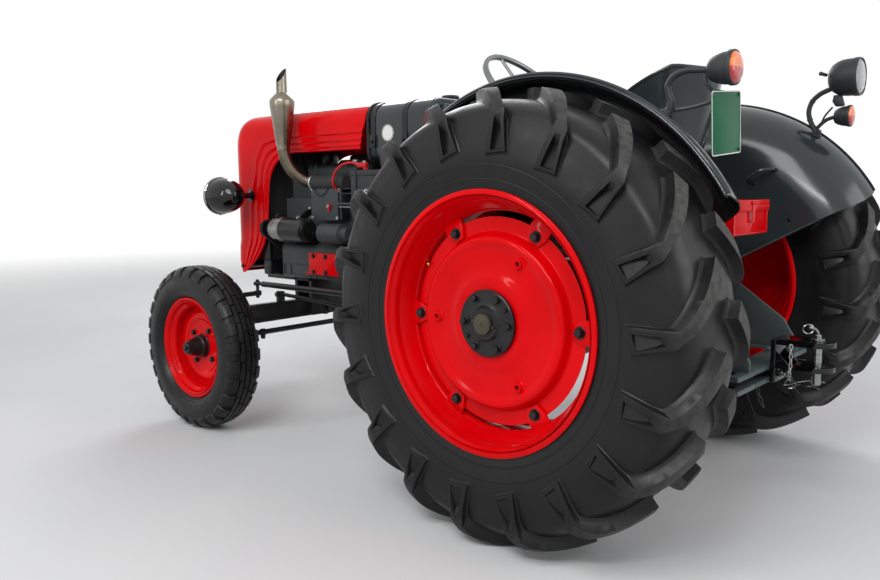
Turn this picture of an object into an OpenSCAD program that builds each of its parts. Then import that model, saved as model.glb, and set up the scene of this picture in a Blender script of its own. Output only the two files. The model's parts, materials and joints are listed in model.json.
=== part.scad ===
// Vintage farm tractor: two-wheel drive, open driving place, straight front axle.
// Millimetres. X runs forward, Y to the driver's left, Z up, with the wheels on Z = 0.
// The origin is midway along the length, on the ground under the centre line.

/* [Stance] */
// Distance from rear axle to front axle
wheelbase = 1760; // [1600:10:2000]
// Rear axle to the tip of the drawbar clevis
rear_reach = 688; // [670:2:760]
// Rear axle to the front of the nose
nose_reach = 2195; // [2160:5:2400]
// Middle of a rear wheel from the centre line
rear_track_half = 715; // [690:5:780]
// Middle of a front wheel from the centre line
front_track_half = 684; // [670:2:740]

/* [Rear wheels] */
// Radius over the lugs
rear_tyre_r = 665; // [655:1:690]
// Section width of the tyre
rear_tyre_w = 364; // [350:2:380]
// Height of a lug above the carcass
lug_h = 36; // [26:1:40]
// Lugs on each side of the tread
lug_count = 18; // [16:1:20]
// Radius of the rim's flange
rear_rim_r = 380; // [376:1:384]
// Width of the rim over its flanges
rear_rim_w = 330; // [320:2:340]
// Wall thickness of the rim
rim_wall = 8; // [6:1:10]
// Radius of the wheel disc
rear_disc_r = 302; // [296:1:306]
// Thickness of the wheel disc
disc_t = 8; // [6:1:10]
// Radius of the circle of rim lug bolts
rim_bolt_r = 286; // [280:1:290]
// Rim lugs on each rear rim
rim_lug_count = 6; // [4:1:8]
// Radius of the hub's flange
hub_flange_r = 97; // [90:1:105]
// Radius of the axle shaft
axle_shaft_r = 30; // [26:1:34]

/* [Front wheels] */
// Radius of the front tyre
front_tyre_r = 360; // [350:1:372]
// Section width of the front tyre
front_tyre_w = 164; // [156:2:172]
// Radius of the front rim's flange
front_rim_r = 222; // [218:1:226]
// Width of the front rim over its flanges
front_rim_w = 118; // [112:1:124]
// Radius of the stub axle
stub_r = 22; // [18:1:26]

/* [Front axle] */
// Middle of the axle beam above ground
beam_z = 470; // [450:2:500]
// Height of the axle beam
beam_h = 84; // [70:2:96]
// Fore and aft width of the axle beam
beam_w = 64; // [50:2:76]
// Kingpins from the centre line
kingpin_y = 540; // [530:2:560]
// Radius of a kingpin's tube
kingpin_r = 27; // [24:1:32]
// Length of a steering arm to its ball
steer_arm_len = 165; // [150:5:180]

/* [Hood] */
// Top of the hood above ground
hood_top = 1412; // [1390:2:1440]
// Half width of the hood
hood_half = 210; // [200:2:225]
// Rear edge of the hood ahead of the rear axle
hood_rear = 1172; // [1170:2:1200]
// Forward slant of the hood's rear edge at its skirt
hood_slant = 52; // [0:4:60]
// Lower edge of the hood's sides
hood_skirt = 1220; // [1200:2:1240]
// Lower tip of the nose
nose_tip = 632; // [610:2:660]
// Thickness of the hood's wall
hood_wall = 5; // [4:1:8]
// Radius of the nose's corners seen from above
nose_round = 105; // [90:5:120]
// Radius of the hood's upper edges
shoulder_round = 72; // [60:2:85]
// Radius of a headlamp
headlamp_r = 88; // [80:1:94]

/* [Fenders] */
// Inner face of the fender's side plate from the centre line
fender_in = 450; // [440:2:460]
// Outer lip of the fender from the centre line
fender_out = 650; // [640:2:670]
// Gap between the fender's crown and the lugs
fender_gap = 50; // [40:1:80]
// Sheet thickness of the fenders
fender_t = 5; // [4:1:6]

/* [Driving place] */
// Radius of the steering wheel to the middle of its rim
wheel_ring_r = 206; // [190:2:220]
// Steering wheel's centre ahead of the rear axle
wheel_x = 463; // [450:2:480]
// Steering wheel's centre above ground
wheel_z = 1412; // [1395:2:1425]
// Lean of the steering wheel from level
wheel_tilt = 46; // [40:1:50]
// Half width of the seat shell
seat_half = 225; // [210:5:240]
// Top of the seat's back above ground
seat_top = 1446; // [1400:2:1460]

/* [Drawbar] */
// Top face of the upper drawbar plate above ground
drawbar_z = 485; // [470:1:500]
// Radius of the hitch pin
pin_r = 14; // [12:0.5:15]
// Radius of the hole at each side of the drawbar plates
side_hole_r = 13; // [10:0.5:15]
// Radius of the power take-off shaft
pto_r = 17.5; // [16:0.5:19]

/* [Hidden] */

// The whole model is drawn from the rear axle and moved once to its middle.
mid_x = (nose_reach - rear_reach) / 2;
module place() { translate([-mid_x, 0, 0]) children(); }
module both_sides() { children(); mirror([0, 1, 0]) children(); }
module on_side(side) { if (side > 0) children(); else mirror([0, 1, 0]) children(); }

rear_z = rear_tyre_r;
front_z = front_tyre_r;
seat_gap = 0.3;
run_gap = 0.05;
move_gap = 6;
big_fn = 96;
small_fn = 32;
cast_green = [0.20, 0.25, 0.24];
paint_red = [0.80, 0.05, 0.07];
black = [0.06, 0.06, 0.07];
steel = [0.62, 0.62, 0.60];
rubber = [0.09, 0.09, 0.10];

// Points along an arc of the circle at c, from angle a0 to a1.
function arc(c, r, a0, a1, n) =
    [for (i = [0 : n]) c + r * [cos(a0 + (a1 - a0) * i / n), sin(a0 + (a1 - a0) * i / n)]];

// A bar along X, Y or Z.
module bar_x(x0, x1, r) { translate([x0, 0, 0]) rotate([0, 90, 0]) cylinder(r = r, h = x1 - x0, $fn = small_fn); }
module bar_y(y0, y1, r) { translate([0, y0, 0]) rotate([-90, 0, 0]) cylinder(r = r, h = y1 - y0, $fn = small_fn); }
// A round bar between two points.
module rod(a, b, r) {
    d = b - a;
    length = norm(d);
    translate(a) rotate([0, acos(d[2] / length), atan2(d[1], d[0])])
        cylinder(r = r, h = length, $fn = small_fn);
}
// A chain of round bars with balls at its bends, larger than the bar by knot.
module bent_tube(points, r, knot = 0.4) {
    for (i = [0 : len(points) - 2]) rod(points[i], points[i + 1], r);
    for (i = [1 : len(points) - 2]) translate(points[i]) sphere(r = r + knot, $fn = small_fn);
}
// A plate drawn in the X-Z plane and spread from y0 to y1.
module plate_y(y0, y1) { translate([0, y1, 0]) rotate([90, 0, 0]) linear_extrude(y1 - y0) children(); }
// A block given by its low and high corners.
module block(low, high) { translate(low) cube(high - low); }
// A ring or wheel drawn as radius against width, turned about Y.
module turned_y() { rotate([-90, 0, 0]) rotate_extrude($fn = big_fn) children(); }

// Rear tyre

lug_root_r = rear_tyre_r - lug_h;
tyre_wall = 22;
// One side of a tyre's section from bead to crown, drawn in by w. The bead stays straight past the flange.
function tyre_edge(r_out, half, bead_r, bead_half, flange_r, w) =
    let (s = r_out - bead_r)
    [[bead_r, bead_half - w], [flange_r + 4, bead_half - w], [bead_r + s * 0.28, half * 0.965 - w],
        [bead_r + s * 0.45, half - w], [bead_r + s * 0.62, half * 0.975 - w],
        [r_out - s * 0.16 - w * 0.7, half * 0.90 - w * 0.7], [r_out - s * 0.05 - w, half * 0.76 - w * 0.4],
        [r_out - w, half * 0.3]];
function reversed(list) = [for (i = [len(list) - 1 : -1 : 0]) list[i]];
function other_side(list) = [for (p = list) [p[0], -p[1]]];
module tyre_body(r_out, half, bead_r, bead_half, flange_r, wall) {
    outer = tyre_edge(r_out, half, bead_r, bead_half, flange_r, 0);
    inner = tyre_edge(r_out, half, bead_r, bead_half, flange_r, wall);
    turned_y() polygon(concat(outer, reversed(other_side(outer)), other_side(inner), reversed(inner)));
}
// One lug's tread bar seen from outside: x is the rolling direction, y runs to the shoulder.
// Its centre end leads, and it is wider there than at the shoulder.
lug_shoulder_y = 176;
lug_side_r = 474;
module lug_bar() {
    polygon([[104, 47], [-57, lug_shoulder_y], [-104, lug_shoulder_y], [-9, 92], [62, 19]]);
}
// The same lug's foot on the sidewall, as radius and angle behind the bar's middle.
lug_foot_lead = 4.2;
lug_foot_trail = 12.6;
lug_knee_lead = 5.4;
lug_knee_trail = 9.6;
function polar(r, a) = [-r * sin(a), r * cos(a)];
module lug_foot() {
    polygon([polar(lug_side_r, lug_foot_lead), polar(600, lug_knee_lead), polar(rear_tyre_r, lug_knee_lead + 0.3),
        polar(rear_tyre_r, lug_knee_trail), polar(600, lug_knee_trail + 0.2), polar(lug_side_r, lug_foot_trail)]);
}
// The outer face of the lugs, turned about the wheel's axis; radius against width.
tread_half = rear_tyre_w / 2;
module tread_shell() {
    edge = [[lug_side_r - 14, tread_half - 14], [lug_side_r + 6, tread_half - 3], [lug_side_r + 50, tread_half],
        [600, tread_half - 4], [lug_root_r, tread_half - 16], [rear_tyre_r - 14, tread_half - 36],
        [rear_tyre_r - 4, tread_half - 82], [rear_tyre_r, 60]];
    turned_y() polygon(concat(edge, reversed(other_side(edge))));
}
module lugs() {
    pitch = 360 / lug_count;
    intersection() {
        union() for (i = [0 : lug_count - 1], s = [0, 1]) rotate([0, (i + s / 2) * pitch, 0]) mirror([0, s, 0]) {
            translate([0, 0, lug_root_r - 60]) linear_extrude(lug_h + 70) lug_bar();
            plate_y(lug_shoulder_y - 50, tread_half + 5) lug_foot();
        }
        tread_shell();
    }
}
wedge_stand = 9;
module rear_tyre() {
    union() {
        tyre_body(lug_root_r, rear_tyre_w / 2 - wedge_stand, rim_seat_r + seat_gap, rear_rim_w / 2 - rim_wall - seat_gap, rear_rim_r, tyre_wall);
        lugs();
    }
}
module at_rear_wheel(side) { place() on_side(side) translate([0, rear_track_half, rear_z]) children(); }
module rear_tyre_at(side) { color(rubber) at_rear_wheel(side) rear_tyre(); }
module rear_tyre_left() rear_tyre_at(1);
module rear_tyre_right() rear_tyre_at(-1);

// Rear rim, disc and hub, all turned about the wheel's axis with +Y outwards

rim_seat_r = rear_rim_r - 24;
rim_well_r = rim_seat_r - 30;
module rim_outline(flange_r, seat_r, well_r, half, wall) {
    flange = flange_r - seat_r;
    outer = [[flange_r, half], [flange_r, half - wall], [seat_r, half - wall],
        [seat_r - 3, half * 0.55], [well_r, half * 0.42], [well_r, -half * 0.42],
        [seat_r - 3, -half * 0.55], [seat_r, -half + wall], [flange_r, -half + wall], [flange_r, -half]];
    inner = [[seat_r - wall, -half], [seat_r - wall - 3, -half * 0.55 - wall / 2],
        [well_r - wall, -half * 0.42 - wall / 2], [well_r - wall, half * 0.42 + wall / 2],
        [seat_r - wall - 3, half * 0.55 + wall / 2], [seat_r - wall, half]];
    polygon(concat(outer, inner));
}
rim_lug_y = 84;
rim_lug_t = 10;
rim_lug_w = 62;
module rear_rim() {
    turned_y() rim_outline(rear_rim_r, rim_seat_r, rim_well_r, rear_rim_w / 2, rim_wall);
    for (i = [0 : rim_lug_count - 1]) rotate([0, i * 360 / rim_lug_count, 0])
        difference() {
            block([rim_bolt_r - 26, rim_lug_y, -rim_lug_w / 2], [rim_seat_r - 2 * rim_wall, rim_lug_y + rim_lug_t, rim_lug_w / 2]);
            translate([rim_bolt_r, 0, 0]) bar_y(rim_lug_y - 1, rim_lug_y + rim_lug_t + 1, 9);
        }
}
module rear_rim_at(side) { color(paint_red) at_rear_wheel(side) rear_rim(); }
module rear_rim_left() rear_rim_at(1);
module rear_rim_right() rear_rim_at(-1);

disc_face_y = rim_lug_y - disc_t - seat_gap;
pan_r = 257;
pan_dip = 7;
pan_rise = 34;
hub_seat_y = disc_face_y + pan_rise;
boss_r = 195;
module rear_disc() {
    difference() {
        union() {
            turned_y() polygon([[axle_shaft_r + 20, hub_seat_y], [axle_shaft_r + 20, hub_seat_y + disc_t],
                [hub_flange_r + 32, hub_seat_y + disc_t], [hub_flange_r + 56, hub_seat_y + disc_t - pan_dip],
                [boss_r + 12, hub_seat_y + disc_t - pan_dip], [pan_r - 26, hub_seat_y + disc_t],
                [pan_r - 12, hub_seat_y + disc_t - 8], [pan_r, disc_face_y + disc_t], [rear_disc_r, disc_face_y + disc_t],
                [rear_disc_r, disc_face_y], [pan_r - 8, disc_face_y], [pan_r - 22, hub_seat_y - 8],
                [pan_r - 32, hub_seat_y - 2], [boss_r + 8, hub_seat_y - pan_dip], [hub_flange_r + 54, hub_seat_y - pan_dip],
                [hub_flange_r + 30, hub_seat_y]]);
            for (a = [0, 120, 240]) rotate([0, a, 0]) translate([boss_r, 0, 0])
                bar_y(hub_seat_y + 1, hub_seat_y + disc_t + 7, 17);
        }
        for (a = [0, 120, 240]) rotate([0, a, 0]) translate([boss_r, 0, 0])
            bar_y(hub_seat_y - 2, hub_seat_y + disc_t + 9, 7);
    }
    // Bolts that clamp the disc to the rim's lugs
    for (i = [0 : rim_lug_count - 1]) rotate([0, i * 360 / rim_lug_count, 0]) translate([rim_bolt_r, 0, 0]) {
        bar_y(disc_face_y + 1, rim_lug_y + rim_lug_t + 14, 9 - seat_gap);
        bar_y(disc_face_y - 12, disc_face_y + 1, 15);
        bar_y(rim_lug_y + rim_lug_t + seat_gap, rim_lug_y + rim_lug_t + 12, 14);
    }
}
module rear_disc_at(side) { color(paint_red) at_rear_wheel(side) rear_disc(); }
module rear_disc_left() rear_disc_at(1);
module rear_disc_right() rear_disc_at(-1);

hub_y = hub_seat_y + disc_t + seat_gap;
hub_t = 14;
axle_end_y = hub_y + 36;
drum_y = 520;
module rear_hub() {
    union() {
        bar_y(hub_y, hub_y + hub_t, hub_flange_r);
        bar_y(hub_y + hub_t, hub_y + hub_t + 12, 44);
        bar_y(drum_y - 45 - rear_track_half, axle_end_y - 8, axle_shaft_r);
        bar_y(axle_end_y - 10, axle_end_y, 21);
        for (i = [0 : 5]) rotate([0, i * 60, 0]) translate([80, 0, 0]) bar_y(hub_y + hub_t - 1, hub_y + hub_t + 11, 11);
    }
}
module rear_hub_at(side) { color(black) at_rear_wheel(side) rear_hub(); }
module rear_hub_left() rear_hub_at(1);
module rear_hub_right() rear_hub_at(-1);

// Front wheels

front_rim_wall = 6;
front_tyre_wall = 14;
front_seat_r = front_rim_r - 18;
front_well_r = front_seat_r - 20;
module at_front_wheel(side) { place() on_side(side) translate([wheelbase, front_track_half, front_z]) children(); }
module front_tyre_at(side) {
    color(rubber) at_front_wheel(side)
        tyre_body(front_tyre_r, front_tyre_w / 2, front_seat_r + seat_gap, front_rim_w / 2 - front_rim_wall - seat_gap,
            front_rim_r, front_tyre_wall);
}
module front_tyre_left() front_tyre_at(1);
module front_tyre_right() front_tyre_at(-1);

front_disc_y = -15;
front_bolt_r = 88;
cap_y = 20;
module front_wheel() {
    turned_y() rim_outline(front_rim_r, front_seat_r, front_well_r, front_rim_w / 2, front_rim_wall);
    difference() {
        union() {
            bar_y(front_disc_y, front_disc_y + 7, front_well_r - 5);
            bar_y(-36, cap_y, 52);
            translate([0, cap_y, 0]) rotate([-90, 0, 0]) cylinder(r1 = 45, r2 = 30, h = 50, $fn = small_fn);
            bar_y(cap_y + 50, cap_y + 58, 24);
        }
        bar_y(-37, cap_y + 24, stub_r + run_gap);
    }
    for (i = [0 : 3]) rotate([0, i * 90 + 53, 0]) translate([front_bolt_r, 0, 0]) bar_y(front_disc_y + 6, front_disc_y + 19, 11);
}
module front_wheel_at(side) { color(paint_red) at_front_wheel(side) front_wheel(); }
module front_wheel_left() front_wheel_at(1);
module front_wheel_right() front_wheel_at(-1);

// Front axle and steering

kingpin_len = 150;
kingpin_low = beam_z - kingpin_len / 2;
arm_z = beam_z + 98;
link_z = 612;
ball_r = 15;
tie_arm_back = 135;
tie_arm_in = 0;
tie_z = 405;
stay_y = 250;
stay_r = 9;
stay_top_z = 550;
stay_back = 1120;
stay_low_z = 507;
module front_axle() color(black) place() {
    // Stays from the beam back to the clutch housing, each in its ear on the beam
    both_sides() {
        block([wheelbase - 26, stay_y - 14, beam_z + beam_h / 2 - 1], [wheelbase + 10, stay_y + 14, stay_top_z + 14]);
        rod([wheelbase - 20, stay_y, stay_top_z], [stay_back + 20, engine_half + stay_r + 2, stay_low_z], stay_r);
        block([stay_back - 14, engine_half + seat_gap, stay_low_z - 12], [stay_back + 24, engine_half + stay_r * 2 + 4, stay_low_z + 12]);
    }
    difference() {
        union() {
            block([wheelbase - beam_w / 2, -kingpin_y, beam_z - beam_h / 2], [wheelbase + beam_w / 2, kingpin_y, beam_z + beam_h / 2]);
            both_sides() translate([wheelbase, kingpin_y, beam_z - 55]) cylinder(r = 36, h = 110, $fn = small_fn);
        }
        both_sides() translate([wheelbase, kingpin_y, beam_z - 80]) cylinder(r = kingpin_r - 8 + run_gap, h = 160, $fn = small_fn);
        translate([wheelbase, 0, beam_z]) bar_x(-60, 60, axle_pin_r + seat_gap);
    }
}
// Kingpin, stub axle and steering arms; the left one also carries the drag link's ball.
module knuckle(with_link) {
    translate([wheelbase, kingpin_y, 0]) {
        translate([0, 0, front_z + 10]) cylinder(r = kingpin_r - 8, h = arm_z - front_z + 12, $fn = small_fn);
        translate([0, 0, front_z - 34]) cylinder(r = 34, h = beam_z - 55 - move_gap / 4 - front_z + 34, $fn = small_fn);
        translate([0, 0, front_z]) bar_y(0, front_track_half - kingpin_y + cap_y + 18, stub_r);
        translate([0, 0, front_z]) bar_y(20, 96, 34);
        // Rear arm for the tie rod
        block([-tie_arm_back, -tie_arm_in - 14, front_z + 6], [0, -tie_arm_in + 14, front_z + 28]);
        block([-24, -tie_arm_in - 14, front_z + 6], [24, 0, front_z + 28]);
        translate([-tie_arm_back, -tie_arm_in, front_z + 6]) cylinder(r = 18, h = 22, $fn = small_fn);
        translate([-tie_arm_back, -tie_arm_in, front_z + 28]) cylinder(r = 8, h = tie_z + 8 - front_z - 28, $fn = small_fn);
        // Collar above the beam
        translate([0, 0, beam_z + 55 + 1.5]) cylinder(r = 30, h = arm_z - beam_z - 55 + 10, $fn = small_fn);
        if (with_link) {
            block([-16, -steer_arm_len, arm_z - 12], [16, 0, arm_z + 8]);
            translate([0, -steer_arm_len, arm_z - 12]) cylinder(r = 18, h = 20, $fn = small_fn);
            translate([0, -steer_arm_len, arm_z + 8]) cylinder(r = 8, h = link_z + 8 - arm_z - 8, $fn = small_fn);
        }
    }
}
module knuckle_left() color(black) place() knuckle(true);
module knuckle_right() color(black) place() mirror([0, 1, 0]) knuckle(false);

module rod_eye(p) {
    translate(p) difference() {
        cylinder(r = ball_r + 3, h = 16, center = true, $fn = small_fn);
        cylinder(r = 8 + run_gap, h = 30, center = true, $fn = small_fn);
    }
}
module tie_rod() color(black) place() {
    x = wheelbase - tie_arm_back;
    y = kingpin_y - tie_arm_in;
    for (s = [-1, 1]) rod_eye([x, s * y, tie_z]);
    translate([x, 0, tie_z]) bar_y(-y + ball_r, y - ball_r, 12);
}
drop_x = 905;
drop_top_z = 800;
drop_y = 300;
foot_rise = 22;
module drag_link() color(black) place() {
    y = kingpin_y - steer_arm_len;
    rod_eye([wheelbase, y, link_z]);
    translate([0, y, link_z]) bar_x(drop_x + ball_r, wheelbase - ball_r, 13);
    translate([drop_x, y, link_z - 8]) cylinder(r = ball_r + 3, h = 16, $fn = small_fn);
    translate([drop_x, y, link_z]) cylinder(r = 8, h = foot_rise - seat_gap, $fn = small_fn);
}
module drop_arm() color(black) place() {
    y = kingpin_y - steer_arm_len;
    translate([drop_x, 0, drop_top_z]) bar_y(drop_y - 52, drop_y + 12, 16);
    translate([drop_x, 0, drop_top_z]) bar_y(drop_y - 8, drop_y + 12, 30);
    block([drop_x - 15, drop_y - 6, link_z + foot_rise], [drop_x + 15, drop_y + 10, drop_top_z]);
    block([drop_x - 15, drop_y - 6, link_z + foot_rise], [drop_x + 15, y + 14, link_z + foot_rise + 18]);
}

// Front bolster that carries the axle's pivot, the radiator and the hood's hinge

bolster_half = 105;
hinge_x = nose_reach - 80;
hinge_z = nose_tip + 40;
hinge_pin_r = 8;
hinge_tube_r = 20;
hinge_half = hood_half - hood_wall - 20;
rail_top = 624.7;
rail_end = hinge_x - 65;
radiator_x = nose_reach - 270;
engine_front = radiator_x - 85;
engine_back = 1330;
engine_len = engine_front - engine_back;
axle_pin_r = 20;
hanger_gap = 12;
hanger_t = 24;
module front_bolster() color(black) place() {
    difference() {
        union() {
            for (s = [-1, 1]) translate([wheelbase + s * (beam_w / 2 + hanger_gap + hanger_t / 2), 0, 0])
                block([-hanger_t / 2, -bolster_half, beam_z - 36], [hanger_t / 2, bolster_half, rail_top]);
            block([wheelbase - beam_w / 2 - hanger_gap - hanger_t, -bolster_half, 600], [rail_end, bolster_half, rail_top]);
            block([rail_end - 20, -bolster_half, 600], [rail_end, bolster_half, hinge_z + 14]);
            for (s = [-1, 1]) block([rail_end - 1, s * 70 - 30, hinge_z - 14], [hinge_x, s * 70 + 30, hinge_z + 14]);
            translate([hinge_x, 0, hinge_z]) bar_y(-hinge_half, hinge_half, hinge_tube_r);
        }
        translate([hinge_x, 0, hinge_z]) bar_y(-hood_half, hood_half, hinge_pin_r + run_gap);
    }
    translate([wheelbase, 0, beam_z]) bar_x(-beam_w / 2 - hanger_gap - 1, beam_w / 2 + hanger_gap + 1, axle_pin_r);
}

// Hood: a shell open below and behind, hinged at the tips of its nose

arch_r = 190;
arch_x = nose_reach - 297;
// The side seen from the left, with its walls drawn in by w
module hood_side(w) {
    top_r = 150 - w;
    polygon(concat(
        [[hood_rear + hood_slant - 2 * w, nose_tip - 3 * w], [nose_reach - 46 - w, nose_tip - 3 * w]],
        [[nose_reach - 15 - w, nose_tip + 60], [nose_reach - w, nose_tip + 130]],
        arc([nose_reach - 150, hood_top - 150], top_r, 0, 90, 10),
        [[hood_rear - 2 * w, hood_top - w], [hood_rear + hood_slant - 2 * w, hood_skirt]]));
}
// What the arch leaves free under the skirt, grown by g
module arch_side(g) {
    polygon(concat(
        [[hood_rear - 50, nose_tip - 90], [hood_rear - 50, hood_skirt + g]],
        arc([arch_x - arch_r, hood_skirt - arch_r], arch_r + g, 90, 0, 10),
        [[arch_x + 20 + g, nose_tip + 210], [nose_reach - 175 + g, nose_tip + 50],
            [nose_reach - 92 + g, nose_tip - 6], [nose_reach - 92 + g, nose_tip - 90]]));
}
module hood_front(w) {
    r = shoulder_round - w;
    half = hood_half - w;
    top = hood_top - w;
    polygon(concat([[-half, nose_tip - 50], [half, nose_tip - 50]],
        arc([half - r, top - r], r, 0, 90, 8), arc([-half + r, top - r], r, 90, 180, 8)));
}
module hood_plan(w) {
    r = nose_round - w;
    half = hood_half - w;
    polygon(concat([[hood_rear - 2 * w, -half]],
        arc([nose_reach - w - r, -half + r], r, -90, 0, 8), arc([nose_reach - w - r, half - r], r, 0, 90, 8),
        [[hood_rear - 2 * w, half]]));
}
module hood_solid(w) {
    intersection() {
        plate_y(-hood_half, hood_half) hood_side(w);
        translate([hood_rear - 50, 0, 0]) rotate([90, 0, 90]) linear_extrude(nose_reach) hood_front(w);
        translate([0, 0, nose_tip - 50]) linear_extrude(hood_top) hood_plan(w);
    }
}
grille_half = 108;
grille_low = nose_tip + 140;
grille_high = hood_skirt - 20;
module grille_window(w) {
    r = grille_half - w;
    polygon(concat([[-grille_half + w, grille_low + w], [grille_half - w, grille_low + w]],
        arc([0, grille_high - grille_half], r, 0, 180, 12)));
}
// Three raised flutes that follow the arch, each a step further out; they stop short of the nose's front.
flute_rise = 2.5;
flute_w = 16;
flute_step = 30;
module flutes() {
    intersection() {
        union() for (i = [0 : 2]) difference() {
            arch_side(10 + i * flute_step + flute_w);
            arch_side(10 + i * flute_step);
        }
        translate([hood_rear + hood_slant + 10, nose_tip + 55]) square([nose_reach - 130 - hood_rear - hood_slant, hood_top]);
    }
}
module hood() color(paint_red) place() {
    difference() {
        union() {
            difference() {
                union() {
                    hood_solid(0);
                    intersection() {
                        hood_solid(-flute_rise);
                        plate_y(-hood_half - 5, hood_half + 5) flutes();
                    }
                }
                hood_solid(hood_wall);
                plate_y(-hood_half - 5, hood_half + 5) arch_side(0);
                translate([nose_reach - 120, 0, 0]) rotate([90, 0, 90]) linear_extrude(150) grille_window(0);
            }
            // Ears inside the tips of the nose, with their hinge pins
            both_sides() translate([hinge_x, 0, hinge_z]) bar_y(hood_half - 60, hood_half - hood_wall - 0.5, hinge_pin_r);
        }
    }
}
grille_t = 14;
grille_gap = 0.8;
bar_pitch = 18;
module grille() color(paint_red) place() {
    x = nose_reach - hood_wall - grille_t - grille_gap;
    translate([x, 0, 0]) rotate([90, 0, 90]) {
        linear_extrude(grille_t) difference() {
            grille_window(-2);
            grille_window(10);
        }
        linear_extrude(grille_t) intersection() {
            grille_window(4);
            union() for (i = [-5 : 5]) translate([i * bar_pitch - 4, 0]) square([8, hood_top]);
        }
    }
}

// Headlamps on brackets at the sides of the nose

lamp_x = nose_reach - 110;
lamp_y = 350;
lamp_z = 1022;
lamp_len = 165;
module headlamp() {
    translate([lamp_x, lamp_y, lamp_z]) rotate([0, -90, 0]) rotate_extrude($fn = big_fn)
        polygon(concat([[0, -6], [headlamp_r - 4, -4], [headlamp_r, 4], [headlamp_r, 18]],
            [for (i = [1 : 9]) [headlamp_r * cos(i * 10) * 0.97, 18 + (lamp_len - 18) * sin(i * 10)]],
            [[0, lamp_len]]));
    block([lamp_x - 95, hood_half + seat_gap, lamp_z - 16], [lamp_x - 45, lamp_y - headlamp_r + 26, lamp_z + 16]);
}
module headlamps() color(black) place() both_sides() headlamp();

// Engine: crankcase with its shoulder, sump, head, rocker cover, pulleys and the pump on its right side

engine_half = 165;
block_half = 130;
sump_z = rail_top + seat_gap;
shoulder_z = 760;
shoulder_r = engine_half - block_half;
head_z = 1010;
head_h = 95;
head_half = 122;
rocker_half = 74;
rocker_h = 66;
rocker_round = 30;
// A profile across the tractor, drawn from x0 to x1
module across(x0, x1) { translate([x0, 0, 0]) rotate([90, 0, 90]) linear_extrude(x1 - x0) children(); }
module crankcase_section() {
    polygon(concat([[-engine_half + 6, sump_z], [engine_half - 6, sump_z], [engine_half, sump_z + 6]],
        arc([block_half, shoulder_z], shoulder_r, 0, 90, 6), [[block_half, head_z], [-block_half, head_z]],
        arc([-block_half, shoulder_z], shoulder_r, 90, 180, 6), [[-engine_half, sump_z + 6]]));
}
module rocker_section() {
    half = rocker_half - rocker_round;
    top = head_z + head_h + rocker_h - rocker_round;
    polygon(concat([[-rocker_half, head_z + head_h - 1], [rocker_half, head_z + head_h - 1]],
        arc([half, top], rocker_round, 0, 90, 6), arc([-half, top], rocker_round, 90, 180, 6)));
}
// A distance along the engine, as a share of its length
function along(share) = engine_back + engine_len * share;
panel_len = engine_len * 0.4;
panel_low = 634;
panel_high = 692;
plate_x0 = engine_back + 5;
plate_len = engine_len * 0.43;
plate_face_y = engine_half + 40;
plate_low = 915;
plate_high = 1037;
pump_z = 850;
module engine() color(cast_green) place() {
    difference() {
        across(engine_back, engine_front) crankcase_section();
        // Framed recess at each side of the sump
        both_sides() block([engine_front - 9 - panel_len, engine_half - 8, panel_low], [engine_front - 9, engine_half + 1, panel_high]);
    }
    across(engine_back + 12, engine_front - 40)
        polygon([[-head_half, head_z - 1], [head_half, head_z - 1], [head_half, head_z + head_h - 12],
            [head_half - 12, head_z + head_h], [-head_half + 12, head_z + head_h], [-head_half, head_z + head_h - 12]]);
    across(engine_back + 60, engine_front - 100) rocker_section();
    translate([along(0.26), 0, head_z + head_h + rocker_h - 4]) cylinder(r = 24, h = 22, $fn = small_fn);
    // Plate over the tappets, with the governor's housing behind it
    block([plate_x0, block_half - 1, plate_low], [plate_x0 + plate_len, plate_face_y, plate_high]);
    // Injection pump with its delivery valves, and the oil filter, on the right side
    block([along(0.25), -block_half - 92, pump_z - 45], [along(0.65), -block_half + 1, pump_z + 55]);
    for (share = [0.33, 0.45, 0.57]) translate([along(share), -block_half - 46, pump_z + 54]) cylinder(r = 12, h = 34, $fn = small_fn);
    translate([along(0.78), -block_half - 40, pump_z - 60]) cylinder(r = 38, h = 140, $fn = small_fn);
    translate([along(0.78), 0, pump_z + 70]) mirror([0, 1, 0]) bar_y(block_half - 1, block_half + 42, 20);
    // Timing cover, crankshaft pulley and water pump
    across(engine_front - 1, engine_front + 14) polygon(concat(arc([0, 720], 92, 180, 360, 12), arc([0, 880], 62, 0, 180, 12)));
    translate([0, 0, 720]) bar_x(engine_front + 13, engine_front + 44, 66);
    translate([0, 0, 900]) bar_x(engine_front + 13, engine_front + 34, 40);
}
cover_t = 14;
cover_len = 302;
cover_cut = 76;
cover_low = 648;
cover_high = 752;
module side_cover() color(paint_red) place() {
    x0 = engine_back - 12;
    y = engine_half + seat_gap;
    plate_y(y, y + cover_t) polygon([[x0, cover_high], [x0 + cover_len, cover_high], [x0 + cover_len, cover_low],
        [x0 + cover_cut, cover_low], [x0 + 18, cover_low + 22], [x0, cover_low + cover_cut * 0.6]]);
}
dynamo_r = 56;
dynamo_y = engine_half + dynamo_r + 8;
dynamo_z = 862;
dynamo_len = engine_len * 0.5;
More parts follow.
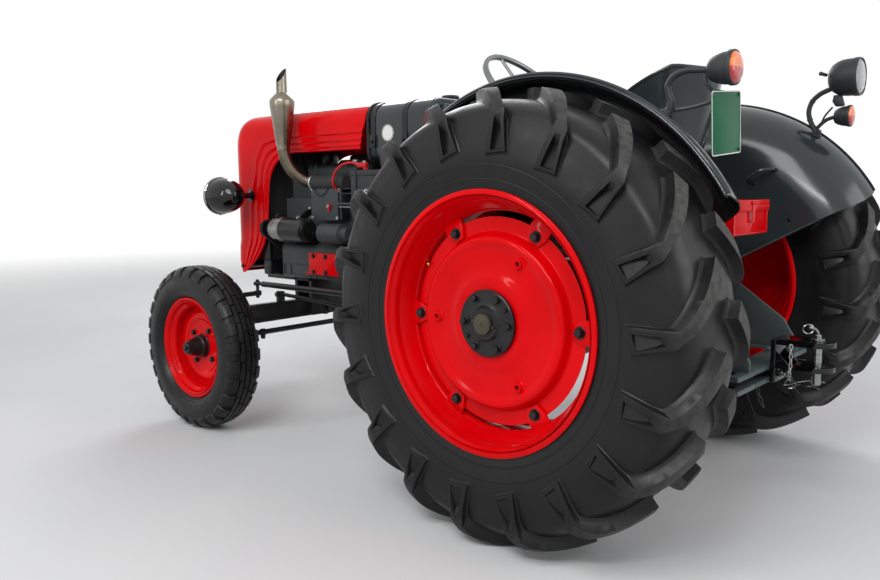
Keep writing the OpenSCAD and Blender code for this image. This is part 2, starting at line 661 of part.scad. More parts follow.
module dynamo() color(black) place() {
    back = engine_front - 22 - dynamo_len;
    translate([0, dynamo_y, dynamo_z]) {
        bar_x(back, engine_front - 60, dynamo_r);
        bar_x(back - 12, back + 1, dynamo_r - 12);
        bar_x(engine_front - 61, engine_front - 22, dynamo_r - 8);
        bar_x(engine_front - 23, engine_front + 16, 12);
        bar_x(engine_front + 14, engine_front + 34, 40);
    }
    // Cradle under the dynamo, and the slotted strap over it
    across(back + 20, engine_front - 70) polygon([[block_half + seat_gap, 797], [dynamo_y + 10, 804], [dynamo_y + 10, dynamo_z - 30],
        [dynamo_y - 30, dynamo_z - 30], [block_half + seat_gap, 830]]);
    across(back + 40, back + 52) polygon([[block_half + seat_gap, 955], [dynamo_y - 20, dynamo_z + 40], [dynamo_y + 10, dynamo_z + 48],
        [block_half + seat_gap, 985]]);
}
starter_r = 45;
starter_z = 850;
module starter() color(cast_green) place() {
    translate([0, engine_half + starter_r + 4, starter_z]) {
        bar_x(engine_back - 5, engine_back + engine_len * 0.26, starter_r);
        bar_x(engine_back + engine_len * 0.26 - 1, engine_back + engine_len * 0.26 + 10, starter_r - 10);
        bar_x(engine_back - 45, engine_back - 4, 32);
    }
    block([engine_back + 10, block_half + seat_gap, starter_z - 16], [engine_back + 60, engine_half + 30, starter_z + 16]);
}
pipe_y = 185;
pipe_z = 1080;
pipe_end = 1545;
module manifold() color(black) place() {
    translate([0, pipe_y, pipe_z]) bar_x(engine_back, pipe_end, 34);
    for (x = [1370, 1440, 1510]) translate([x, 0, pipe_z - 14]) bar_y(head_half + seat_gap, pipe_y, 24);
}
stack_x = 1650;
stack_y = 282;
stack_r = 23;
cone_r = 57;
cone_low = 1235;
cone_high = 1446;
shoulder_h = 41;
tail_r = 23.5;
tail_wall = 2;
tail_top = 1600;
slash = 54;
module exhaust() color(steel) place() {
    bent_tube([[pipe_end + seat_gap, pipe_y, pipe_z], [pipe_end + 25, pipe_y, pipe_z], [1600, 222, 1098],
        [1630, 258, 1140], [1646, 277, 1190], [stack_x, stack_y, cone_low + 2]], stack_r, 0.6);
    difference() {
        union() {
            translate([stack_x, stack_y, 0]) rotate_extrude($fn = big_fn)
                polygon([[0, cone_low], [stack_r, cone_low], [cone_r, cone_high - 6], [cone_r, cone_high], [cone_r - 4, cone_high + 10],
                    [tail_r, cone_high + shoulder_h], [tail_r, tail_top], [0, tail_top]]);
            translate([pipe_end - 4, pipe_y, pipe_z]) bar_x(4.5, 18, stack_r + 6);
        }
        // The tail is open and cut slanting, low on the left
        translate([stack_x, stack_y, cone_high + shoulder_h]) cylinder(r = tail_r - tail_wall, h = 200, $fn = big_fn);
        translate([stack_x, stack_y - tail_r, tail_top]) rotate([-slash, 0, 0]) translate([-100, -20, 0]) cube([200, 200, 100]);
    }
}
module radiator() color(black) place() {
    block([radiator_x, -175, sump_z], [radiator_x + 60, 175, 1330]);
    // Fan on the pump's nose
    translate([0, 0, 900]) {
        bar_x(engine_front + 34 + seat_gap, engine_front + 74, 26);
        for (a = [0, 90, 180, 270]) rotate([a, 0, 0]) translate([engine_front + 62, 0, 0])
            rotate([0, 0, 30]) block([-2, -30, 20], [2, 30, 165]);
    }
}

// Battery box beside the tank's post, with its cable to the engine

battery_low = 950;
battery_top = 1128;
housing_top = 900;
module battery_box() color(black) place() {
    block([966, 90, battery_low], [1232, 250, battery_top]);
    block([1085, 90, housing_top + seat_gap], [1200, 160, battery_low + 1]);
}
cable_r = 6;
module battery_cable() color("red") place()
    bent_tube([[1160, 232, battery_top + seat_gap], [1160, 232, 1160], [1290, 236, 1148], [1350, 238, 1070],
        [1360, 232, 1000], [1360, plate_face_y + seat_gap, 1000]], cable_r, 1);

// Fuel tank and its straps

tank_front = 1165;
tank_back = 790;
tank_low = 1150;
tank_half = hood_half - 10;
strap_t = 3;
strap_w = 28;
gearbox_top = 850;
module tank_section(g) {
    r = 64 + g;
    half = tank_half + g;
    top = hood_top - 2 + g;
    low = tank_low - g;
    belly = 60 + g;
    polygon(concat(arc([-half + belly, low + belly], belly, 180, 270, 6), arc([half - belly, low + belly], belly, 270, 360, 6),
        arc([half - r, top - r], r, 0, 90, 8), arc([-half + r, top - r], r, 90, 180, 8)));
}
module fuel_tank() color(cast_green) place() {
    translate([tank_back, 0, 0]) rotate([90, 0, 90]) linear_extrude(tank_front - tank_back) tank_section(0);
    translate([872, 0, hood_top - 3]) cylinder(r = 38, h = 26, $fn = small_fn);
}
// Each strap sits on a saddle; the posts stand on the clutch housing and on the gearbox.
module tank_straps() color(black) place() {
    for (x = [1118, 930]) {
        translate([x, 0, 0]) rotate([90, 0, 90]) linear_extrude(strap_w) difference() {
            tank_section(strap_t + seat_gap);
            tank_section(seat_gap);
        }
        block([x, -140, 1130], [x + strap_w, 140, tank_low - strap_t - seat_gap]);
    }
    block([1118, -40, housing_top + seat_gap], [1118 + strap_w, 40, 1131]);
    for (s = [-1, 1]) block([930, s * 74 - 10, gearbox_top + seat_gap], [930 + strap_w, s * 74 + 10, 1131]);
}

// Gearbox, rear axle and the parts cast with them

box_half = 150;
cover_top = 885;
bell_len = 260;
rear_box_x = 210;
rear_box_half = 185;
bell_back = engine_back - bell_len;
module gearbox_side() {
    polygon([[-rear_box_x, 560], [-rear_box_x + 30, 530], [rear_box_x - 20, 530], [rear_box_x + 70, 600],
        [bell_back - 30, 600], [bell_back + 20, 620], [engine_back - seat_gap, 620], [engine_back - seat_gap, housing_top],
        [bell_back + 20, housing_top], [bell_back - 30, gearbox_top], [-rear_box_x + 16, gearbox_top], [-rear_box_x, gearbox_top - 16]]);
}
module gearbox_plan() {
    half = [[-rear_box_x, rear_box_half - 18], [-rear_box_x + 18, rear_box_half], [rear_box_x - 10, rear_box_half],
        [rear_box_x + 60, box_half], [bell_back - 40, box_half], [bell_back + 40, engine_half], [engine_back - seat_gap, engine_half]];
    polygon(concat(half, [for (i = [len(half) - 1 : -1 : 0]) [half[i][0], -half[i][1]]]));
}
tube_r = 78;
module gearbox() color(cast_green) place() {
    intersection() {
        plate_y(-rear_box_half, rear_box_half) gearbox_side();
        translate([0, 0, 500]) linear_extrude(500) gearbox_plan();
    }
    // Cover over the gears
    block([-150, -120, gearbox_top - 1], [150, 120, cover_top]);
    // Ribs between the shift housing and the bell
    for (x = [420, 620]) block([x, -box_half - 8, 640], [x + 14, box_half + 8, gearbox_top - 30]);
    both_sides() {
        // Trumpet and tube of the rear axle, with the drum of the final drive
        translate([0, rear_box_half - 1, rear_z]) rotate([-90, 0, 0]) cylinder(r1 = 112, r2 = tube_r, h = 120, $fn = big_fn);
        translate([0, 0, rear_z]) bar_y(rear_box_half + 100, 440, tube_r);
        translate([0, 0, rear_z]) difference() {
            union() {
                bar_y(395, drum_y - 24, 158);
                bar_y(drum_y - 25, drum_y, 165);
                translate([0, 361, 0]) rotate([-90, 0, 0]) cylinder(r1 = tube_r, r2 = 140, h = 35, $fn = big_fn);
            }
            bar_y(470, drum_y + 1, axle_shaft_r + run_gap);
        }
        // Lug that takes the front axle's stay
        block([stay_back - 20, 140, stay_low_z - 14], [stay_back + 20, engine_half, 621]);
    }
    // Power take-off shaft in its boss
    translate([0, 0, 600]) bar_x(-rear_box_x - 20, -rear_box_x + 1, 48);
    translate([0, 0, 600]) bar_x(-rear_box_x - 75, -rear_box_x + 1, pto_r);
}

// Drawbar: two cheeks, two plates, and the clevis at their middle

cheek_y = 200;
cheek_t = 12;
plate_back = -510;
plate_t = 15;
plate_gap = 27;
plate_half = 300;
side_hole_y = 255;
module cheek() {
    plate_y(cheek_y, cheek_y + cheek_t)
        polygon([[-205, 760], [-284, 720], [-460, 595], [-508, 517], [-508, drawbar_z - 1], [-150, drawbar_z - 1], [-150, 700]]);
}
module drawbar_plates() color(cast_green) place() {
    difference() {
        union() {
            both_sides() cheek();
            for (z = [drawbar_z - plate_t, drawbar_z - 2 * plate_t - plate_gap])
                block([plate_back, -plate_half, z], [plate_back + 95, plate_half, z + plate_t]);
            for (s = [-1, 1]) block([plate_back + 60, s * 180 - 15, drawbar_z - plate_t - plate_gap - 1], [plate_back + 90, s * 180 + 15, drawbar_z - plate_t + 1]);
            both_sides() block([-190, 185 + seat_gap, 560], [-150, cheek_y + 1, 700]);
        }
        both_sides() translate([plate_back + 40, side_hole_y, drawbar_z - 100]) cylinder(r = side_hole_r, h = 150, $fn = small_fn);
    }
}
clevis_half = 48;
ear_t = 16;
ear_top = 567;
ear_low = 490;
clevis_x = -635;
clevis_round = rear_reach + clevis_x;
module hitch_clevis() color(black) place() {
    difference() {
        union() {
            for (z = [ear_top - ear_t, ear_low - ear_t]) {
                block([clevis_x, -clevis_round, z], [plate_back - 17, clevis_round, z + ear_t]);
                translate([clevis_x, 0, z]) cylinder(r = clevis_round, h = ear_t, $fn = big_fn);
            }
            block([plate_back - 18, -clevis_round, drawbar_z - 2 * plate_t - plate_gap], [plate_back - seat_gap, clevis_round, ear_top]);
        }
        translate([clevis_x, 0, 400]) cylinder(r = pin_r + run_gap, h = 200, $fn = small_fn);
    }
}
module hitch_pin() color(steel) place() {
    translate([clevis_x, 0, 428]) cylinder(r = pin_r, h = ear_top - 428 + 0.5, $fn = small_fn);
    translate([clevis_x, 0, ear_top + seat_gap]) cylinder(r = pin_r + 6, h = 8, $fn = small_fn);
    translate([clevis_x, 0, ear_top + 8]) bent_tube([[0, 0, 0], [0, 0, 22], [18, 8, 34], [46, 20, 30]], 5, 1);
}

// Fenders: a side plate and a crown that rolls over the inner part of the tyre and down to its lip

fender_r = rear_tyre_r + fender_gap;
crown_round = 140;
// Beyond its highest line the crown rolls down through this angle to the outer lip.
roll_a = 60;
roll_round = (fender_out - fender_in - crown_round) / sin(roll_a);
fender_rear_a = 153;
fender_front_a = 24;
module fender_section() {
    crown = arc([fender_r - crown_round, fender_in + crown_round], crown_round, 270, 360, 8);
    roll = arc([fender_r - roll_round, fender_in + crown_round], roll_round, 10, roll_a, 4);
    roll_inner = arc([fender_r - roll_round, fender_in + crown_round], roll_round - fender_t, roll_a, 10, 4);
    inner = arc([fender_r - crown_round, fender_in + crown_round], crown_round - fender_t, 360, 270, 8);
    polygon(concat([[190, fender_in + fender_t], [190, fender_in]], crown, roll, roll_inner, inner));
}
module sector(a0, a1, r) {
    polygon(concat([[0, 0]], [for (i = [0 : 4]) r * [cos(a0 + (a1 - a0) * i / 4), sin(a0 + (a1 - a0) * i / 4)]]));
}
module fender() {
    translate([0, 0, rear_z]) {
        intersection() {
            turned_y() fender_section();
            plate_y(fender_in - 20, fender_out + 20) sector(fender_front_a, fender_rear_a, 1200);
        }
        // Rolled lip along the outer edge
        intersection() {
            turned_y() translate([fender_r - roll_round * (1 - cos(roll_a)), fender_out - 4]) circle(r = 6, $fn = 24);
            plate_y(fender_in - 20, fender_out + 20) sector(fender_front_a, fender_rear_a, 1200);
        }
    }
    // Bracket that stands on the axle tube
    block([-40, 330, rear_z + tube_r + seat_gap], [40, 355, rear_z + 235]);
    block([-40, 330, rear_z + 215], [40, fender_in + 1, rear_z + 235]);
}
module fender_left() color(cast_green) place() fender();
module fender_right() color(cast_green) place() mirror([0, 1, 0]) fender();

module foot_plates() color(cast_green) place() both_sides() {
    block([470, 155, 560], [860, fender_in + 40, 566]);
    block([500, box_half + seat_gap, 566 - 1], [520, 190, 700]);
    block([800, box_half + seat_gap, 566 - 1], [820, 190, 700]);
}

// Seat: a steel shell that wraps round the driver, on a flat spring

seat_x = -35;
seat_z = 1120;
seat_flare = 24;
seat_lean = 6;
// A dish with flared walls, drawn in by w
module seat_bowl(w) {
    translate([0, 0, w]) cylinder(r1 = seat_half - 2 * seat_flare - w, r2 = seat_half - w, h = seat_top - seat_z, $fn = big_fn);
}
module seat() color(cast_green) place() {
    difference() {
        translate([seat_x, 0, seat_z]) rotate([0, -seat_lean, 0]) difference() {
            seat_bowl(0);
            seat_bowl(5);
            translate([0, 0, seat_top - seat_z - 1]) cylinder(r = seat_half * 2, h = 100, $fn = small_fn);
        }
        // The rim falls from the back to the driver's knees
        plate_y(-300, 300) polygon([[seat_x - 260, seat_top + 12], [seat_x - 20, seat_top - 106], [seat_x + 110, seat_z + 90],
            [seat_x + 300, seat_z + 40], [seat_x + 300, 1600], [seat_x - 260, 1600]]);
    }
    block([-60, -30, 1060], [60, 30, seat_z + 2]);
    plate_y(-30, 30) polygon([[-60, 1062], [150, 1080], [300, 1020], [330, gearbox_top + seat_gap],
        [342, gearbox_top + seat_gap], [312, 1030], [155, 1092], [-60, 1074]]);
}

// Toolbox behind the seat

tool_back = -412;
tool_low = 890;
tool_half = 134;
tool_h = 88;
tool_depth = 118;
tool_wall = 4;
lid_h = 24;
lid_lap = 6;
lid_pin_r = 6;
lid_z = tool_low + tool_h;
module toolbox() color(paint_red) place() {
    front = tool_back + tool_depth;
    difference() {
        block([tool_back, -tool_half, tool_low], [front, tool_half, lid_z]);
        block([tool_back + tool_wall, -tool_half + tool_wall, tool_low + tool_wall], [front - tool_wall, tool_half - tool_wall, lid_z + 1]);
    }
    // Hinge ears for the lid's pin
    both_sides() difference() {
        union() {
            block([front - 1, tool_half - 24, 930], [front + 9, tool_half + 20, 960]);
            block([front - 7, tool_half + lid_lap + 4, 930], [front + 11, tool_half + 20, lid_z + lid_h + 2]);
        }
        translate([front + 2, 0, lid_z + lid_h - 6]) bar_y(0, tool_half + 40, lid_pin_r + run_gap);
    }
    // Straps under the box, bolted to the axle housing's cover
    for (s = [-1, 1]) block([tool_back + 20, s * 80 - 12, cover_top + seat_gap], [-100, s * 80 + 12, tool_low]);
}
module toolbox_lid() color(paint_red) place() {
    front = tool_back + tool_depth;
    block([tool_back - lid_lap - 2, -tool_half - lid_lap, lid_z + seat_gap], [front, tool_half + lid_lap, lid_z + lid_h]);
    block([tool_back - lid_lap - 2, -tool_half - lid_lap, lid_z - 10], [tool_back - lid_lap + 1, tool_half + lid_lap, lid_z + 1]);
    translate([front + 2, 0, lid_z + lid_h - 6]) bar_y(-tool_half - 20, tool_half + 20, lid_pin_r);
}

// Lamps at the rear, on bent tubes from the fenders

arm_a = -35.482;
arm_x = fender_r * sin(arm_a);
arm_y = 600;
arm_r = 9;
arm_foot_z = rear_z + fender_r * cos(arm_a);
foot_r = 20;
tail_x = arm_x - 112;
tail_z = arm_foot_z + 90;
work_x = arm_x - 60;
work_z = arm_foot_z + 185;
low_z = arm_foot_z + 48;
plate_x = arm_x - 135;
plate_y0 = 540;
plate_top = arm_foot_z + 41;
module arm_foot() {
    translate([0, arm_y, rear_z]) rotate([0, arm_a, 0]) translate([0, 0, fender_r + seat_gap]) cylinder(r = foot_r, h = 6, $fn = small_fn);
}
module lamp_arms() color(black) place() {
    both_sides() arm_foot();
    bent_tube([[arm_x - 2, arm_y, arm_foot_z + 8], [arm_x - 5, arm_y, arm_foot_z + 60], [arm_x - 50, arm_y, tail_z],
        [tail_x, arm_y, tail_z]], arm_r, 2);
    bent_tube([[arm_x - 2, -arm_y, arm_foot_z + 8], [arm_x - 5, -arm_y, low_z], [arm_x + 10, -arm_y, arm_foot_z + 120],
        [arm_x - 20, -arm_y, work_z], [work_x, -arm_y, work_z]], arm_r, 2);
    rod([arm_x - 5, -arm_y, low_z], [work_x, -arm_y, low_z], arm_r);
    // Strap behind the plate, with its struts to the lamp's tube and to the foot
    block([plate_x + seat_gap, plate_y0 - 30, plate_top - 25], [plate_x + 12, plate_y0 + 70, plate_top]);
    rod([plate_x + 11, arm_y - 10, plate_top - 8], [tail_x + 32, arm_y, tail_z - 4], 5);
    rod([plate_x + 9, plate_y0 + 5, plate_top - 20], [arm_x - 6, arm_y - 12, arm_foot_z + 9], 5);
}
module lamp(p, r, length) {
    translate(p) rotate([0, -90, 0]) rotate_extrude($fn = small_fn * 2)
        polygon([[0, 0], [r * 0.6, 2], [r * 0.92, length * 0.4], [r, length * 0.55], [r, length - 6], [r * 0.9, length], [0, length + 6]]);
}
module rear_lamps() color(black) place() {
    lamp([tail_x - seat_gap, arm_y, tail_z], 44, 74);
    lamp([work_x - seat_gap, -arm_y, work_z], 68, 84);
    lamp([work_x - seat_gap, -arm_y, low_z], 39, 62);
}
plate_half_w = 90;
module number_plate() color("green") place()
    block([plate_x - 3, plate_y0 - plate_half_w, plate_top - 162], [plate_x, plate_y0 + plate_half_w, plate_top]);

// Steering column, wheel and the small controls

module at_wheel() { place() translate([wheel_x, 0, wheel_z]) rotate([0, -wheel_tilt, 0]) children(); }
column_len = 600;
module steering_column() color(cast_green) {
    difference() {
        union() {
            at_wheel() translate([0, 0, -column_len]) cylinder(r = 24, h = column_len - 30, $fn = small_fn);
            place() block([840, -55, gearbox_top + seat_gap], [915, 55, 1010]);
        }
        at_wheel() translate([0, 0, -300]) cylinder(r = 12 + run_gap, h = 400, $fn = small_fn);
    }
    // Steering box at the gearbox's left side
    place() difference() {
        block([850, box_half + seat_gap, 750], [960, drop_y - 26, 840]);
        translate([drop_x, 0, drop_top_z]) bar_y(drop_y - 60, drop_y, 16 + run_gap);
    }
    // Instrument panel on the tank's rear end
    place() block([tank_back - 26, -150, 1200], [tank_back - seat_gap, 150, 1385]);
}
module steering_wheel() color(steel) at_wheel() {
    rotate_extrude($fn = big_fn) translate([wheel_ring_r, 0]) circle(r = 12, $fn = 24);
    translate([0, 0, -30 + move_gap]) cylinder(r = 32, h = 34, $fn = small_fn);
    translate([0, 0, -280]) cylinder(r = 12, h = 260, $fn = small_fn);
    for (a = [0, 120, 240]) rotate([0, 0, a]) rod([20, 0, -12], [wheel_ring_r, 0, 0], 7);
}
module controls() color(black) place() {
    rod([520, 0, gearbox_top + 3], [430, 40, 1120], 8);
    translate([430, 40, 1130]) sphere(r = 20, $fn = small_fn);
    rod([330, -100, gearbox_top + 4], [250, -170, 1060], 7);
    translate([250, -170, 1060]) sphere(r = 17, $fn = small_fn);
    both_sides() {
        rod([760, box_half + seat_gap, 660], [760, 250, 660], 10);
        rod([760, 240, 660], [700, 240, 780], 9);
        block([670, 205, 775], [740, 275, 787]);
    }
}

gearbox();
engine();
side_cover();
dynamo();
starter();
manifold();
exhaust();
radiator();
front_bolster();
front_axle();
battery_box();
battery_cable();
fuel_tank();
tank_straps();
steering_column();
steering_wheel();
fender_left();
fender_right();
foot_plates();
seat();
toolbox();
toolbox_lid();
drawbar_plates();
hitch_clevis();
hitch_pin();
lamp_arms();
rear_lamps();
number_plate();
controls();
hood();
grille();
headlamps();
knuckle_left();
knuckle_right();
tie_rod();
drag_link();
drop_arm();
front_tyre_left();
front_tyre_right();
front_wheel_left();
front_wheel_right();
rear_tyre_left();
rear_tyre_right();
rear_rim_left();
rear_rim_right();
rear_disc_left();
rear_disc_right();
rear_hub_left();
rear_hub_right();
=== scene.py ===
"""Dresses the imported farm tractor: detailed pieces, finishes, studio and the photograph's camera."""

from __future__ import annotations

import json
import logging
import math
from dataclasses import dataclass
from enum import Enum
from typing import Callable, Sequence

import bmesh
import bpy
from mathutils import Matrix, Vector, geometry


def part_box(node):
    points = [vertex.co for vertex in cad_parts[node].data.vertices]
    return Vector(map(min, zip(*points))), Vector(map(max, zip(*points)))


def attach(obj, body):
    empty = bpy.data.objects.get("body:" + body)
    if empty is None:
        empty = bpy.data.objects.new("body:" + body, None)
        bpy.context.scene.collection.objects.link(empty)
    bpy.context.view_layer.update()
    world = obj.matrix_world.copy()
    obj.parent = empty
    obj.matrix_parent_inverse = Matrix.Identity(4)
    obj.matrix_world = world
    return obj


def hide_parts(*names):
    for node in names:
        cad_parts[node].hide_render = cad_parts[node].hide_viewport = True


LOG = logging.getLogger("tractor")
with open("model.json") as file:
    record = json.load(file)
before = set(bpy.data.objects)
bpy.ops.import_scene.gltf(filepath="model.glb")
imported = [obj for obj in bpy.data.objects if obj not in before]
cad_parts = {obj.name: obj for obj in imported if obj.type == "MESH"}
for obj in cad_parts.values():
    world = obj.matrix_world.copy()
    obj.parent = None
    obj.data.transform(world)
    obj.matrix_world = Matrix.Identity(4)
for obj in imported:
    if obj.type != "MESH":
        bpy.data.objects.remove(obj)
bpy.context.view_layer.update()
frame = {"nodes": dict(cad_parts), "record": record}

Point = Sequence[float]
X_AXIS = Vector((1.0, 0.0, 0.0))
Y_AXIS = Vector((0.0, 1.0, 0.0))
Z_AXIS = Vector((0.0, 0.0, 1.0))
REAR_AXLE_X = sum(corner.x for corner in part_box("rear_tyre_left")) / 2


class Body(str, Enum):
    """The CAD bodies that pieces ride on."""

    CHASSIS = "chassis"
    HOOD = "hood"
    LID = "toolbox_lid"
    PIN = "hitch_pin"
    STEERING = "steering_wheel"


class Side(Enum):
    """The tractor's two sides, by the sign of Y."""

    LEFT = 1
    RIGHT = -1

    @property
    def word(self) -> str:
        """Return the side's name as the CAD nodes spell it."""
        return self.name.lower()


def at(x: float, y: float, z: float) -> Vector:
    """Return a place measured from the rear axle, on the ground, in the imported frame.

    Args:
        x: Metres ahead of the rear axle.
        y: Metres to the driver's left.
        z: Metres above the ground.

    Returns:
        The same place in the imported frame.
    """
    return Vector((REAR_AXLE_X + x, y, z))


def paint_rgb(red: int, green: int, blue: int) -> tuple[float, float, float, float]:
    """Return a colour sampled as 0 to 255 in the picture's scale as linear light.

    Args:
        red: Red level.
        green: Green level.
        blue: Blue level.

    Returns:
        Linear red, green, blue and an alpha of 1.
    """
    linear = [c / 12.92 if c <= 0.04045 else ((c + 0.055) / 1.055) ** 2.4
              for c in (red / 255, green / 255, blue / 255)]
    return (linear[0], linear[1], linear[2], 1.0)


class Graph:
    """A material's node tree, with short calls for the patterns that the finishes share."""

    def __init__(self, name: str) -> None:
        """Start a material with one Principled shader read in Object coordinates.

        Args:
            name: The material's name.
        """
        self.material = bpy.data.materials.new(name)
        self.material.use_nodes = True
        self.tree = self.material.node_tree
        self.tree.nodes.clear()
        self.shader = self.add("ShaderNodeBsdfPrincipled")
        output = self.add("ShaderNodeOutputMaterial")
        self.tree.links.new(self.shader.outputs["BSDF"], output.inputs["Surface"])
        self.place = self.add("ShaderNodeTexCoord").outputs["Object"]

    def add(self, kind: str, **values: object) -> bpy.types.Node:
        """Add a node and set its properties."""
        node = self.tree.nodes.new(kind)
        for name, value in values.items():
            setattr(node, name, value)
        return node

    def join(self, source: bpy.types.NodeSocket, target: bpy.types.NodeSocket) -> None:
        """Link one socket to another."""
        self.tree.links.new(source, target)

    def noise(self, scale: float, detail: float = 4.0, stretch: Point | None = None) -> bpy.types.NodeSocket:
        """Return a noise pattern.

        Args:
            scale: Cells per metre.
            detail: Octaves of finer noise.
            stretch: Scale of each axis, for brushed or streaked looks.

        Returns:
            The pattern's 0 to 1 output.
        """
        texture = self.add("ShaderNodeTexNoise")
        texture.inputs["Scale"].default_value = scale
        texture.inputs["Detail"].default_value = detail
        place = self.place
        if stretch is not None:
            mapping = self.add("ShaderNodeMapping")
            mapping.inputs["Scale"].default_value = stretch
            self.join(place, mapping.inputs["Vector"])
            place = mapping.outputs["Vector"]
        self.join(place, texture.inputs["Vector"])
        return texture.outputs["Fac"]

    def ramp(self, source: bpy.types.NodeSocket, low: float, high: float, start: float,
             end: float) -> bpy.types.NodeSocket:
        """Return a pattern moved from one span onto another, clamped.

        Args:
            source: The pattern.
            low: Value that is moved to start.
            high: Value that is moved to end.
            start: Start of the new span.
            end: End of the new span.

        Returns:
            The moved pattern.
        """
        spread = self.add("ShaderNodeMapRange")
        for name, value in (("From Min", low), ("From Max", high), ("To Min", start), ("To Max", end)):
            spread.inputs[name].default_value = value
        self.join(source, spread.inputs["Value"])
        return spread.outputs["Result"]

    def times(self, first: bpy.types.NodeSocket, second: bpy.types.NodeSocket) -> bpy.types.NodeSocket:
        """Return the product of two patterns."""
        product = self.add("ShaderNodeMath", operation="MULTIPLY")
        self.join(first, product.inputs[0])
        self.join(second, product.inputs[1])
        return product.outputs[0]

    def mix(self, factor: bpy.types.NodeSocket, first: object, second: object) -> bpy.types.NodeSocket:
        """Return two colours or colour patterns mixed by a pattern.

        Args:
            factor: Pattern that is 0 for the first and 1 for the second.
            first: A colour, or a pattern of colours.
            second: A colour, or a pattern of colours.

        Returns:
            The mixed colours.
        """
        blend = self.add("ShaderNodeMix", data_type="RGBA")
        self.join(factor, blend.inputs["Factor"])
        for name, value in (("A", first), ("B", second)):
            socket = next(s for s in blend.inputs if s.name == name and s.type == "RGBA")
            if isinstance(value, bpy.types.NodeSocket):
                self.join(value, socket)
            else:
                socket.default_value = value
        return next(s for s in blend.outputs if s.type == "RGBA")

    def bump(self, *layers: tuple[bpy.types.NodeSocket, float, float]) -> None:
        """Stack bump layers onto the shader's normal.

        Args:
            layers: Height pattern, strength, and height in metres of each layer.
        """
        normal = None
        for height, strength, distance in layers:
            node = self.add("ShaderNodeBump")
            node.inputs["Strength"].default_value = strength
            node.inputs["Distance"].default_value = distance
            self.join(height, node.inputs["Height"])
            if normal is not None:
                self.join(normal, node.inputs["Normal"])
            normal = node.outputs["Normal"]
        if normal is not None:
            self.join(normal, self.shader.inputs["Normal"])

    def height(self, low: float, high: float) -> bpy.types.NodeSocket:
        """Return 1 below the height low, falling to 0 at the height high, in metres above the ground."""
        split = self.add("ShaderNodeSeparateXYZ")
        self.join(self.place, split.inputs[0])
        return self.ramp(split.outputs["Z"], low, high, 1.0, 0.0)


@dataclass(frozen=True)
class Enamel:
    """A sprayed enamel with slight orange peel and road dust in its lower parts."""

    name: str
    slot: str
    colour: tuple[float, float, float, float]
    roughness: float = 0.3
    coat: float = 0.0
    texture: float = 0.0
    dust: float = 0.12
    shine: float = 0.3

    def build(self) -> bpy.types.Material:
        """Return the enamel's material."""
        graph = Graph(self.name)
        shader = graph.shader
        shade = tuple(c * 0.78 for c in self.colour[:3]) + (1.0,)
        cloud = graph.ramp(graph.noise(3.0, 3.0), 0.35, 0.7, 0.0, 1.0)
        colour = graph.mix(cloud, self.colour, shade)
        grime = graph.times(graph.height(0.15, 1.1), graph.ramp(graph.noise(14.0, 8.0), 0.42, 0.75, 0.0, self.dust))
        graph.join(graph.mix(grime, colour, (0.16, 0.14, 0.115, 1.0)), shader.inputs["Base Color"])
        rough = graph.ramp(graph.noise(9.0, 6.0), 0.3, 0.75, self.roughness * 0.85, self.roughness * 1.25)
        graph.join(rough, shader.inputs["Roughness"])
        shader.inputs["Coat Weight"].default_value = self.coat
        shader.inputs["Coat Roughness"].default_value = 0.08
        shader.inputs["Specular IOR Level"].default_value = self.shine
        graph.bump((graph.noise(420.0, 2.0), 0.05, 0.0004), (graph.noise(130.0, 5.0), self.texture, 0.0016))
        return graph.material


@dataclass(frozen=True)
class Rubber:
    """Tyre rubber: near black, matt, scuffed grey on what touches the road."""

    name: str
    slot: str

    def build(self) -> bpy.types.Material:
        """Return the rubber's material."""
        graph = Graph(self.name)
        shader = graph.shader
        cloud = graph.ramp(graph.noise(6.0, 6.0), 0.3, 0.75, 0.0, 1.0)
        base = graph.mix(cloud, paint_rgb(12, 12, 14), paint_rgb(22, 22, 23))
        worn = self.worn(graph)
        scuff = graph.times(worn, graph.ramp(graph.noise(55.0, 8.0), 0.3, 0.62, 0.1, 0.42))
        graph.join(graph.mix(scuff, base, paint_rgb(104, 103, 100)), shader.inputs["Base Color"])
        smooth_rubber = graph.ramp(graph.noise(22.0, 5.0), 0.3, 0.7, 0.3, 0.46)
        graph.join(graph.mix(worn, smooth_rubber, (0.72, 0.72, 0.72, 1.0)), shader.inputs["Roughness"])
        shader.inputs["Specular IOR Level"].default_value = 0.28
        graph.bump((graph.noise(700.0, 3.0), 0.16, 0.0006), (graph.noise(60.0, 6.0), 0.08, 0.002))
        return graph.material

    def worn(self, graph: Graph) -> bpy.types.NodeSocket:
        """Return 1 on the lugs' faces and 0 below them, from the piece's own wear attribute."""
        wear = graph.add("ShaderNodeAttribute", attribute_name="wear")
        return wear.outputs["Fac"]


@dataclass(frozen=True)
class BareMetal:
    """Bare or plated metal with brushing and an optional heat tint."""

    name: str
    slot: str
    colour: tuple[float, float, float, float]
    tint: tuple[float, float, float, float]
    roughness: float = 0.3
    brush: Point = (1.0, 1.0, 1.0)
    metallic: float = 1.0

    def build(self) -> bpy.types.Material:
        """Return the metal's material."""
        graph = Graph(self.name)
        shader = graph.shader
        stain = graph.ramp(graph.noise(11.0, 6.0), 0.38, 0.68, 0.0, 1.0)
        graph.join(graph.mix(stain, self.colour, self.tint), shader.inputs["Base Color"])
        grain = graph.noise(160.0, 4.0, self.brush)
        graph.join(graph.ramp(grain, 0.3, 0.7, self.roughness * 0.9, self.roughness * 1.15),
                   shader.inputs["Roughness"])
        shader.inputs["Metallic"].default_value = self.metallic
        graph.bump((grain, 0.03, 0.0003))
        return graph.material


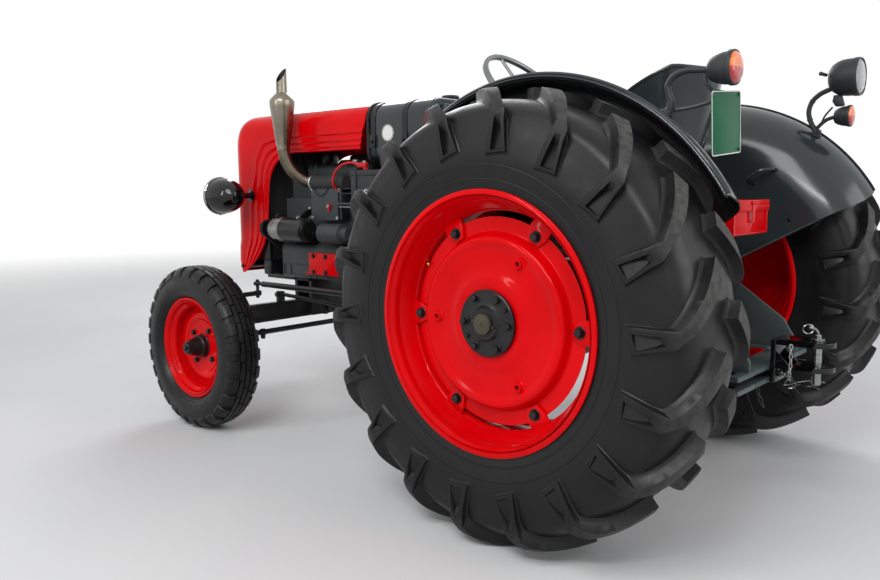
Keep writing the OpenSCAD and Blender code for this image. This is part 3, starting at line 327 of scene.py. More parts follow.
@dataclass(frozen=True)
class Lens:
    """Moulded lamp plastic or glass with a fine ribbed back."""

    name: str
    slot: str
    colour: tuple[float, float, float, float]
    clear: float = 0.0
    ribs: float = 260.0

    def build(self) -> bpy.types.Material:
        """Return the lens's material."""
        graph = Graph(self.name)
        shader = graph.shader
        wave = graph.add("ShaderNodeTexWave", bands_direction="Y")
        wave.inputs["Scale"].default_value = self.ribs
        graph.join(graph.place, wave.inputs["Vector"])
        dark = tuple(c * 0.6 for c in self.colour[:3]) + (1.0,)
        graph.join(graph.mix(wave.outputs["Fac"], self.colour, dark), shader.inputs["Base Color"])
        shader.inputs["Roughness"].default_value = 0.08
        shader.inputs["Transmission Weight"].default_value = self.clear
        shader.inputs["Coat Weight"].default_value = 0.6
        graph.bump((wave.outputs["Fac"], 0.2, 0.0008))
        return graph.material


@dataclass(frozen=True)
class Core:
    """A radiator's core: thin fins across upright tubes, with painted shade in the gaps between the fins."""

    name: str
    slot: str

    def build(self) -> bpy.types.Material:
        """Return the core's material."""
        graph = Graph(self.name)
        waves = []
        for direction, scale in (("Z", 130.0), ("Y", 32.0)):
            wave = graph.add("ShaderNodeTexWave", bands_direction=direction)
            wave.inputs["Scale"].default_value = scale
            graph.join(graph.place, wave.inputs["Vector"])
            waves.append(wave.outputs["Fac"])
        depth = graph.times(*waves)
        # Painted shade: the gaps between the fins are near black and the fins' faces a little lighter, standing in
        # for the shadow deep in the core.
        graph.join(graph.mix(depth, (0.004, 0.004, 0.004, 1.0), (0.05, 0.05, 0.052, 1.0)),
                   graph.shader.inputs["Base Color"])
        graph.shader.inputs["Roughness"].default_value = 0.55
        graph.bump((depth, 0.8, 0.003))
        return graph.material


def aim(origin: Point, axis: Point) -> Matrix:
    """Return the placement that puts a form's own origin at a point and its Z along an axis."""
    turn = Vector(axis).to_track_quat("Z", "Y").to_matrix().to_4x4()
    return Matrix.Translation(Vector(origin)) @ turn


def axes(origin: Point, across: Point, up: Point, out: Point) -> Matrix:
    """Return the placement with a form's own X, Y and Z along three directions."""
    turn = Matrix((Vector(across), Vector(up), Vector(out))).transposed().to_4x4()
    return Matrix.Translation(Vector(origin)) @ turn


def crossways(x: float, y: float = 0.0, z: float = 0.0) -> Matrix:
    """Return the placement that stands a drawing across the tractor, its thickness to the front."""
    return axes((x, y, z), Y_AXIS, Z_AXIS, X_AXIS)


def rearwards(x: float, y: float = 0.0, z: float = 0.0) -> Matrix:
    """Return the placement that stands a drawing across the tractor, its thickness to the rear."""
    return axes((x, y, z), -Y_AXIS, Z_AXIS, -X_AXIS)


def lengthways(x: float, y: float, z: float) -> Matrix:
    """Return the placement that stands a drawing along the tractor, its thickness to the right."""
    return axes((x, y, z), X_AXIS, Z_AXIS, -Y_AXIS)


def shift(x: float, y: float, z: float) -> Matrix:
    """Return the placement that moves a form."""
    return Matrix.Translation((x, y, z))


def turn_z(degrees: float) -> Matrix:
    """Return a turn about a form's own Z axis."""
    return Matrix.Rotation(math.radians(degrees), 4, "Z")


def arc(centre: Point, radius: float, start: float, end: float, steps: int) -> list[tuple[float, float]]:
    """Return points along a circle's arc.

    Args:
        centre: The circle's centre in the drawing's plane.
        radius: The circle's radius.
        start: First angle in degrees, anticlockwise from the drawing's X.
        end: Last angle in degrees.
        steps: Number of straight steps.

    Returns:
        The points from start to end.
    """
    angles = [math.radians(start + (end - start) * i / steps) for i in range(steps + 1)]
    return [(centre[0] + radius * math.cos(a), centre[1] + radius * math.sin(a)) for a in angles]


def rounded(points: Sequence[Point], radius: float, steps: int = 6) -> list[Vector]:
    """Return an open route with its corners rounded.

    Args:
        points: The route's corners.
        radius: Length taken from each side of a corner.
        steps: Straight steps round each corner.

    Returns:
        The smooth route.
    """
    corners = [Vector(p) for p in points]
    route = [corners[0]]
    for before, corner, after in zip(corners, corners[1:], corners[2:]):
        cut_in = min(radius, (before - corner).length * 0.48)
        cut_out = min(radius, (after - corner).length * 0.48)
        first = corner + (before - corner).normalized() * cut_in
        last = corner + (after - corner).normalized() * cut_out
        for i in range(steps + 1):
            t = i / steps
            route.append(first.lerp(corner, t).lerp(corner.lerp(last, t), t))
    return route + [corners[-1]]


class Form:
    """A mesh shaped by bmesh operators. Calls that shape it return it, so that they chain."""

    def __init__(self) -> None:
        """Start with an empty mesh."""
        self.mesh = bmesh.new()

    @classmethod
    def block(cls, size: Point, bevel: float = 0.002, segments: int = 2) -> Form:
        """Return a block about the origin with rounded edges.

        Args:
            size: Lengths along X, Y and Z.
            bevel: Width of the rounded edges.
            segments: Steps across each rounded edge.
        """
        form = cls()
        bmesh.ops.create_cube(form.mesh, size=1.0)
        bmesh.ops.scale(form.mesh, vec=Vector(size), verts=form.mesh.verts)
        return form.soften(bevel, segments)

    @classmethod
    def between(cls, low: Point, high: Point, bevel: float = 0.002, segments: int = 2) -> Form:
        """Return a block given by its low and high corners."""
        size = Vector(high) - Vector(low)
        return cls.block(size, bevel, segments).move(Matrix.Translation((Vector(high) + Vector(low)) / 2))

    def box(self, low: Point, high: Point, bevel: float = 0.002, segments: int = 2) -> Form:
        """Join a block given by its low and high corners, and return this form."""
        return self.add(Form.between(low, high, bevel, segments))

    @classmethod
    def turned(cls, outline: Sequence[Point], steps: int = 96, closed: bool = True, sweep: float = 360.0) -> Form:
        """Return an outline of radius and height spun about Z.

        Args:
            outline: Radius and height of each point.
            steps: Steps of the spin.
            closed: Whether the outline's last point joins its first.
            sweep: Angle of the spin in degrees.
        """
        form = cls()
        corners = [form.mesh.verts.new((r, 0.0, z)) for r, z in outline]
        pairs = list(zip(corners, corners[1:])) + ([(corners[-1], corners[0])] if closed else [])
        edges = [form.mesh.edges.new(pair) for pair in pairs]
        full = abs(sweep - 360.0) < 1e-6
        bmesh.ops.spin(form.mesh, geom=corners + edges, cent=(0, 0, 0), axis=(0, 0, 1), dvec=(0, 0, 0),
                       angle=math.radians(sweep), steps=steps, use_merge=full, use_duplicate=False)
        return form.weld()

    @classmethod
    def plate(cls, outline: Sequence[Point], thickness: float, bevel: float = 0.0, segments: int = 2) -> Form:
        """Return an outline in the X-Y plane drawn out along Z.

        Args:
            outline: The outline's corners.
            thickness: Length along Z.
            bevel: Width of the rounded edges.
            segments: Steps across each rounded edge.
        """
        form = cls()
        face = form.mesh.faces.new([form.mesh.verts.new((p[0], p[1], 0.0)) for p in outline])
        drawn = bmesh.ops.extrude_face_region(form.mesh, geom=[face])
        top = [v for v in drawn["geom"] if isinstance(v, bmesh.types.BMVert)]
        bmesh.ops.translate(form.mesh, vec=(0.0, 0.0, thickness), verts=top)
        return form.soften(bevel, segments)

    @classmethod
    def loft(cls, loops: Sequence[Sequence[Point]], caps: bool = True, ring: bool = True) -> Form:
        """Return a skin bridged over loops that have as many points each.

        Args:
            loops: The sections in order.
            caps: Whether the first and last sections are filled.
            ring: Whether each section is a closed loop.
        """
        form = cls()
        rows = []
        for loop in loops:
            corners = [form.mesh.verts.new(p) for p in loop]
            pairs = list(zip(corners, corners[1:])) + ([(corners[-1], corners[0])] if ring else [])
            rows.append([form.mesh.edges.new(pair) for pair in pairs])
            if caps and ring and (loop is loops[0] or loop is loops[-1]):
                form.mesh.faces.new(corners)
        for lower, upper in zip(rows, rows[1:]):
            bmesh.ops.bridge_loops(form.mesh, edges=lower + upper)
        return form

    @classmethod
    def sheet(cls, columns: int, rows: int, rule: Callable[[int, int], Point]) -> Form:
        """Return a grid of faces whose corners are given by a rule of their column and row."""
        form = cls()
        bmesh.ops.create_grid(form.mesh, x_segments=columns, y_segments=rows, size=0.5)
        return form.bend(lambda v: Vector(rule(round((v.x + 0.5) * columns), round((v.y + 0.5) * rows))))

    @classmethod
    def band(cls, outer: Sequence[Point], inner: Sequence[Point], width: float) -> Form:
        """Return a closed band between two outlines in X-Y with as many points, drawn along Z."""
        loops = [[(p[0], p[1], z) for p in line] for line, z in ((outer, 0.0), (outer, width), (inner, width),
                                                                 (inner, 0.0), (outer, 0.0))]
        return cls.loft(loops, caps=False).weld()

    @classmethod
    def pipe(cls, route: Sequence[Point], radius: float, sides: int = 12, closed: bool = False) -> Form:
        """Return a round bar or pipe along a route.

        Args:
            route: Points that the middle of the bar follows.
            radius: Radius of the bar.
            sides: Faces round the bar.
            closed: Whether the route's end joins its start.
        """
        curve = bpy.data.curves.new("route", "CURVE")
        curve.dimensions = "3D"
        curve.bevel_depth = radius
        curve.bevel_resolution = max(0, sides // 4 - 1)
        curve.use_fill_caps = not closed
        spline = curve.splines.new("POLY")
        spline.points.add(len(route) - 1)
        for point, place in zip(spline.points, route):
            point.co = (place[0], place[1], place[2], 1.0)
        spline.use_cyclic_u = closed
        carrier = bpy.data.objects.new("route", curve)
        bpy.context.scene.collection.objects.link(carrier)
        bpy.context.view_layer.update()
        drawn = bpy.data.meshes.new_from_object(carrier.evaluated_get(bpy.context.evaluated_depsgraph_get()))
        form = cls()
        form.mesh.from_mesh(drawn)
        bpy.data.objects.remove(carrier)
        bpy.data.curves.remove(curve)
        bpy.data.meshes.remove(drawn)
        return form.weld()

    @classmethod
    def bolt(cls, width: float, height: float, washer: float = 1.35) -> Form:
        """Return a hexagon bolt head on its washer, standing on the origin along Z.

        Args:
            width: Size across the head's flats.
            height: Height of the head above the washer.
            washer: The washer's radius as a share of the head's corner radius, or 0 for none.
        """
        corner = width / math.sqrt(3.0)
        base = 0.1 * width if washer else 0.0
        form = cls()
        bmesh.ops.create_cone(form.mesh, cap_ends=True, segments=6, radius1=corner, radius2=corner, depth=height)
        bmesh.ops.translate(form.mesh, vec=(0, 0, base + height / 2), verts=form.mesh.verts)
        form.soften(height * 0.18, 1)
        if washer:
            ring = corner * washer
            form.add(cls.turned([(0, -0.0005), (ring, -0.0005), (ring, base * 0.7), (ring * 0.95, base), (0, base)],
                                20, False))
        return form

    def soften(self, width: float, segments: int = 2, angle: float = 32.0) -> Form:
        """Round every edge that turns by more than an angle in degrees."""
        if width > 0:
            sharp = [e for e in self.mesh.edges if e.is_manifold and e.calc_face_angle(0.0) > math.radians(angle)]
            bmesh.ops.bevel(self.mesh, geom=sharp, offset=width, offset_type="OFFSET", segments=segments, profile=0.5,
                            affect="EDGES", material=-1, clamp_overlap=True)
        return self

    def weld(self) -> Form:
        """Merge corners that share a place, and turn the faces outwards."""
        bmesh.ops.remove_doubles(self.mesh, verts=self.mesh.verts, dist=1e-6)
        bmesh.ops.recalc_face_normals(self.mesh, faces=self.mesh.faces)
        return self

    def move(self, place: Matrix) -> Form:
        """Move the form by a placement."""
        bmesh.ops.transform(self.mesh, matrix=place, verts=self.mesh.verts)
        if place.determinant() < 0:
            bmesh.ops.reverse_faces(self.mesh, faces=self.mesh.faces)
        return self

    def bend(self, rule: Callable[[Vector], Vector]) -> Form:
        """Move every corner by a rule of its place."""
        for corner in self.mesh.verts:
            corner.co = rule(corner.co)
        return self

    def slice(self, axis: Point, start: float, end: float, step: float) -> Form:
        """Cut the faces by planes at regular steps along an axis, so that a bend stays smooth."""
        for i in range(int((end - start) / step) + 1):
            geom = self.mesh.verts[:] + self.mesh.edges[:] + self.mesh.faces[:]
            bmesh.ops.bisect_plane(self.mesh, geom=geom, dist=1e-6, plane_co=Vector(axis) * (start + i * step),
                                   plane_no=axis)
        return self

    def cut(self, point: Point, normal: Point) -> Form:
        """Remove what lies beyond a plane and close the wall that the cut opens."""
        geom = self.mesh.verts[:] + self.mesh.edges[:] + self.mesh.faces[:]
        bmesh.ops.bisect_plane(self.mesh, geom=geom, dist=1e-6, plane_co=point, plane_no=normal, clear_outer=True)
        open_edges = [e for e in self.mesh.edges if e.is_boundary]
        bmesh.ops.bridge_loops(self.mesh, edges=open_edges)
        return self

    def thicken(self, thickness: float) -> Form:
        """Give an open skin a wall inwards of its faces."""
        bmesh.ops.recalc_face_normals(self.mesh, faces=self.mesh.faces)
        bmesh.ops.solidify(self.mesh, geom=self.mesh.faces[:], thickness=thickness)
        return self

    def add(self, other: Form, *places: Matrix) -> Form:
        """Join copies of another form, and return this form.

        Args:
            other: The form to copy.
            places: Placement of each copy; one copy in place when left out.
        """
        mesh = bpy.data.meshes.new("copy")
        other.mesh.to_mesh(mesh)
        for place in places or (Matrix.Identity(4),):
            copy = mesh.copy()
            copy.transform(place)
            if place.determinant() < 0:
                copy.flip_normals()
            self.mesh.from_mesh(copy)
            bpy.data.meshes.remove(copy)
        bpy.data.meshes.remove(mesh)
        return self

    def piece(self, name: str, body: str, finish: bpy.types.Material, slot: str, replaces: Sequence[str] = (),
              angle: float = 34.0) -> bpy.types.Object:
        """Finish the form as a piece of the tractor.

        Args:
            name: The piece's name.
            body: The CAD body that carries it.
            finish: Its material.
            slot: The record's material slot of its finish; not used.
            replaces: CAD nodes that it stands for.
            angle: Edges that turn by more degrees than this stay sharp.

        Returns:
            The finished object.
        """
        mesh = bpy.data.meshes.new(name)
        self.mesh.to_mesh(mesh)
        self.mesh.free()
        mesh.materials.append(finish)
        mesh.shade_smooth()
        mesh.set_sharp_from_angle(angle=math.radians(angle))
        piece = bpy.data.objects.new(name, mesh)
        bpy.context.scene.collection.objects.link(piece)
        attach(piece, body)
        if replaces:
            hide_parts(*replaces)
        LOG.info("%s: %d faces on %s", name, len(mesh.polygons), body)
        return piece


class Palette:
    """The tractor's finishes, each built once."""

    def __init__(self) -> None:
        """Build every finish."""
        self.green = Enamel("dark_green_enamel", "green_paint", paint_rgb(42, 48, 50), 0.17, 0.0, shine=0.45).build()
        self.red = Enamel("red_enamel", "red_paint", paint_rgb(220, 2, 10), 0.13, 0.0, 0.0, 0.03, 0.1).build()
        self.black = Enamel("black_enamel", "black_paint", paint_rgb(20, 21, 23), 0.3, 0.05).build()
        self.gloss_black = Enamel("gloss_black", "black_paint", paint_rgb(10, 11, 13), 0.08, 0.0, 0.0, 0.03,
                                  0.45).build()
        self.casting = Enamel("painted_casting", "casting", paint_rgb(52, 58, 60), 0.42, 0.0, 0.35).build()
        self.tyre = Rubber("tyre_rubber", "tyre").build()
        self.stainless = BareMetal("stainless_pipe", "stainless", paint_rgb(142, 136, 124), paint_rgb(120, 110, 96),
                                   0.28).build()
        self.hot_pipe = BareMetal("heated_pipe", "stainless", paint_rgb(104, 97, 84), paint_rgb(74, 68, 60),
                                  0.36).build()
        self.zinc = BareMetal("zinc_plate", "zinc", paint_rgb(178, 180, 180), paint_rgb(150, 152, 152), 0.34).build()
        self.ring = BareMetal("satin_ring", "ring", paint_rgb(128, 130, 130), paint_rgb(108, 110, 112), 0.3,
                              (1, 1, 1), 0.85).build()
        self.cable = Enamel("red_sheath", "cable", paint_rgb(190, 26, 30), 0.4, 0.1, 0.0, 0.05).build()
        self.lens_orange = Lens("orange_lens", "lamp", paint_rgb(255, 120, 10)).build()
        self.lens_red = Lens("red_lens", "lamp", paint_rgb(190, 16, 20)).build()
        self.glass = Lens("lamp_glass", "lamp", paint_rgb(220, 224, 226), 0.7, 120.0).build()
        self.brass = BareMetal("brass", "zinc", paint_rgb(206, 172, 92), paint_rgb(168, 132, 66), 0.28).build()
        self.plate = Enamel("blank_plate", "plate", paint_rgb(4, 92, 58), 0.3, 0.0, 0.0, 0.04, 0.08).build()
        self.roundel = Enamel("white_badge", "plate", paint_rgb(226, 226, 220), 0.35, 0.3, 0.0, 0.03).build()
        self.chrome = BareMetal("chrome_rim", "zinc", paint_rgb(148, 150, 153), paint_rgb(132, 134, 137), 0.1).build()
        self.hot_casting = Enamel("hot_casting", "black_paint", paint_rgb(44, 44, 44), 0.6, 0.0, 0.5, 0.3).build()
        self.seal = Enamel("rubber_seal", "black_paint", paint_rgb(24, 24, 25), 0.62, 0.0, 0.1, 0.1).build()
        self.dull_black = Enamel("dull_black", "black_paint", paint_rgb(46, 48, 50), 0.5, 0.0, 0.15, 0.2).build()
        self.alloy = BareMetal("cast_alloy", "zinc", paint_rgb(158, 158, 154), paint_rgb(120, 120, 116), 0.42).build()
        self.drawbar = Enamel("drawbar_paint", "casting", paint_rgb(66, 76, 76), 0.36, 0.0, 0.15, 0.25).build()
        self.bright = BareMetal("bright_zinc", "zinc", paint_rgb(150, 152, 152), paint_rgb(118, 120, 120),
                                0.24).build()
        self.core = Core("radiator_fins", "black_paint").build()
        self.dull = BareMetal("axle_end", "casting", paint_rgb(88, 80, 62), paint_rgb(64, 60, 52), 0.45, (1, 1, 1),
                              0.6).build()

    def by_slot(self) -> dict[str, bpy.types.Material]:
        """Return the finish of each of the record's material slots."""
        return {"green_paint": self.green, "red_paint": self.red, "black_paint": self.black, "casting": self.casting,
                "tyre": self.tyre, "stainless": self.stainless, "zinc": self.zinc, "ring": self.ring,
                "cable": self.cable, "lamp": self.glass, "plate": self.plate}

    def dress_nodes(self) -> None:
        """Give every CAD node its slot's finish."""
        finishes = self.by_slot()
        for part in frame["record"]["subparts"]:
            node = frame["nodes"][part["node"]]
            node.data.materials.clear()
            node.data.materials.append(finishes[part["material_slot"]])
            LOG.info("%s wears %s", part["node"], part["material_slot"])


def smooth(points: Sequence[Point], steps: int) -> list[Vector]:
    """Return a smooth curve through points.

    Args:
        points: The places that it passes.
        steps: How many steps it takes from each place to the next.

    Returns:
        The curve's places, the last point among them.
    """
    knots = [Vector(p) for p in points]
    ends = [knots[0] * 2 - knots[1]] + knots + [knots[-1] * 2 - knots[-2]]
    route = []
    for before, start, end, after in zip(ends, ends[1:], ends[2:], ends[3:]):
        for i in range(steps):
            t = i / steps
            route.append(0.5 * (2 * start + (end - before) * t + (2 * before - 5 * start + 4 * end - after) * t * t
                                + (3 * start - before - 3 * end + after) * t ** 3))
    return route + [knots[-1]]


def smooth_outline(points: Sequence[Point], steps: int) -> list[tuple[float, float]]:
    """Return a smooth outline through points in a plane."""
    return [(p[0], p[1]) for p in smooth([(p[0], p[1], 0.0) for p in points], steps)]


def grown(outline: Sequence[Point], distance: float) -> list[tuple[float, float]]:
    """Return an anticlockwise outline with every side moved outwards.

    Args:
        outline: The corners.
        distance: How far each side moves, less than 0 for inwards.

    Returns:
        The moved corners.
    """
    moved = []
    count = len(outline)
    for i, corner in enumerate(outline):
        here = Vector(corner[:2])
        back = (here - Vector(outline[i - 1][:2])).normalized()
        ahead = (Vector(outline[(i + 1) % count][:2]) - here).normalized()
        sides = Vector((back.y + ahead.y, -back.x - ahead.x))
        reach = distance * 2.0 / max(0.35, sides.length_squared)
        moved.append(tuple(here + sides * reach))
    return moved


@dataclass(frozen=True)
class Tread:
    """Wraps flat tread blocks round a tyre: X runs back round the wheel, Y from the middle to the side, Z inwards.

    Each station gives the distance from the tread's middle, then half width and radius of the blocks' face and of
    the carcass under it.
    """

    radius: float
    stations: tuple[tuple[float, float, float, float, float], ...]

    def section(self, along: float) -> tuple[Vector, Vector]:
        """Return the tread's section at a distance from its middle.

        Args:
            along: The distance, over the tread and down the side.

        Returns:
            Half width and radius of the blocks' face, then of the carcass.
        """
        rows = self.stations
        along = min(max(along, rows[0][0]), rows[-1][0])
        index = max(i for i in range(len(rows) - 1) if rows[i][0] <= along + 1e-9)
        first, last = rows[index], rows[index + 1]
        before, after = rows[max(index - 1, 0)], rows[min(index + 2, len(rows) - 1)]
        t = (along - first[0]) / (last[0] - first[0])
        place = []
        for column in range(1, 5):
            a, b = first[column], last[column]
            tangent_a = (b - before[column]) / max(1e-6, last[0] - before[0]) * (last[0] - first[0])
            tangent_b = (after[column] - a) / max(1e-6, after[0] - first[0]) * (last[0] - first[0])
            if index == 0:
                tangent_a = 0.0 if column in (2, 4) else b - a
            place.append((2 * t ** 3 - 3 * t * t + 1) * a + (t ** 3 - 2 * t * t + t) * tangent_a
                         + (3 * t * t - 2 * t ** 3) * b + (t ** 3 - t * t) * tangent_b)
        return Vector(place[:2]), Vector(place[2:])

    def wrap(self, flat: Vector) -> Vector:
        """Return a flat place wrapped onto the tyre, about Z with the tyre's top at Y."""
        face, carcass = self.section(abs(flat.y))
        half, radius = face.lerp(carcass, flat.z)
        angle = flat.x / self.radius
        return Vector((radius * math.sin(angle), radius * math.cos(angle), math.copysign(half, flat.y)))

    def carcass_edge(self, steps: int) -> list[tuple[float, float]]:
        """Return the carcass's radius and half width from its middle to the last station."""
        end = self.stations[-1][0]
        edge = [self.section(end * i / steps)[1] for i in range(steps + 1)]
        return [(p.y, p.x) for p in edge]


class Wheel:
    """What the four wheels share: a placement with X to the rear, Y up and Z outwards from the tractor."""

    side: Side
    track: float
    centre: Vector

    def place(self) -> Matrix:
        """Return the placement of the wheel's own frame."""
        return axes(self.centre + Y_AXIS * self.side.value * self.track, -X_AXIS, Z_AXIS, Y_AXIS * self.side.value)

    def fit(self, form: Form, node: str, finish: bpy.types.Material, slot: str, name: str = "",
            angle: float = 34.0) -> None:
        """Place a form on the wheel, in the stead of a node where no other name is given."""
        word = self.side.word
        body = f"{'rear' if 'rear' in node else 'front'}_wheel_{word}"
        form.move(self.place()).weld().piece(name or f"{node}_{word}_piece", body, finish, slot,
                                             () if name else (f"{node}_{word}",), angle)


def ring_of(count: int, radius: float, height: float, start: float = 0.0) -> list[Matrix]:
    """Return placements spread round Z, each turned with its angle.

    Args:
        count: Number of places.
        radius: Distance from Z.
        height: Height along Z.
        start: Angle of the first place in degrees from Y, towards X.
    """
    return [turn_z(-start - 360.0 * i / count) @ shift(0.0, radius, height) for i in range(count)]


@dataclass
class RearWheel(Wheel):
    """A rear wheel: lugged tyre, stepped rim, dished disc with its lugs, and the axle's hub."""

    side: Side
    finishes: Palette
    track: float = 0.715
    radius: float = 0.665
    lug_pairs: int = 18
    tread: Tread = Tread(0.665, ((0.0, 0.0, 0.665, 0.0, 0.629), (0.05, 0.05, 0.664, 0.05, 0.628),
                                 (0.1, 0.1, 0.658, 0.098, 0.623), (0.131, 0.13, 0.65, 0.124, 0.614),
                                 (0.16, 0.155, 0.637, 0.144, 0.601), (0.18, 0.168, 0.621, 0.156, 0.587),
                                 (0.203, 0.1765, 0.599, 0.16, 0.566), (0.243, 0.181, 0.56, 0.1655, 0.541),
                                 (0.283, 0.182, 0.52, 0.169, 0.512), (0.323, 0.18, 0.48, 0.171, 0.479),
                                 (0.345, 0.176, 0.458, 0.1705, 0.458)))
    lug_plan: tuple[tuple[float, float], ...] = ((-0.104, 0.047), (-0.062, 0.019), (0.009, 0.092), (0.111, 0.203),
                                                 (0.118, 0.24), (0.143, 0.315), (0.049, 0.329), (0.06, 0.24),
                                                 (0.062, 0.19))
    pocket: tuple[tuple[float, float, float], ...] = ((0.074, 0.318, 0.9), (0.079, 0.226, 0.95), (0.1, 0.224, 0.7),
                                                      (0.132, 0.309, 0.3))

    def __post_init__(self) -> None:
        """Work out the wheel's centre."""
        self.centre = at(0.0, 0.0, self.radius)

    def lug(self) -> Form:
        """Return one flat lug with a flared foot and its side pocket, wrapped onto the tyre."""
        levels = ((0.0, -0.0012), (0.03, 0.0), (0.7, 0.0022), (0.92, 0.005), (1.06, 0.01))
        form = Form.loft([[(x, y, level) for x, y in grown(self.lug_plan, spread)] for level, spread in levels])
        self.sink(form)
        wear = form.mesh.verts.layers.float.new("wear")
        for corner in form.mesh.verts:
            corner[wear] = min(1.0, max(0.0, (0.215 - corner.co.y) / 0.06)) if corner.co.z < 0.02 else 0.0
        form.slice(X_AXIS, -0.11, 0.15, 0.02).slice(Y_AXIS, 0.02, 0.34, 0.014)
        return form.bend(self.tread.wrap).weld()

    def sink(self, form: Form) -> None:
        """Open the flat lug's face over a four-cornered pocket whose floor slopes.

        Args:
            form: The flat lug, whose face lies at height 0.
        """
        mesh = form.mesh
        face = next(f for f in mesh.faces if all(v.co.z < 1e-6 for v in f.verts))
        outer = list(face.edges)
        bmesh.ops.delete(mesh, geom=[face], context="FACES_ONLY")
        top = [mesh.verts.new((x, y, 0.0)) for x, y, depth in self.pocket]
        middle = sum((v.co for v in top), Vector()) / len(top)
        low = []
        for corner, (x, y, depth) in zip(top, self.pocket):
            place = corner.co.lerp(middle, 0.1)
            low.append(mesh.verts.new((place.x, place.y, depth)))
        inner = [mesh.edges.new(pair) for pair in zip(top, top[1:] + top[:1])]
        for first, last, deep_last, deep_first in zip(top, top[1:] + top[:1], low[1:] + low[:1], low):
            mesh.faces.new((first, last, deep_last, deep_first))
        mesh.faces.new(low)
        bmesh.ops.triangle_fill(mesh, use_beauty=True, edges=outer + inner, normal=(0.0, 0.0, -1.0))

    def tyre(self) -> None:
        """Build the tyre: a carcass with fine side rings and two rows of lugs."""
        edge = self.tread.carcass_edge(26)
        side = smooth([(0.458, 0.1705), (0.436, 0.1672), (0.416, 0.1635), (0.398, 0.16), (0.386, 0.1572)], 3)[1:]
        bead = [(0.372, 0.1565), (0.357, 0.156), (0.357, 0.12), (0.374, 0.132), (0.43, 0.147), (0.5, 0.151),
                (0.56, 0.143), (0.598, 0.11), (0.607, 0.0)]
        half = edge + side + bead
        outline = half + [(r, -z) for r, z in reversed(half[1:-1])]
        tyre = Form.turned(outline, 144)
        pitch = 360.0 / self.lug_pairs
        lug = self.lug()
        spots = [turn_z(-pitch * i) for i in range(self.lug_pairs)]
        flip = Matrix.Scale(-1.0, 4, Z_AXIS)
        tyre.add(lug, *spots)
        tyre.add(lug, *[turn_z(-pitch * (i + 0.5)) @ flip for i in range(self.lug_pairs)])
        for radius, half in ((0.4075, 0.1618), (0.4485, 0.169)):
            tyre.add(Form.turned([(radius - 0.003, half - 0.003), (radius - 0.0012, half + 0.0014),
                                  (radius + 0.0012, half + 0.001), (radius + 0.003, half - 0.003)], 144))
        self.fit(tyre, "rear_tyre", self.finishes.tyre, "tyre", angle=38.0)

    def rim(self) -> None:
        """Build the stepped rim with its rolled flanges, rim lugs and valve."""
        step = [(0.366, 0.1655), (0.3755, 0.166), (0.3798, 0.1635), (0.38, 0.1585), (0.376, 0.1555), (0.36, 0.1545),
                (0.356, 0.15), (0.354, 0.098), (0.342, 0.088), (0.33, 0.072), (0.326, 0.066)]
        inner = [(0.3185, 0.066), (0.3215, 0.0775), (0.3255, 0.0815), (0.3355, 0.093), (0.3375, 0.0985),
                 (0.346, 0.104), (0.348, 0.1085), (0.3485, 0.142), (0.351, 0.15), (0.356, 0.1565), (0.36, 0.163)]
        outline = step + [(r, -z) for r, z in reversed(step)] + [(r, -z) for r, z in inner] + inner[::-1]
        rim = Form.turned(outline, 144)
        rim.add(self.rim_lug(), *ring_of(6, 0.0, 0.0, 90.0))
        self.fit(rim, "rear_rim", self.finishes.red, "red_paint", angle=40.0)
        self.valve()

    def rim_lug(self) -> Form:
        """Return one rim lug: a thick plate with cut corners, bent back to the rim."""
        plan = [(-0.034, 0.338), (-0.034, 0.296), (-0.018, 0.262), (0.018, 0.262), (0.034, 0.296), (0.034, 0.338)]
        lug = Form.plate(plan, 0.0085, 0.0018).slice(Y_AXIS, 0.306, 0.336, 0.01)
        lug.box((-0.004, 0.306, -0.022), (0.004, 0.334, 0.001), 0.001)
        return lug.bend(lambda v: Vector((v.x, v.y, v.z + 0.0846 - max(0.0, v.y - 0.306) * 0.35)))

    def valve(self) -> None:
        """Build the brass tyre valve that leans out of the rim's well."""
        stem = Form.turned([(0, 0), (0.0042, 0), (0.0042, 0.012), (0.003, 0.014), (0.003, 0.026), (0.0048, 0.027),
                            (0.0048, 0.039), (0.003, 0.041), (0, 0.041)], 16, False)
        spot = turn_z(59.0) @ shift(0.0, 0.3235, 0.07) @ Matrix.Rotation(math.radians(48.0), 4, "X")
        self.fit(Form().add(stem, spot), "rear_rim", self.finishes.brass, "zinc", f"rear_valve_{self.side.word}")

    def disc(self) -> None:
        """Build the dished disc with its rolled shoulder, pipe bosses and black rim bolts."""
        face = [(0.052, 0.1172), (0.104, 0.1172), (0.128, 0.116), (0.142, 0.1122), (0.158, 0.1096), (0.196, 0.1094),
                (0.214, 0.1112), (0.228, 0.116), (0.238, 0.1166), (0.246, 0.1128), (0.2515, 0.105), (0.2545, 0.093),
                (0.2585, 0.086), (0.266, 0.0838), (0.299, 0.0838), (0.3015, 0.0825)]
        back = [(r - 0.0035, z - 0.008) for r, z in reversed(face)]
        disc = Form.turned(smooth_outline(face, 3) + back, 144)
        boss = Form.turned([(0.0075, -0.002), (0.0175, -0.002), (0.019, 0.001), (0.015, 0.0045), (0.014, 0.01),
                            (0.013, 0.0118), (0.0085, 0.0118), (0.0075, 0.0105)], 28)
        disc.add(boss, *ring_of(3, 0.2, 0.1096, -90.0))
        self.fit(disc, "rear_disc", self.finishes.red, "red_paint", angle=44.0)
        bolts = Form().add(Form.bolt(0.024, 0.013, 1.25), *ring_of(6, 0.2865, 0.0931, 90.0))
        holes = Form.turned([(0, -0.0008), (0.0076, -0.0008), (0.0076, 0.0), (0, 0.0)], 20, False)
        bolts.add(holes, *ring_of(3, 0.2, 0.112, -90.0))
        nut = Form.bolt(0.024, 0.012, 1.3).move(Matrix.Rotation(math.pi, 4, "X"))
        bolts.add(nut, *ring_of(6, 0.2865, 0.0756, 90.0))
        self.fit(bolts, "rear_disc", self.finishes.black, "black_paint", f"rear_disc_bolts_{self.side.word}")

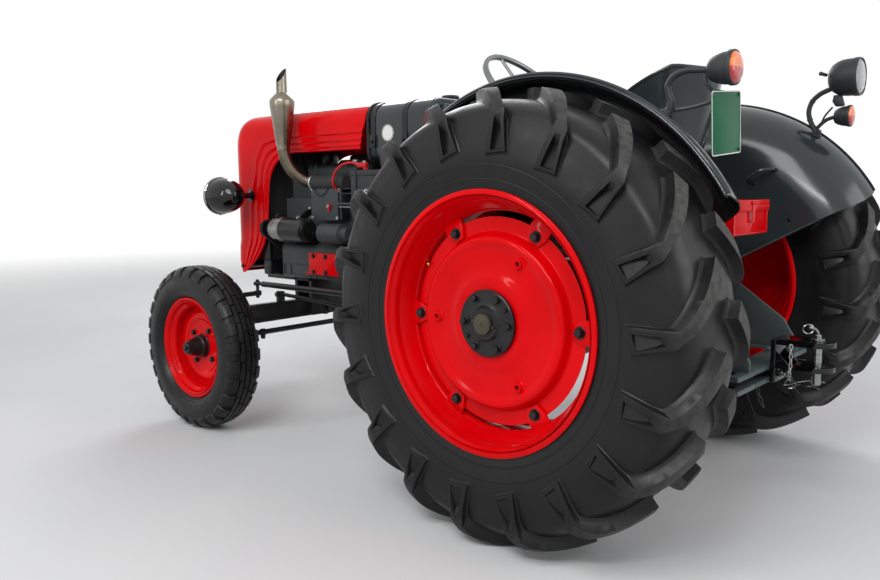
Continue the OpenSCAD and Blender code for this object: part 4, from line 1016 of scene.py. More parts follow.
    def hub(self) -> None:
        """Build the hub's flange, its bolts, the axle's shaft and its dull end."""
        flange = [(0.0, 0.118), (0.094, 0.118), (0.097, 0.1205), (0.097, 0.1295), (0.0945, 0.1318), (0.06, 0.1322),
                  (0.052, 0.1345), (0.0475, 0.14), (0.0455, 0.1432), (0.0, 0.1432)]
        hub = Form.turned(flange, 96, closed=False)
        hub.add(Form.bolt(0.019, 0.0105), *ring_of(6, 0.08, 0.132, 90.0))
        hub.add(Form.bolt(0.012, 0.006, 0.0), *ring_of(2, 0.081, 0.132, 58.0))
        hub.add(Form.turned([(0.0, -0.239), (0.03, -0.239), (0.03, 0.119), (0.0, 0.119)], 48, False))
        self.fit(hub, "rear_hub", self.finishes.black, "black_paint")
        end = Form.turned([(0.0, 0.143), (0.0305, 0.143), (0.0305, 0.15), (0.029, 0.153), (0.005, 0.1536),
                           (0.0036, 0.1512), (0.0, 0.1512)], 48, False)
        keys = Form.between((-0.0035, -0.003, 0.0), (0.0035, 0.003, 0.0095), 0.0008)
        end.add(keys, *ring_of(2, 0.037, 0.14, 100.0))
        self.fit(end, "rear_hub", self.finishes.dull, "casting", f"axle_end_{self.side.word}", 40.0)

    def build(self) -> None:
        """Build the whole wheel."""
        for part in (self.tyre, self.rim, self.disc, self.hub):
            part()


@dataclass
class FrontWheel(Wheel):
    """A front wheel: ribbed implement tyre, stepped rim and disc, and the tapered hub cap."""

    side: Side
    finishes: Palette
    track: float = 0.684
    radius: float = 0.36
    axle_x: float = 1.76
    blocks: int = 27
    tread: Tread = Tread(0.36, ((0.0, 0.0, 0.36, 0.0, 0.35), (0.02, 0.02, 0.3596, 0.02, 0.3496),
                                (0.04, 0.04, 0.3576, 0.0398, 0.3476), (0.058, 0.057, 0.352, 0.056, 0.3425),
                                (0.074, 0.07, 0.3425, 0.067, 0.3345), (0.09, 0.0765, 0.327, 0.0735, 0.3215),
                                (0.108, 0.08, 0.308, 0.077, 0.306), (0.13, 0.0818, 0.286, 0.0805, 0.286)))

    def __post_init__(self) -> None:
        """Work out the wheel's centre."""
        self.centre = at(self.axle_x, 0.0, self.radius)

    def knob(self, length: float, low: float, high: float, lean: float, foot: float) -> Form:
        """Return one tread block wrapped onto the tyre.

        Args:
            length: Its length round the wheel.
            low: Its inner edge, from the tread's middle.
            high: Its outer edge.
            lean: How far its outer edge lags.
            foot: How far its walls spread at the carcass.
        """
        half = length / 2
        plan = [(-half, low), (half, low), (half + lean, high), (-half + lean, high)]
        loops = [[(x, y, level) for x, y in grown(plan, spread)]
                 for level, spread in ((0.0, -0.0007), (0.12, 0.0), (0.75, foot * 0.4), (1.1, foot))]
        form = Form.loft(loops).slice(X_AXIS, -0.06, 0.08, 0.02)
        return form.slice(Y_AXIS, low, high, 0.011).bend(self.tread.wrap).weld()

    def tyre(self) -> None:
        """Build the carcass, three siped ribs and two rows of shoulder blocks."""
        edge = self.tread.carcass_edge(20)
        side = [(r, z) for r, z in smooth([(0.286, 0.0805), (0.265, 0.0812), (0.248, 0.077), (0.234, 0.068),
                                           (0.227, 0.0585)], 4)[1:]]
        bead = [(0.2215, 0.053), (0.2045, 0.0525), (0.2045, 0.04), (0.218, 0.046), (0.25, 0.062), (0.29, 0.0665),
                (0.325, 0.056), (0.336, 0.0)]
        half = edge + side + bead
        tyre = Form.turned(half + [(r, -z) for r, z in reversed(half[1:-1])], 128)
        pitch = 360.0 / self.blocks
        flip = Matrix.Scale(-1.0, 4, Z_AXIS)
        arc_length = math.tau * self.radius / self.blocks
        centre = self.knob(arc_length * 0.95, 0.0001, 0.0098, 0.0, 0.0008)
        ribs = self.knob(arc_length * 0.94, 0.0155, 0.0335, 0.006, 0.0012)
        shoulder = self.knob(arc_length * 0.62, 0.04, 0.098, 0.007, 0.0025)
        for i in range(self.blocks):
            for shape, lag, mirror in ((centre, 0.0, 0), (centre, 0.0, 1), (ribs, 0.5, 0), (ribs, 0.2, 1),
                                       (shoulder, 0.25, 0), (shoulder, 0.75, 1)):
                tyre.add(shape, turn_z(-pitch * (i + lag)) @ (flip if mirror else Matrix.Identity(4)))
        for radius, half_width in ((0.2545, 0.0788), (0.2405, 0.0727)):
            tyre.add(Form.turned([(radius - 0.0022, half_width - 0.002), (radius - 0.0008, half_width + 0.0014),
                                  (radius + 0.0008, half_width + 0.0014), (radius + 0.0022, half_width - 0.002)],
                                 128))
        self.fit(tyre, "front_tyre", self.finishes.tyre, "tyre", angle=36.0)

    def wheel(self) -> None:
        """Build the stepped rim with the disc welded into its well."""
        step = [(0.213, 0.059), (0.219, 0.059), (0.2218, 0.0572), (0.2218, 0.0545), (0.219, 0.0525), (0.206, 0.052),
                (0.204, 0.049), (0.202, 0.033), (0.189, 0.027), (0.184, 0.022)]
        inner = [(0.178, 0.018), (0.18, 0.0262), (0.183, 0.031), (0.194, 0.037), (0.1965, 0.041), (0.1985, 0.049),
                 (0.201, 0.0545), (0.206, 0.0578)]
        outline = step + [(r, -z) for r, z in reversed(step)] + [(r, -z) for r, z in inner] + inner[::-1]
        wheel = Form.turned(outline, 128)
        face = [(0.05, -0.008), (0.104, -0.008), (0.116, -0.006), (0.126, -0.001), (0.138, 0.001), (0.15, -0.002),
                (0.16, -0.008), (0.168, -0.011), (0.1795, -0.011)]
        wheel.add(Form.turned(smooth_outline(face, 3) + [(r, z - 0.0065) for r, z in reversed(face)], 128))
        self.fit(wheel, "front_wheel", self.finishes.red, "red_paint", angle=40.0)

    def cap(self) -> None:
        """Build the black hub with its four bolts and the tapered cap."""
        hub = Form.turned([(0.022, -0.036), (0.05, -0.036), (0.052, -0.034), (0.052, -0.0095), (0.053, -0.008),
                           (0.053, -0.005), (0.0505, -0.003), (0.05, 0.018), (0.048, 0.0205), (0.0445, 0.021),
                           (0.0315, 0.064), (0.0312, 0.066), (0.027, 0.0668), (0.0262, 0.0775), (0.0245, 0.0788),
                           (0.0, 0.0792), (0.0, 0.044), (0.022, 0.044)], 64)
        hub.add(Form.bolt(0.02, 0.0115, 1.2), *ring_of(4, 0.088, -0.0082, 53.0 - 16.0))
        hub.add(Form.turned([(0, 0.0), (0.0105, 0.0), (0.0105, 0.006), (0.0085, 0.008), (0, 0.008)], 20, False),
                shift(0, 0, 0.079))
        self.fit(hub, "front_wheel", self.finishes.black, "black_paint", f"front_cap_{self.side.word}")

    def build(self) -> None:
        """Build the whole wheel."""
        for part in (self.tyre, self.wheel, self.cap):
            part()


@dataclass
class Assembly:
    """A group of pieces drawn in metres from the rear axle, which ride on one body."""

    finishes: Palette
    body: str = Body.CHASSIS

    def put(self, form: Form, name: str, slot: str, *replaces: str, finish: bpy.types.Material | None = None,
            body: str = "", angle: float = 34.0) -> None:
        """Finish a form as a piece of this group.

        Args:
            form: The form, in metres from the rear axle.
            name: The piece's name.
            slot: The material slot of its finish.
            replaces: CAD nodes that it stands for.
            finish: Its material where it isn't the slot's own.
            body: Its body where it isn't the group's own.
            angle: Edges that turn by more degrees than this stay sharp.
        """
        form.move(shift(REAR_AXLE_X, 0.0, 0.0)).weld()
        form.piece(name, body or self.body, finish or self.finishes.by_slot()[slot], slot, replaces, angle)

    def build(self) -> None:
        """Build every piece of the group, in the order of the class's methods."""
        raise NotImplementedError


def mirrored() -> Matrix:
    """Return the placement that mirrors a left-hand form to the right."""
    return Matrix.Scale(-1.0, 4, Y_AXIS)


def both(form: Form) -> Form:
    """Return a left-hand form joined with its mirror image."""
    return Form().add(form, Matrix.Identity(4), mirrored())


@dataclass
class Hood(Assembly):
    """The tilting hood: fluted sides round the arch, rounded nose, grille and headlamps."""

    body: str = Body.HOOD
    half: float = 0.21
    rear: float = 1.172
    shoulder_z: float = 1.34
    shoulder: float = 0.072
    nose: float = 2.195
    tip_z: float = 0.632
    crown: float = 0.15
    crown_z: float = 1.262
    chin: tuple[tuple[float, float], ...] = ((0.762, 0.2143), (0.692, 0.3024))
    corner: float = 0.105
    corner_fall: tuple[float, float, float] = (0.8, 0.06, 0.168)
    steps: int = 5
    fan: tuple[tuple[float, float, float], ...] = ((1.224, 1.22, 0.0), (1.4, 1.22, 0.235), (1.58, 1.22, 0.45),
                                                   (1.708, 1.22, 0.6), (1.7807, 1.2055, 0.72), (1.8424, 1.1644, 0.86),
                                                   (1.8835, 1.1027, 1.0), (1.898, 1.03, 1.12), (1.9015, 0.985, 1.315),
                                                   (1.9065, 0.93, 1.45), (1.914, 0.87, 1.58), (1.932, 0.808, 1.7),
                                                   (1.968, 0.752, 1.802), (2.02, 0.694, 1.89), (2.064, 0.655, 1.955),
                                                   (2.1, 0.632, 2.0))
    flutes: tuple[float, ...] = (0.016, 0.048, 0.088)
    flute_floor: float = 0.0141
    flute_step: tuple[float, float] = (0.0047, 0.01)
    flute_ridge: tuple[float, float, float] = (0.0022, 0.013, 0.007)
    lip: tuple[float, float] = (0.006, 0.004)
    window: tuple[float, float, float] = (0.7725, 1.092, 0.108)
    window_edge: float = 1.117
    rows: tuple[float, ...] = (0.0, 0.002, 0.005, 0.011, 0.015, 0.019, 0.023, 0.027, 0.033, 0.042, 0.047, 0.051,
                               0.055, 0.059, 0.066, 0.08, 0.086, 0.09, 0.094, 0.099, 0.106)

    def section(self, z: float) -> tuple[float, float, float]:
        """Return the shell's half width, front and corner radius at a height.

        Args:
            z: Height above the ground.
        """
        shoulder_y = math.sqrt(max(0.0, self.shoulder ** 2 - max(0.0, z - self.shoulder_z) ** 2))
        half = self.half - self.shoulder + shoulder_y
        front = self.nose - self.crown + math.sqrt(max(0.0, self.crown ** 2 - max(0.0, z - self.crown_z) ** 2))
        front -= sum(max(0.0, start - z) * slope for start, slope in self.chin)
        start, fall, span = self.corner_fall
        radius = self.corner - (self.half - half) - fall * max(0.0, start - z) / span
        return half, front, radius

    def around(self, z: float, t: float) -> Vector:
        """Return a place on the nose at a height; t is 0 at the side, 1 past the corner and 2 at the middle."""
        half, front, radius = self.section(z)
        angle = math.radians(90.0 * min(t, 1.0))
        across = half - radius + radius * math.cos(angle)
        return Vector((front - radius + radius * math.sin(angle), across * min(1.0, 2.0 - t), z))

    def outer(self, w: float) -> Vector:
        """Return a place on the side panel's outer line.

        Args:
            w: 0 at the rear, 1 at the upper corner and 2 at the tip.
        """
        if w <= 1.0:
            return self.around(self.shoulder_z, 0.0).lerp(Vector((self.rear, self.half, self.shoulder_z)), 1.0 - w)
        return self.around(self.shoulder_z - (w - 1.0) * (self.shoulder_z - self.tip_z), 0.0)

    def flute_depth(self, distance: float) -> float:
        """Return how deep the panel lies under its outer face.

        Args:
            distance: Distance from the arch's edge.
        """
        lip, lip_width = self.lip
        step, step_width = self.flute_step
        ridge, ridge_start, ridge_width = self.flute_ridge
        depth = self.flute_floor + lip * max(0.0, 1.0 - distance / lip_width)
        for start in self.flutes:
            t = min(1.0, max(0.0, (distance - start) / step_width))
            swell = math.exp(-((distance - start - ridge_start) / ridge_width) ** 2)
            depth -= step * t * t * (3 - 2 * t) + ridge * swell
        return depth

    def side_panel(self) -> Form:
        """Return the left side's panel, gridded from the arch's edge out to the shoulder and the nose."""
        columns = smooth(self.fan, self.steps)
        far = 5

        def rule(i: int, j: int) -> Point:
            """Return one corner of the panel."""
            start, end = Vector((columns[i].x, self.half, columns[i].y)), self.outer(columns[i].z)
            length = (end - start).length
            scale = min(1.25, length / 0.16)
            last = self.rows[-1] * scale
            reach = last + (length - last) * (j - len(self.rows) + 1) / far
            if j < len(self.rows):
                reach = self.rows[j] * scale
            depth = self.flute_depth(reach / max(scale, 1e-4)) * min(1.0, scale * 1.4)
            if j >= len(self.rows):
                depth *= (length - reach) / max(1e-6, length - last)
            place = start.lerp(end, min(1.0, reach / max(length, 1e-6)))
            return place.x, self.half - depth, place.z

        return Form.sheet(len(columns) - 1, len(self.rows) - 1 + far, rule)

    def shell(self) -> None:
        """Build the hood's shell with its hinge pins."""
        columns = smooth(self.fan, self.steps)
        top = [c.z for c in columns if c.z <= 1.0 + 1e-6]
        front = [self.outer(c.z).z for c in columns if c.z >= 1.0 - 1e-6]
        corner, flat = 10, 6
        shell = self.side_panel()
        shell.add(Form.sheet(corner, len(front) - 1, lambda i, j: self.around(front[j], i / corner)))
        sill_z, arch_z, arch = self.window
        upper = [z for z in front if z >= self.window_edge - 1e-3]
        lower = [z for z in front if z <= sill_z]

        def over_window(i: int, j: int) -> Point:
            """Return one corner of the skin over the window's arch."""
            side = self.around(upper[j], 1.0 + i / flat)
            crown = arch_z + math.sqrt(max(0.0, arch ** 2 - side.y ** 2))
            share = (self.shoulder_z - upper[j]) / (self.shoulder_z - upper[-1])
            return self.around(self.shoulder_z - (self.shoulder_z - crown) * share, 1.0 + i / flat)

        shell.add(Form.sheet(flat, len(upper) - 1, over_window))
        shell.add(Form.sheet(flat, len(lower) - 1, lambda i, j: self.around(lower[j], 1.0 + i / flat)))
        turns = 10

        def over_top(i: int, j: int) -> Point:
            """Return one corner of the shoulder and the top."""
            rise = math.sin(math.radians(90.0 * min(j, turns) / turns)) * self.shoulder * 0.98
            z = self.shoulder_z + rise
            if i < len(top) - 1:
                end = self.around(z, 0.0)
                place = Vector((self.rear, end.y, z)).lerp(end, top[i])
            else:
                t = (i - len(top) + 1) / corner
                place = self.around(z, t if t <= 1.0 else 1.0 + (i - len(top) + 1 - corner) / flat)
            if j > turns:
                edge = place.y
                place.y *= 1.0 - (j - turns) / 4
                ahead = min(1.0, max(0.0, (2.04 - place.x) / 0.2))
                place.z += 0.0045 * ahead * (1.0 - (place.y / max(edge, 1e-4)) ** 2) if edge > 0.05 else 0.0
            return place

        shell.add(Form.sheet(len(top) - 1 + corner + flat, turns + 4, over_top))
        shell = both(shell.weld()).weld().thicken(0.0035)
        pin = Form.turned([(0, 0), (0.008, 0), (0.008, 0.0485), (0, 0.0485)], 24, False)
        shell.add(pin, aim((2.115, 0.15, 0.672), Y_AXIS), aim((2.115, -0.15, 0.672), -Y_AXIS))
        self.put(shell, "hood_shell", "red_paint", "hood", angle=30.0)
        bolts = Form.bolt(0.017, 0.008)
        heads = Form().add(bolts, aim((2.112, 0.2075, 0.664), Y_AXIS), aim((2.112, -0.2075, 0.664), -Y_AXIS))
        self.put(heads, "hood_bolts", "black_paint")

    def grille(self) -> None:
        """Build the grille: a framed row of round-edged bars before a dark screen."""
        frame_line = arc((0.0, 1.092), 0.11, 0.0, 180.0, 24) + [(-0.11, 0.77), (0.11, 0.77)]
        inner = arc((0.0, 1.092), 0.098, 0.0, 180.0, 24) + [(-0.098, 0.782), (0.098, 0.782)]
        face = crossways(2.1755)
        grille = Form().add(Form.band(frame_line, inner, 0.0135).soften(0.002, 2), face)
        for i in range(-5, 6):
            y = i * 0.018
            high = 1.092 + math.sqrt(0.102 ** 2 - y * y)
            grille.box((2.1765, y - 0.0042, 0.776), (2.1885, y + 0.0042, high), 0.0038, 3)
        self.put(grille, "grille_bars", "red_paint", "grille")

    def headlamps(self) -> None:
        """Build the two bullet headlamps: shells and stubs, bright rims, lenses."""
        shell = [(0.0845, 0.004), (0.0868, 0.01), (0.087, 0.022)]
        shell += [(0.087 * math.cos(math.radians(a)) ** 0.92, 0.022 + 0.143 * math.sin(math.radians(a)))
                  for a in range(8, 90, 6)] + [(0.0, 0.165)]
        body, rims, lenses = Form(), Form(), Form()
        neck = [(0.0, 0.0), (0.03, 0.0), (0.03, 0.004), (0.024, 0.007), (0.0145, 0.011), (0.0135, 0.03),
                (0.0185, 0.044), (0.0255, 0.052), (0.0285, 0.066), (0.0, 0.078)]
        cap = Form.turned([(0, 0), (0.0065, 0), (0.0065, 0.004), (0, 0.005)], 16, False)
        for side in (1, -1):
            spot = axes((2.085, side * 0.35, 1.022), (0, side, 0), Z_AXIS, -X_AXIS)
            body.add(Form.turned(shell, 72, False), spot)
            body.add(Form.turned(neck, 40, False), aim((2.016, side * 0.2105, 1.022), (0.1, side, 0.0)))
            body.add(cap, aim((2.062, side * 0.35, 1.1075), Z_AXIS))
            ring = [(0.0795, -0.0058), (0.087, -0.0052), (0.0915, -0.001), (0.0925, 0.004), (0.092, 0.01),
                    (0.0885, 0.013), (0.08, 0.002)]
            rims.add(Form.turned(ring, 96), spot)
            rims.add(Form.bolt(0.007, 0.008, 0.0), aim((2.083, side * 0.35, 0.9345), -Z_AXIS))
            glass = [(0.0, -0.0057), (0.04, -0.005), (0.072, -0.0036), (0.0805, -0.0015), (0.0805, 0.001),
                     (0.0, 0.001)]
            lenses.add(Form.turned(glass, 72, False), spot)
        self.put(body, "headlamp_shells", "lamp", "headlamps", finish=self.finishes.gloss_black)
        self.put(rims, "headlamp_rims", "zinc", finish=self.finishes.chrome)
        self.put(lenses, "headlamp_lenses", "lamp", finish=self.finishes.glass)

    def build(self) -> None:
        """Build the hood."""
        self.shell()
        self.grille()
        self.headlamps()


@dataclass
class Exhaust(Assembly):
    """The manifold and the stainless stack with its cone and slash-cut tail."""

    foot: Vector = Vector((1.65, 0.282, 0.0))

    def build(self) -> None:
        """Build the pipe, the cone, the tail and the manifold."""
        route = [(1.5453, 0.185, 1.08), (1.556, 0.1855, 1.08), (1.572, 0.19, 1.0815), (1.6, 0.219, 1.098),
                 (1.628, 0.255, 1.138), (1.6445, 0.2755, 1.188), (1.65, 0.282, 1.237)]
        pipe = Form.pipe(smooth(route, 7), 0.0275, 40)
        self.put(pipe, "exhaust_downpipe", "stainless", finish=self.finishes.hot_pipe)
        stack = Form()
        cone = [(0.0272, 1.228), (0.0295, 1.236), (0.0288, 1.241), (0.0345, 1.262), (0.056, 1.428), (0.0572, 1.44),
                (0.0566, 1.4445), (0.0572, 1.449), (0.0545, 1.458), (0.029, 1.4845), (0.024, 1.4885), (0.0238, 1.494),
                (0.0235, 1.6)]
        inner = [(r - 0.0016, z) for r, z in reversed(cone[-3:])] + [(0.0, 1.488)]
        shell = Form.turned(cone + inner, 72, False)
        shell.cut((0.0, 0.0, 1.5675), (0.0, 0.809, 0.588))
        stack.add(shell, Matrix.Translation(self.foot))
        soot = Form.turned([(0.0217, 1.6), (0.0217, 1.489), (0.0, 1.4888)], 48, False)
        soot.cut((0.0, 0.0, 1.5665), (0.0, 0.809, 0.588))
        self.put(soot.move(Matrix.Translation(self.foot)), "exhaust_soot", "black_paint", finish=self.finishes.seal)
        self.put(stack, "exhaust_stack", "stainless", "exhaust", angle=40.0)
        collar = Form.turned([(0.0265, 0.0), (0.0345, 0.0), (0.0365, 0.002), (0.0365, 0.006), (0.0345, 0.008),
                              (0.0265, 0.008)], 40)
        clamp = Form().add(collar, aim((1.5495, 0.185, 1.08), X_AXIS))
        for spin in (35.0, 155.0, 275.0):
            a = math.radians(spin)
            clamp.add(Form.bolt(0.01, 0.007), aim((1.558, 0.185 + 0.0318 * math.cos(a), 1.08 + 0.0318 * math.sin(a)),
                                                  X_AXIS))
        self.put(clamp, "exhaust_clamp", "zinc")
        log = [(0.0, 0.0), (0.026, 0.0), (0.033, 0.006), (0.034, 0.014), (0.034, 0.196), (0.038, 0.2),
               (0.038, 0.2145), (0.024, 0.215), (0.0, 0.215)]
        manifold = Form().add(Form.turned(log, 56, False), aim((1.33, 0.185, 1.08), X_AXIS))
        port = Form.turned([(0.0, 0.0), (0.034, 0.0), (0.034, 0.009), (0.026, 0.014), (0.024, 0.024), (0.026, 0.052),
                            (0.0, 0.052)], 36, False)
        for x in (1.37, 1.44, 1.51):
            manifold.add(port, aim((x, 0.1225, 1.066), Y_AXIS))
            for z in (1.04, 1.092):
                manifold.add(Form.bolt(0.013, 0.008), aim((x - 0.026, 0.1315, z), Y_AXIS),
                             aim((x + 0.026, 0.1315, z), Y_AXIS))
        self.put(manifold, "manifold_casting", "black_paint", "manifold", finish=self.finishes.hot_casting)


@dataclass
class Tank(Assembly):
    """The fuel tank with its straps, cap, blank roundel and the strip that the hood closes on."""

    def outline(self, grown_by: float, steps: int = 8) -> list[tuple[float, float]]:
        """Return the tank's section across the tractor, grown by a distance."""
        half, top, low = 0.2 + grown_by, 1.41 + grown_by, 1.15 - grown_by
        r, belly = 0.064 + grown_by, 0.06 + grown_by
        return (arc((half - belly, low + belly), belly, 270, 360, steps) + arc((half - r, top - r), r, 0, 90, steps)
                + arc((-half + r, top - r), r, 90, 180, steps) + arc((-half + belly, low + belly), belly, 180, 270,
                                                                     steps))

    def build(self) -> None:
        """Build the tank and what it carries."""
        body = Form().add(Form.plate(self.outline(0.0), 0.375, 0.013, 5), crossways(0.79))
        for x in (0.812, 1.14):
            body.add(Form.band(self.outline(0.0022), self.outline(-0.002), 0.007).soften(0.0015, 2), crossways(x))
        body.add(Form.turned([(0.0, 0.0), (0.046, 0.0), (0.044, 0.006), (0.03, 0.009), (0.03, 0.012), (0.0, 0.012)],
                             48, False), shift(0.872, 0, 1.409))
        self.put(body, "fuel_tank_shell", "green_paint", "fuel_tank")
        cap = Form.turned([(0.0, 0.009), (0.034, 0.009), (0.0375, 0.011), (0.038, 0.02), (0.034, 0.0245),
                           (0.012, 0.026), (0.0, 0.0262)], 48, False)
        for place in ring_of(16, 0.0376, 0.0125):
            cap.add(Form.between((-0.002, -0.001, 0.0), (0.002, 0.0014, 0.008), 0.0008), place)
        self.put(cap.move(shift(0.872, 0, 1.409)), "fuel_cap", "black_paint")
        straps = Form()
        for x in (0.93, 1.118):
            straps.add(Form.band(self.outline(0.0036), self.outline(0.0005), 0.028).soften(0.001, 1), crossways(x))
            straps.box((x, -0.14, 1.13), (x + 0.028, 0.14, 1.1465), 0.002)
            for side in (1, -1):
                straps.box((x - 0.002, side * 0.2055 - 0.0035, 1.222), (x + 0.03, side * 0.2055 + 0.0035, 1.276),
                           0.0015)
                straps.add(Form.bolt(0.013, 0.008), aim((x + 0.014, side * 0.2085, 1.249), (0, side, 0)))
                straps.add(Form.pipe([(x + 0.014, side * 0.15, 1.139), (x + 0.014, side * 0.15, 1.118)], 0.005, 10))
        straps.box((1.118, -0.04, 0.9003), (1.146, 0.04, 1.131), 0.003)
        for side in (1, -1):
            straps.box((0.93, side * 0.074 - 0.01, 0.8503), (0.958, side * 0.074 + 0.01, 1.131), 0.002)
        self.put(straps, "tank_strap_bands", "black_paint", "tank_straps")
        strip = Form().add(Form.band(self.outline(0.0085), self.outline(0.0004), 0.015).soften(0.003, 2),
                           crossways(1.1515))
        self.put(strip, "hood_rest_strip", "black_paint", finish=self.finishes.seal)
        badge = Form.turned([(0.0, 0.0), (0.0345, 0.0), (0.0345, 0.0006), (0.0, 0.0009)], 64, False)
        self.put(badge.move(aim((1.046, 0.2, 1.281), Y_AXIS)), "blank_roundel", "plate", finish=self.finishes.roundel)
        ring = Form.turned([(0.0305, 0.0005), (0.0305, 0.0011), (0.0322, 0.0011), (0.0322, 0.0005)], 64)
        self.put(ring.move(aim((1.046, 0.2, 1.281), Y_AXIS)), "roundel_line", "black_paint")


@dataclass
class Fenders(Assembly):
    """The two rear fenders: side plate, crown, beads, turned-down edge and folded rear flange."""

    inner: float = 0.45
    outer: float = 0.65
    bend_start: float = 0.504
    steel: float = 0.0035
    columns: int = 86
    axle_z: float = 0.665
    front_angle: float = 24.0
    rear_angle: float = 151.8
    tuck: float = 2.4

    def profile(self) -> list[tuple[float, float]]:
        """Return the section as radius and distance from the centre line, from the axle out to the beaded lip."""
        line = [(r, 0.0) for r in (0.19, 0.26, 0.34, 0.42, 0.47, 0.5)]
        bend = self.outer - self.inner
        for turn in range(6, 91, 4):
            a = math.radians(turn)
            line.append((self.bend_start + bend * math.sin(a), bend * (1.0 - math.cos(a))))
        line += arc((self.bend_start + bend - 0.0055, bend - 0.001), 0.006, 85, -170, 8)
        return [(r, self.inner + y) for r, y in line]

    def fender(self) -> Form:
        """Return the left fender."""
        profile = self.profile()

        def rule(i: int, j: int) -> Point:
            """Return one corner, with the outer edge rounded off towards both ends."""
            angle = self.front_angle + (self.rear_angle - self.front_angle) * i / self.columns
            radius, across = profile[j]
            share = max(0.0, (across - self.inner - 0.05) / 0.15) ** 2
            middle = (self.front_angle + self.rear_angle) / 2
            angle = middle + (angle - middle) * (1.0 - share * self.tuck / (self.rear_angle - middle))
            a = math.radians(angle)
            return radius * math.cos(a), across, self.axle_z + radius * math.sin(a)

        return Form.sheet(self.columns, len(profile) - 1, rule).thicken(self.steel)

    def flange(self) -> Form:
        """Return the folded edge along the fender's rear end and the bead that stiffens the side plate."""
        a = math.radians(self.rear_angle)
        out = Vector((math.cos(a), 0.0, math.sin(a)))
        lead = Vector((0.0, 0.0, self.axle_z))
        form = Form()
        for r0, r1, y in ((0.2, 0.545, self.inner - 0.0025), (0.2, 0.43, self.inner - 0.0055)):
            form.add(Form.pipe([lead + out * r0 + Y_AXIS * y, lead + out * r1 + Y_AXIS * y], 0.0042, 10))
        return form

    def build(self) -> None:
        """Build both fenders with their brackets and bolts."""
        for side in Side:
            form = self.fender().add(self.flange())
            form.box((-0.04, 0.33, 0.7433), (0.04, 0.355, 0.9), 0.003)
            form.box((-0.04, 0.33, 0.88), (0.04, 0.4495, 0.9), 0.003)
            bolts = Form()
            for x in (-0.022, 0.022):
                bolts.add(Form.bolt(0.018, 0.01), aim((x, 0.34, 0.9), Z_AXIS), aim((x, 0.4485, 0.93), -Y_AXIS))
            for turn in (32.0, 62.0, 92.0, 122.0, 146.0):
                t = math.radians(turn)
                bolts.add(Form.bolt(0.014, 0.006), aim((0.46 * math.cos(t), 0.45, self.axle_z + 0.46 * math.sin(t)),
                                                       -Y_AXIS))
            if side is Side.RIGHT:
                form.move(mirrored())
                bolts.move(mirrored())
            self.put(form, f"fender_shell_{side.word}", "green_paint", f"fender_{side.word}", angle=38.0)
            self.put(bolts, f"fender_bolts_{side.word}", "black_paint")


def bolts(size: float, height: float, out: Point, *spots: Point) -> Form:
    """Return bolt heads of one size that all face one way.

    Args:
        size: Size across the flats.
        height: Height of the heads.
        out: The way that they face.
        spots: Their seats.
    """
    return Form().add(Form.bolt(size, height), *[aim(spot, out) for spot in spots])


def bar(start: Point, end: Point, radius: float, sides: int = 24) -> Form:
    """Return a straight round bar with closed ends."""
    length = (Vector(end) - Vector(start)).length
    bevel = min(radius * 0.2, 0.002)
    outline = [(0, 0), (radius - bevel, 0), (radius, bevel), (radius, length - bevel), (radius - bevel, length),
               (0, length)]
    return Form.turned(outline, sides, False).move(aim(start, Vector(end) - Vector(start)))


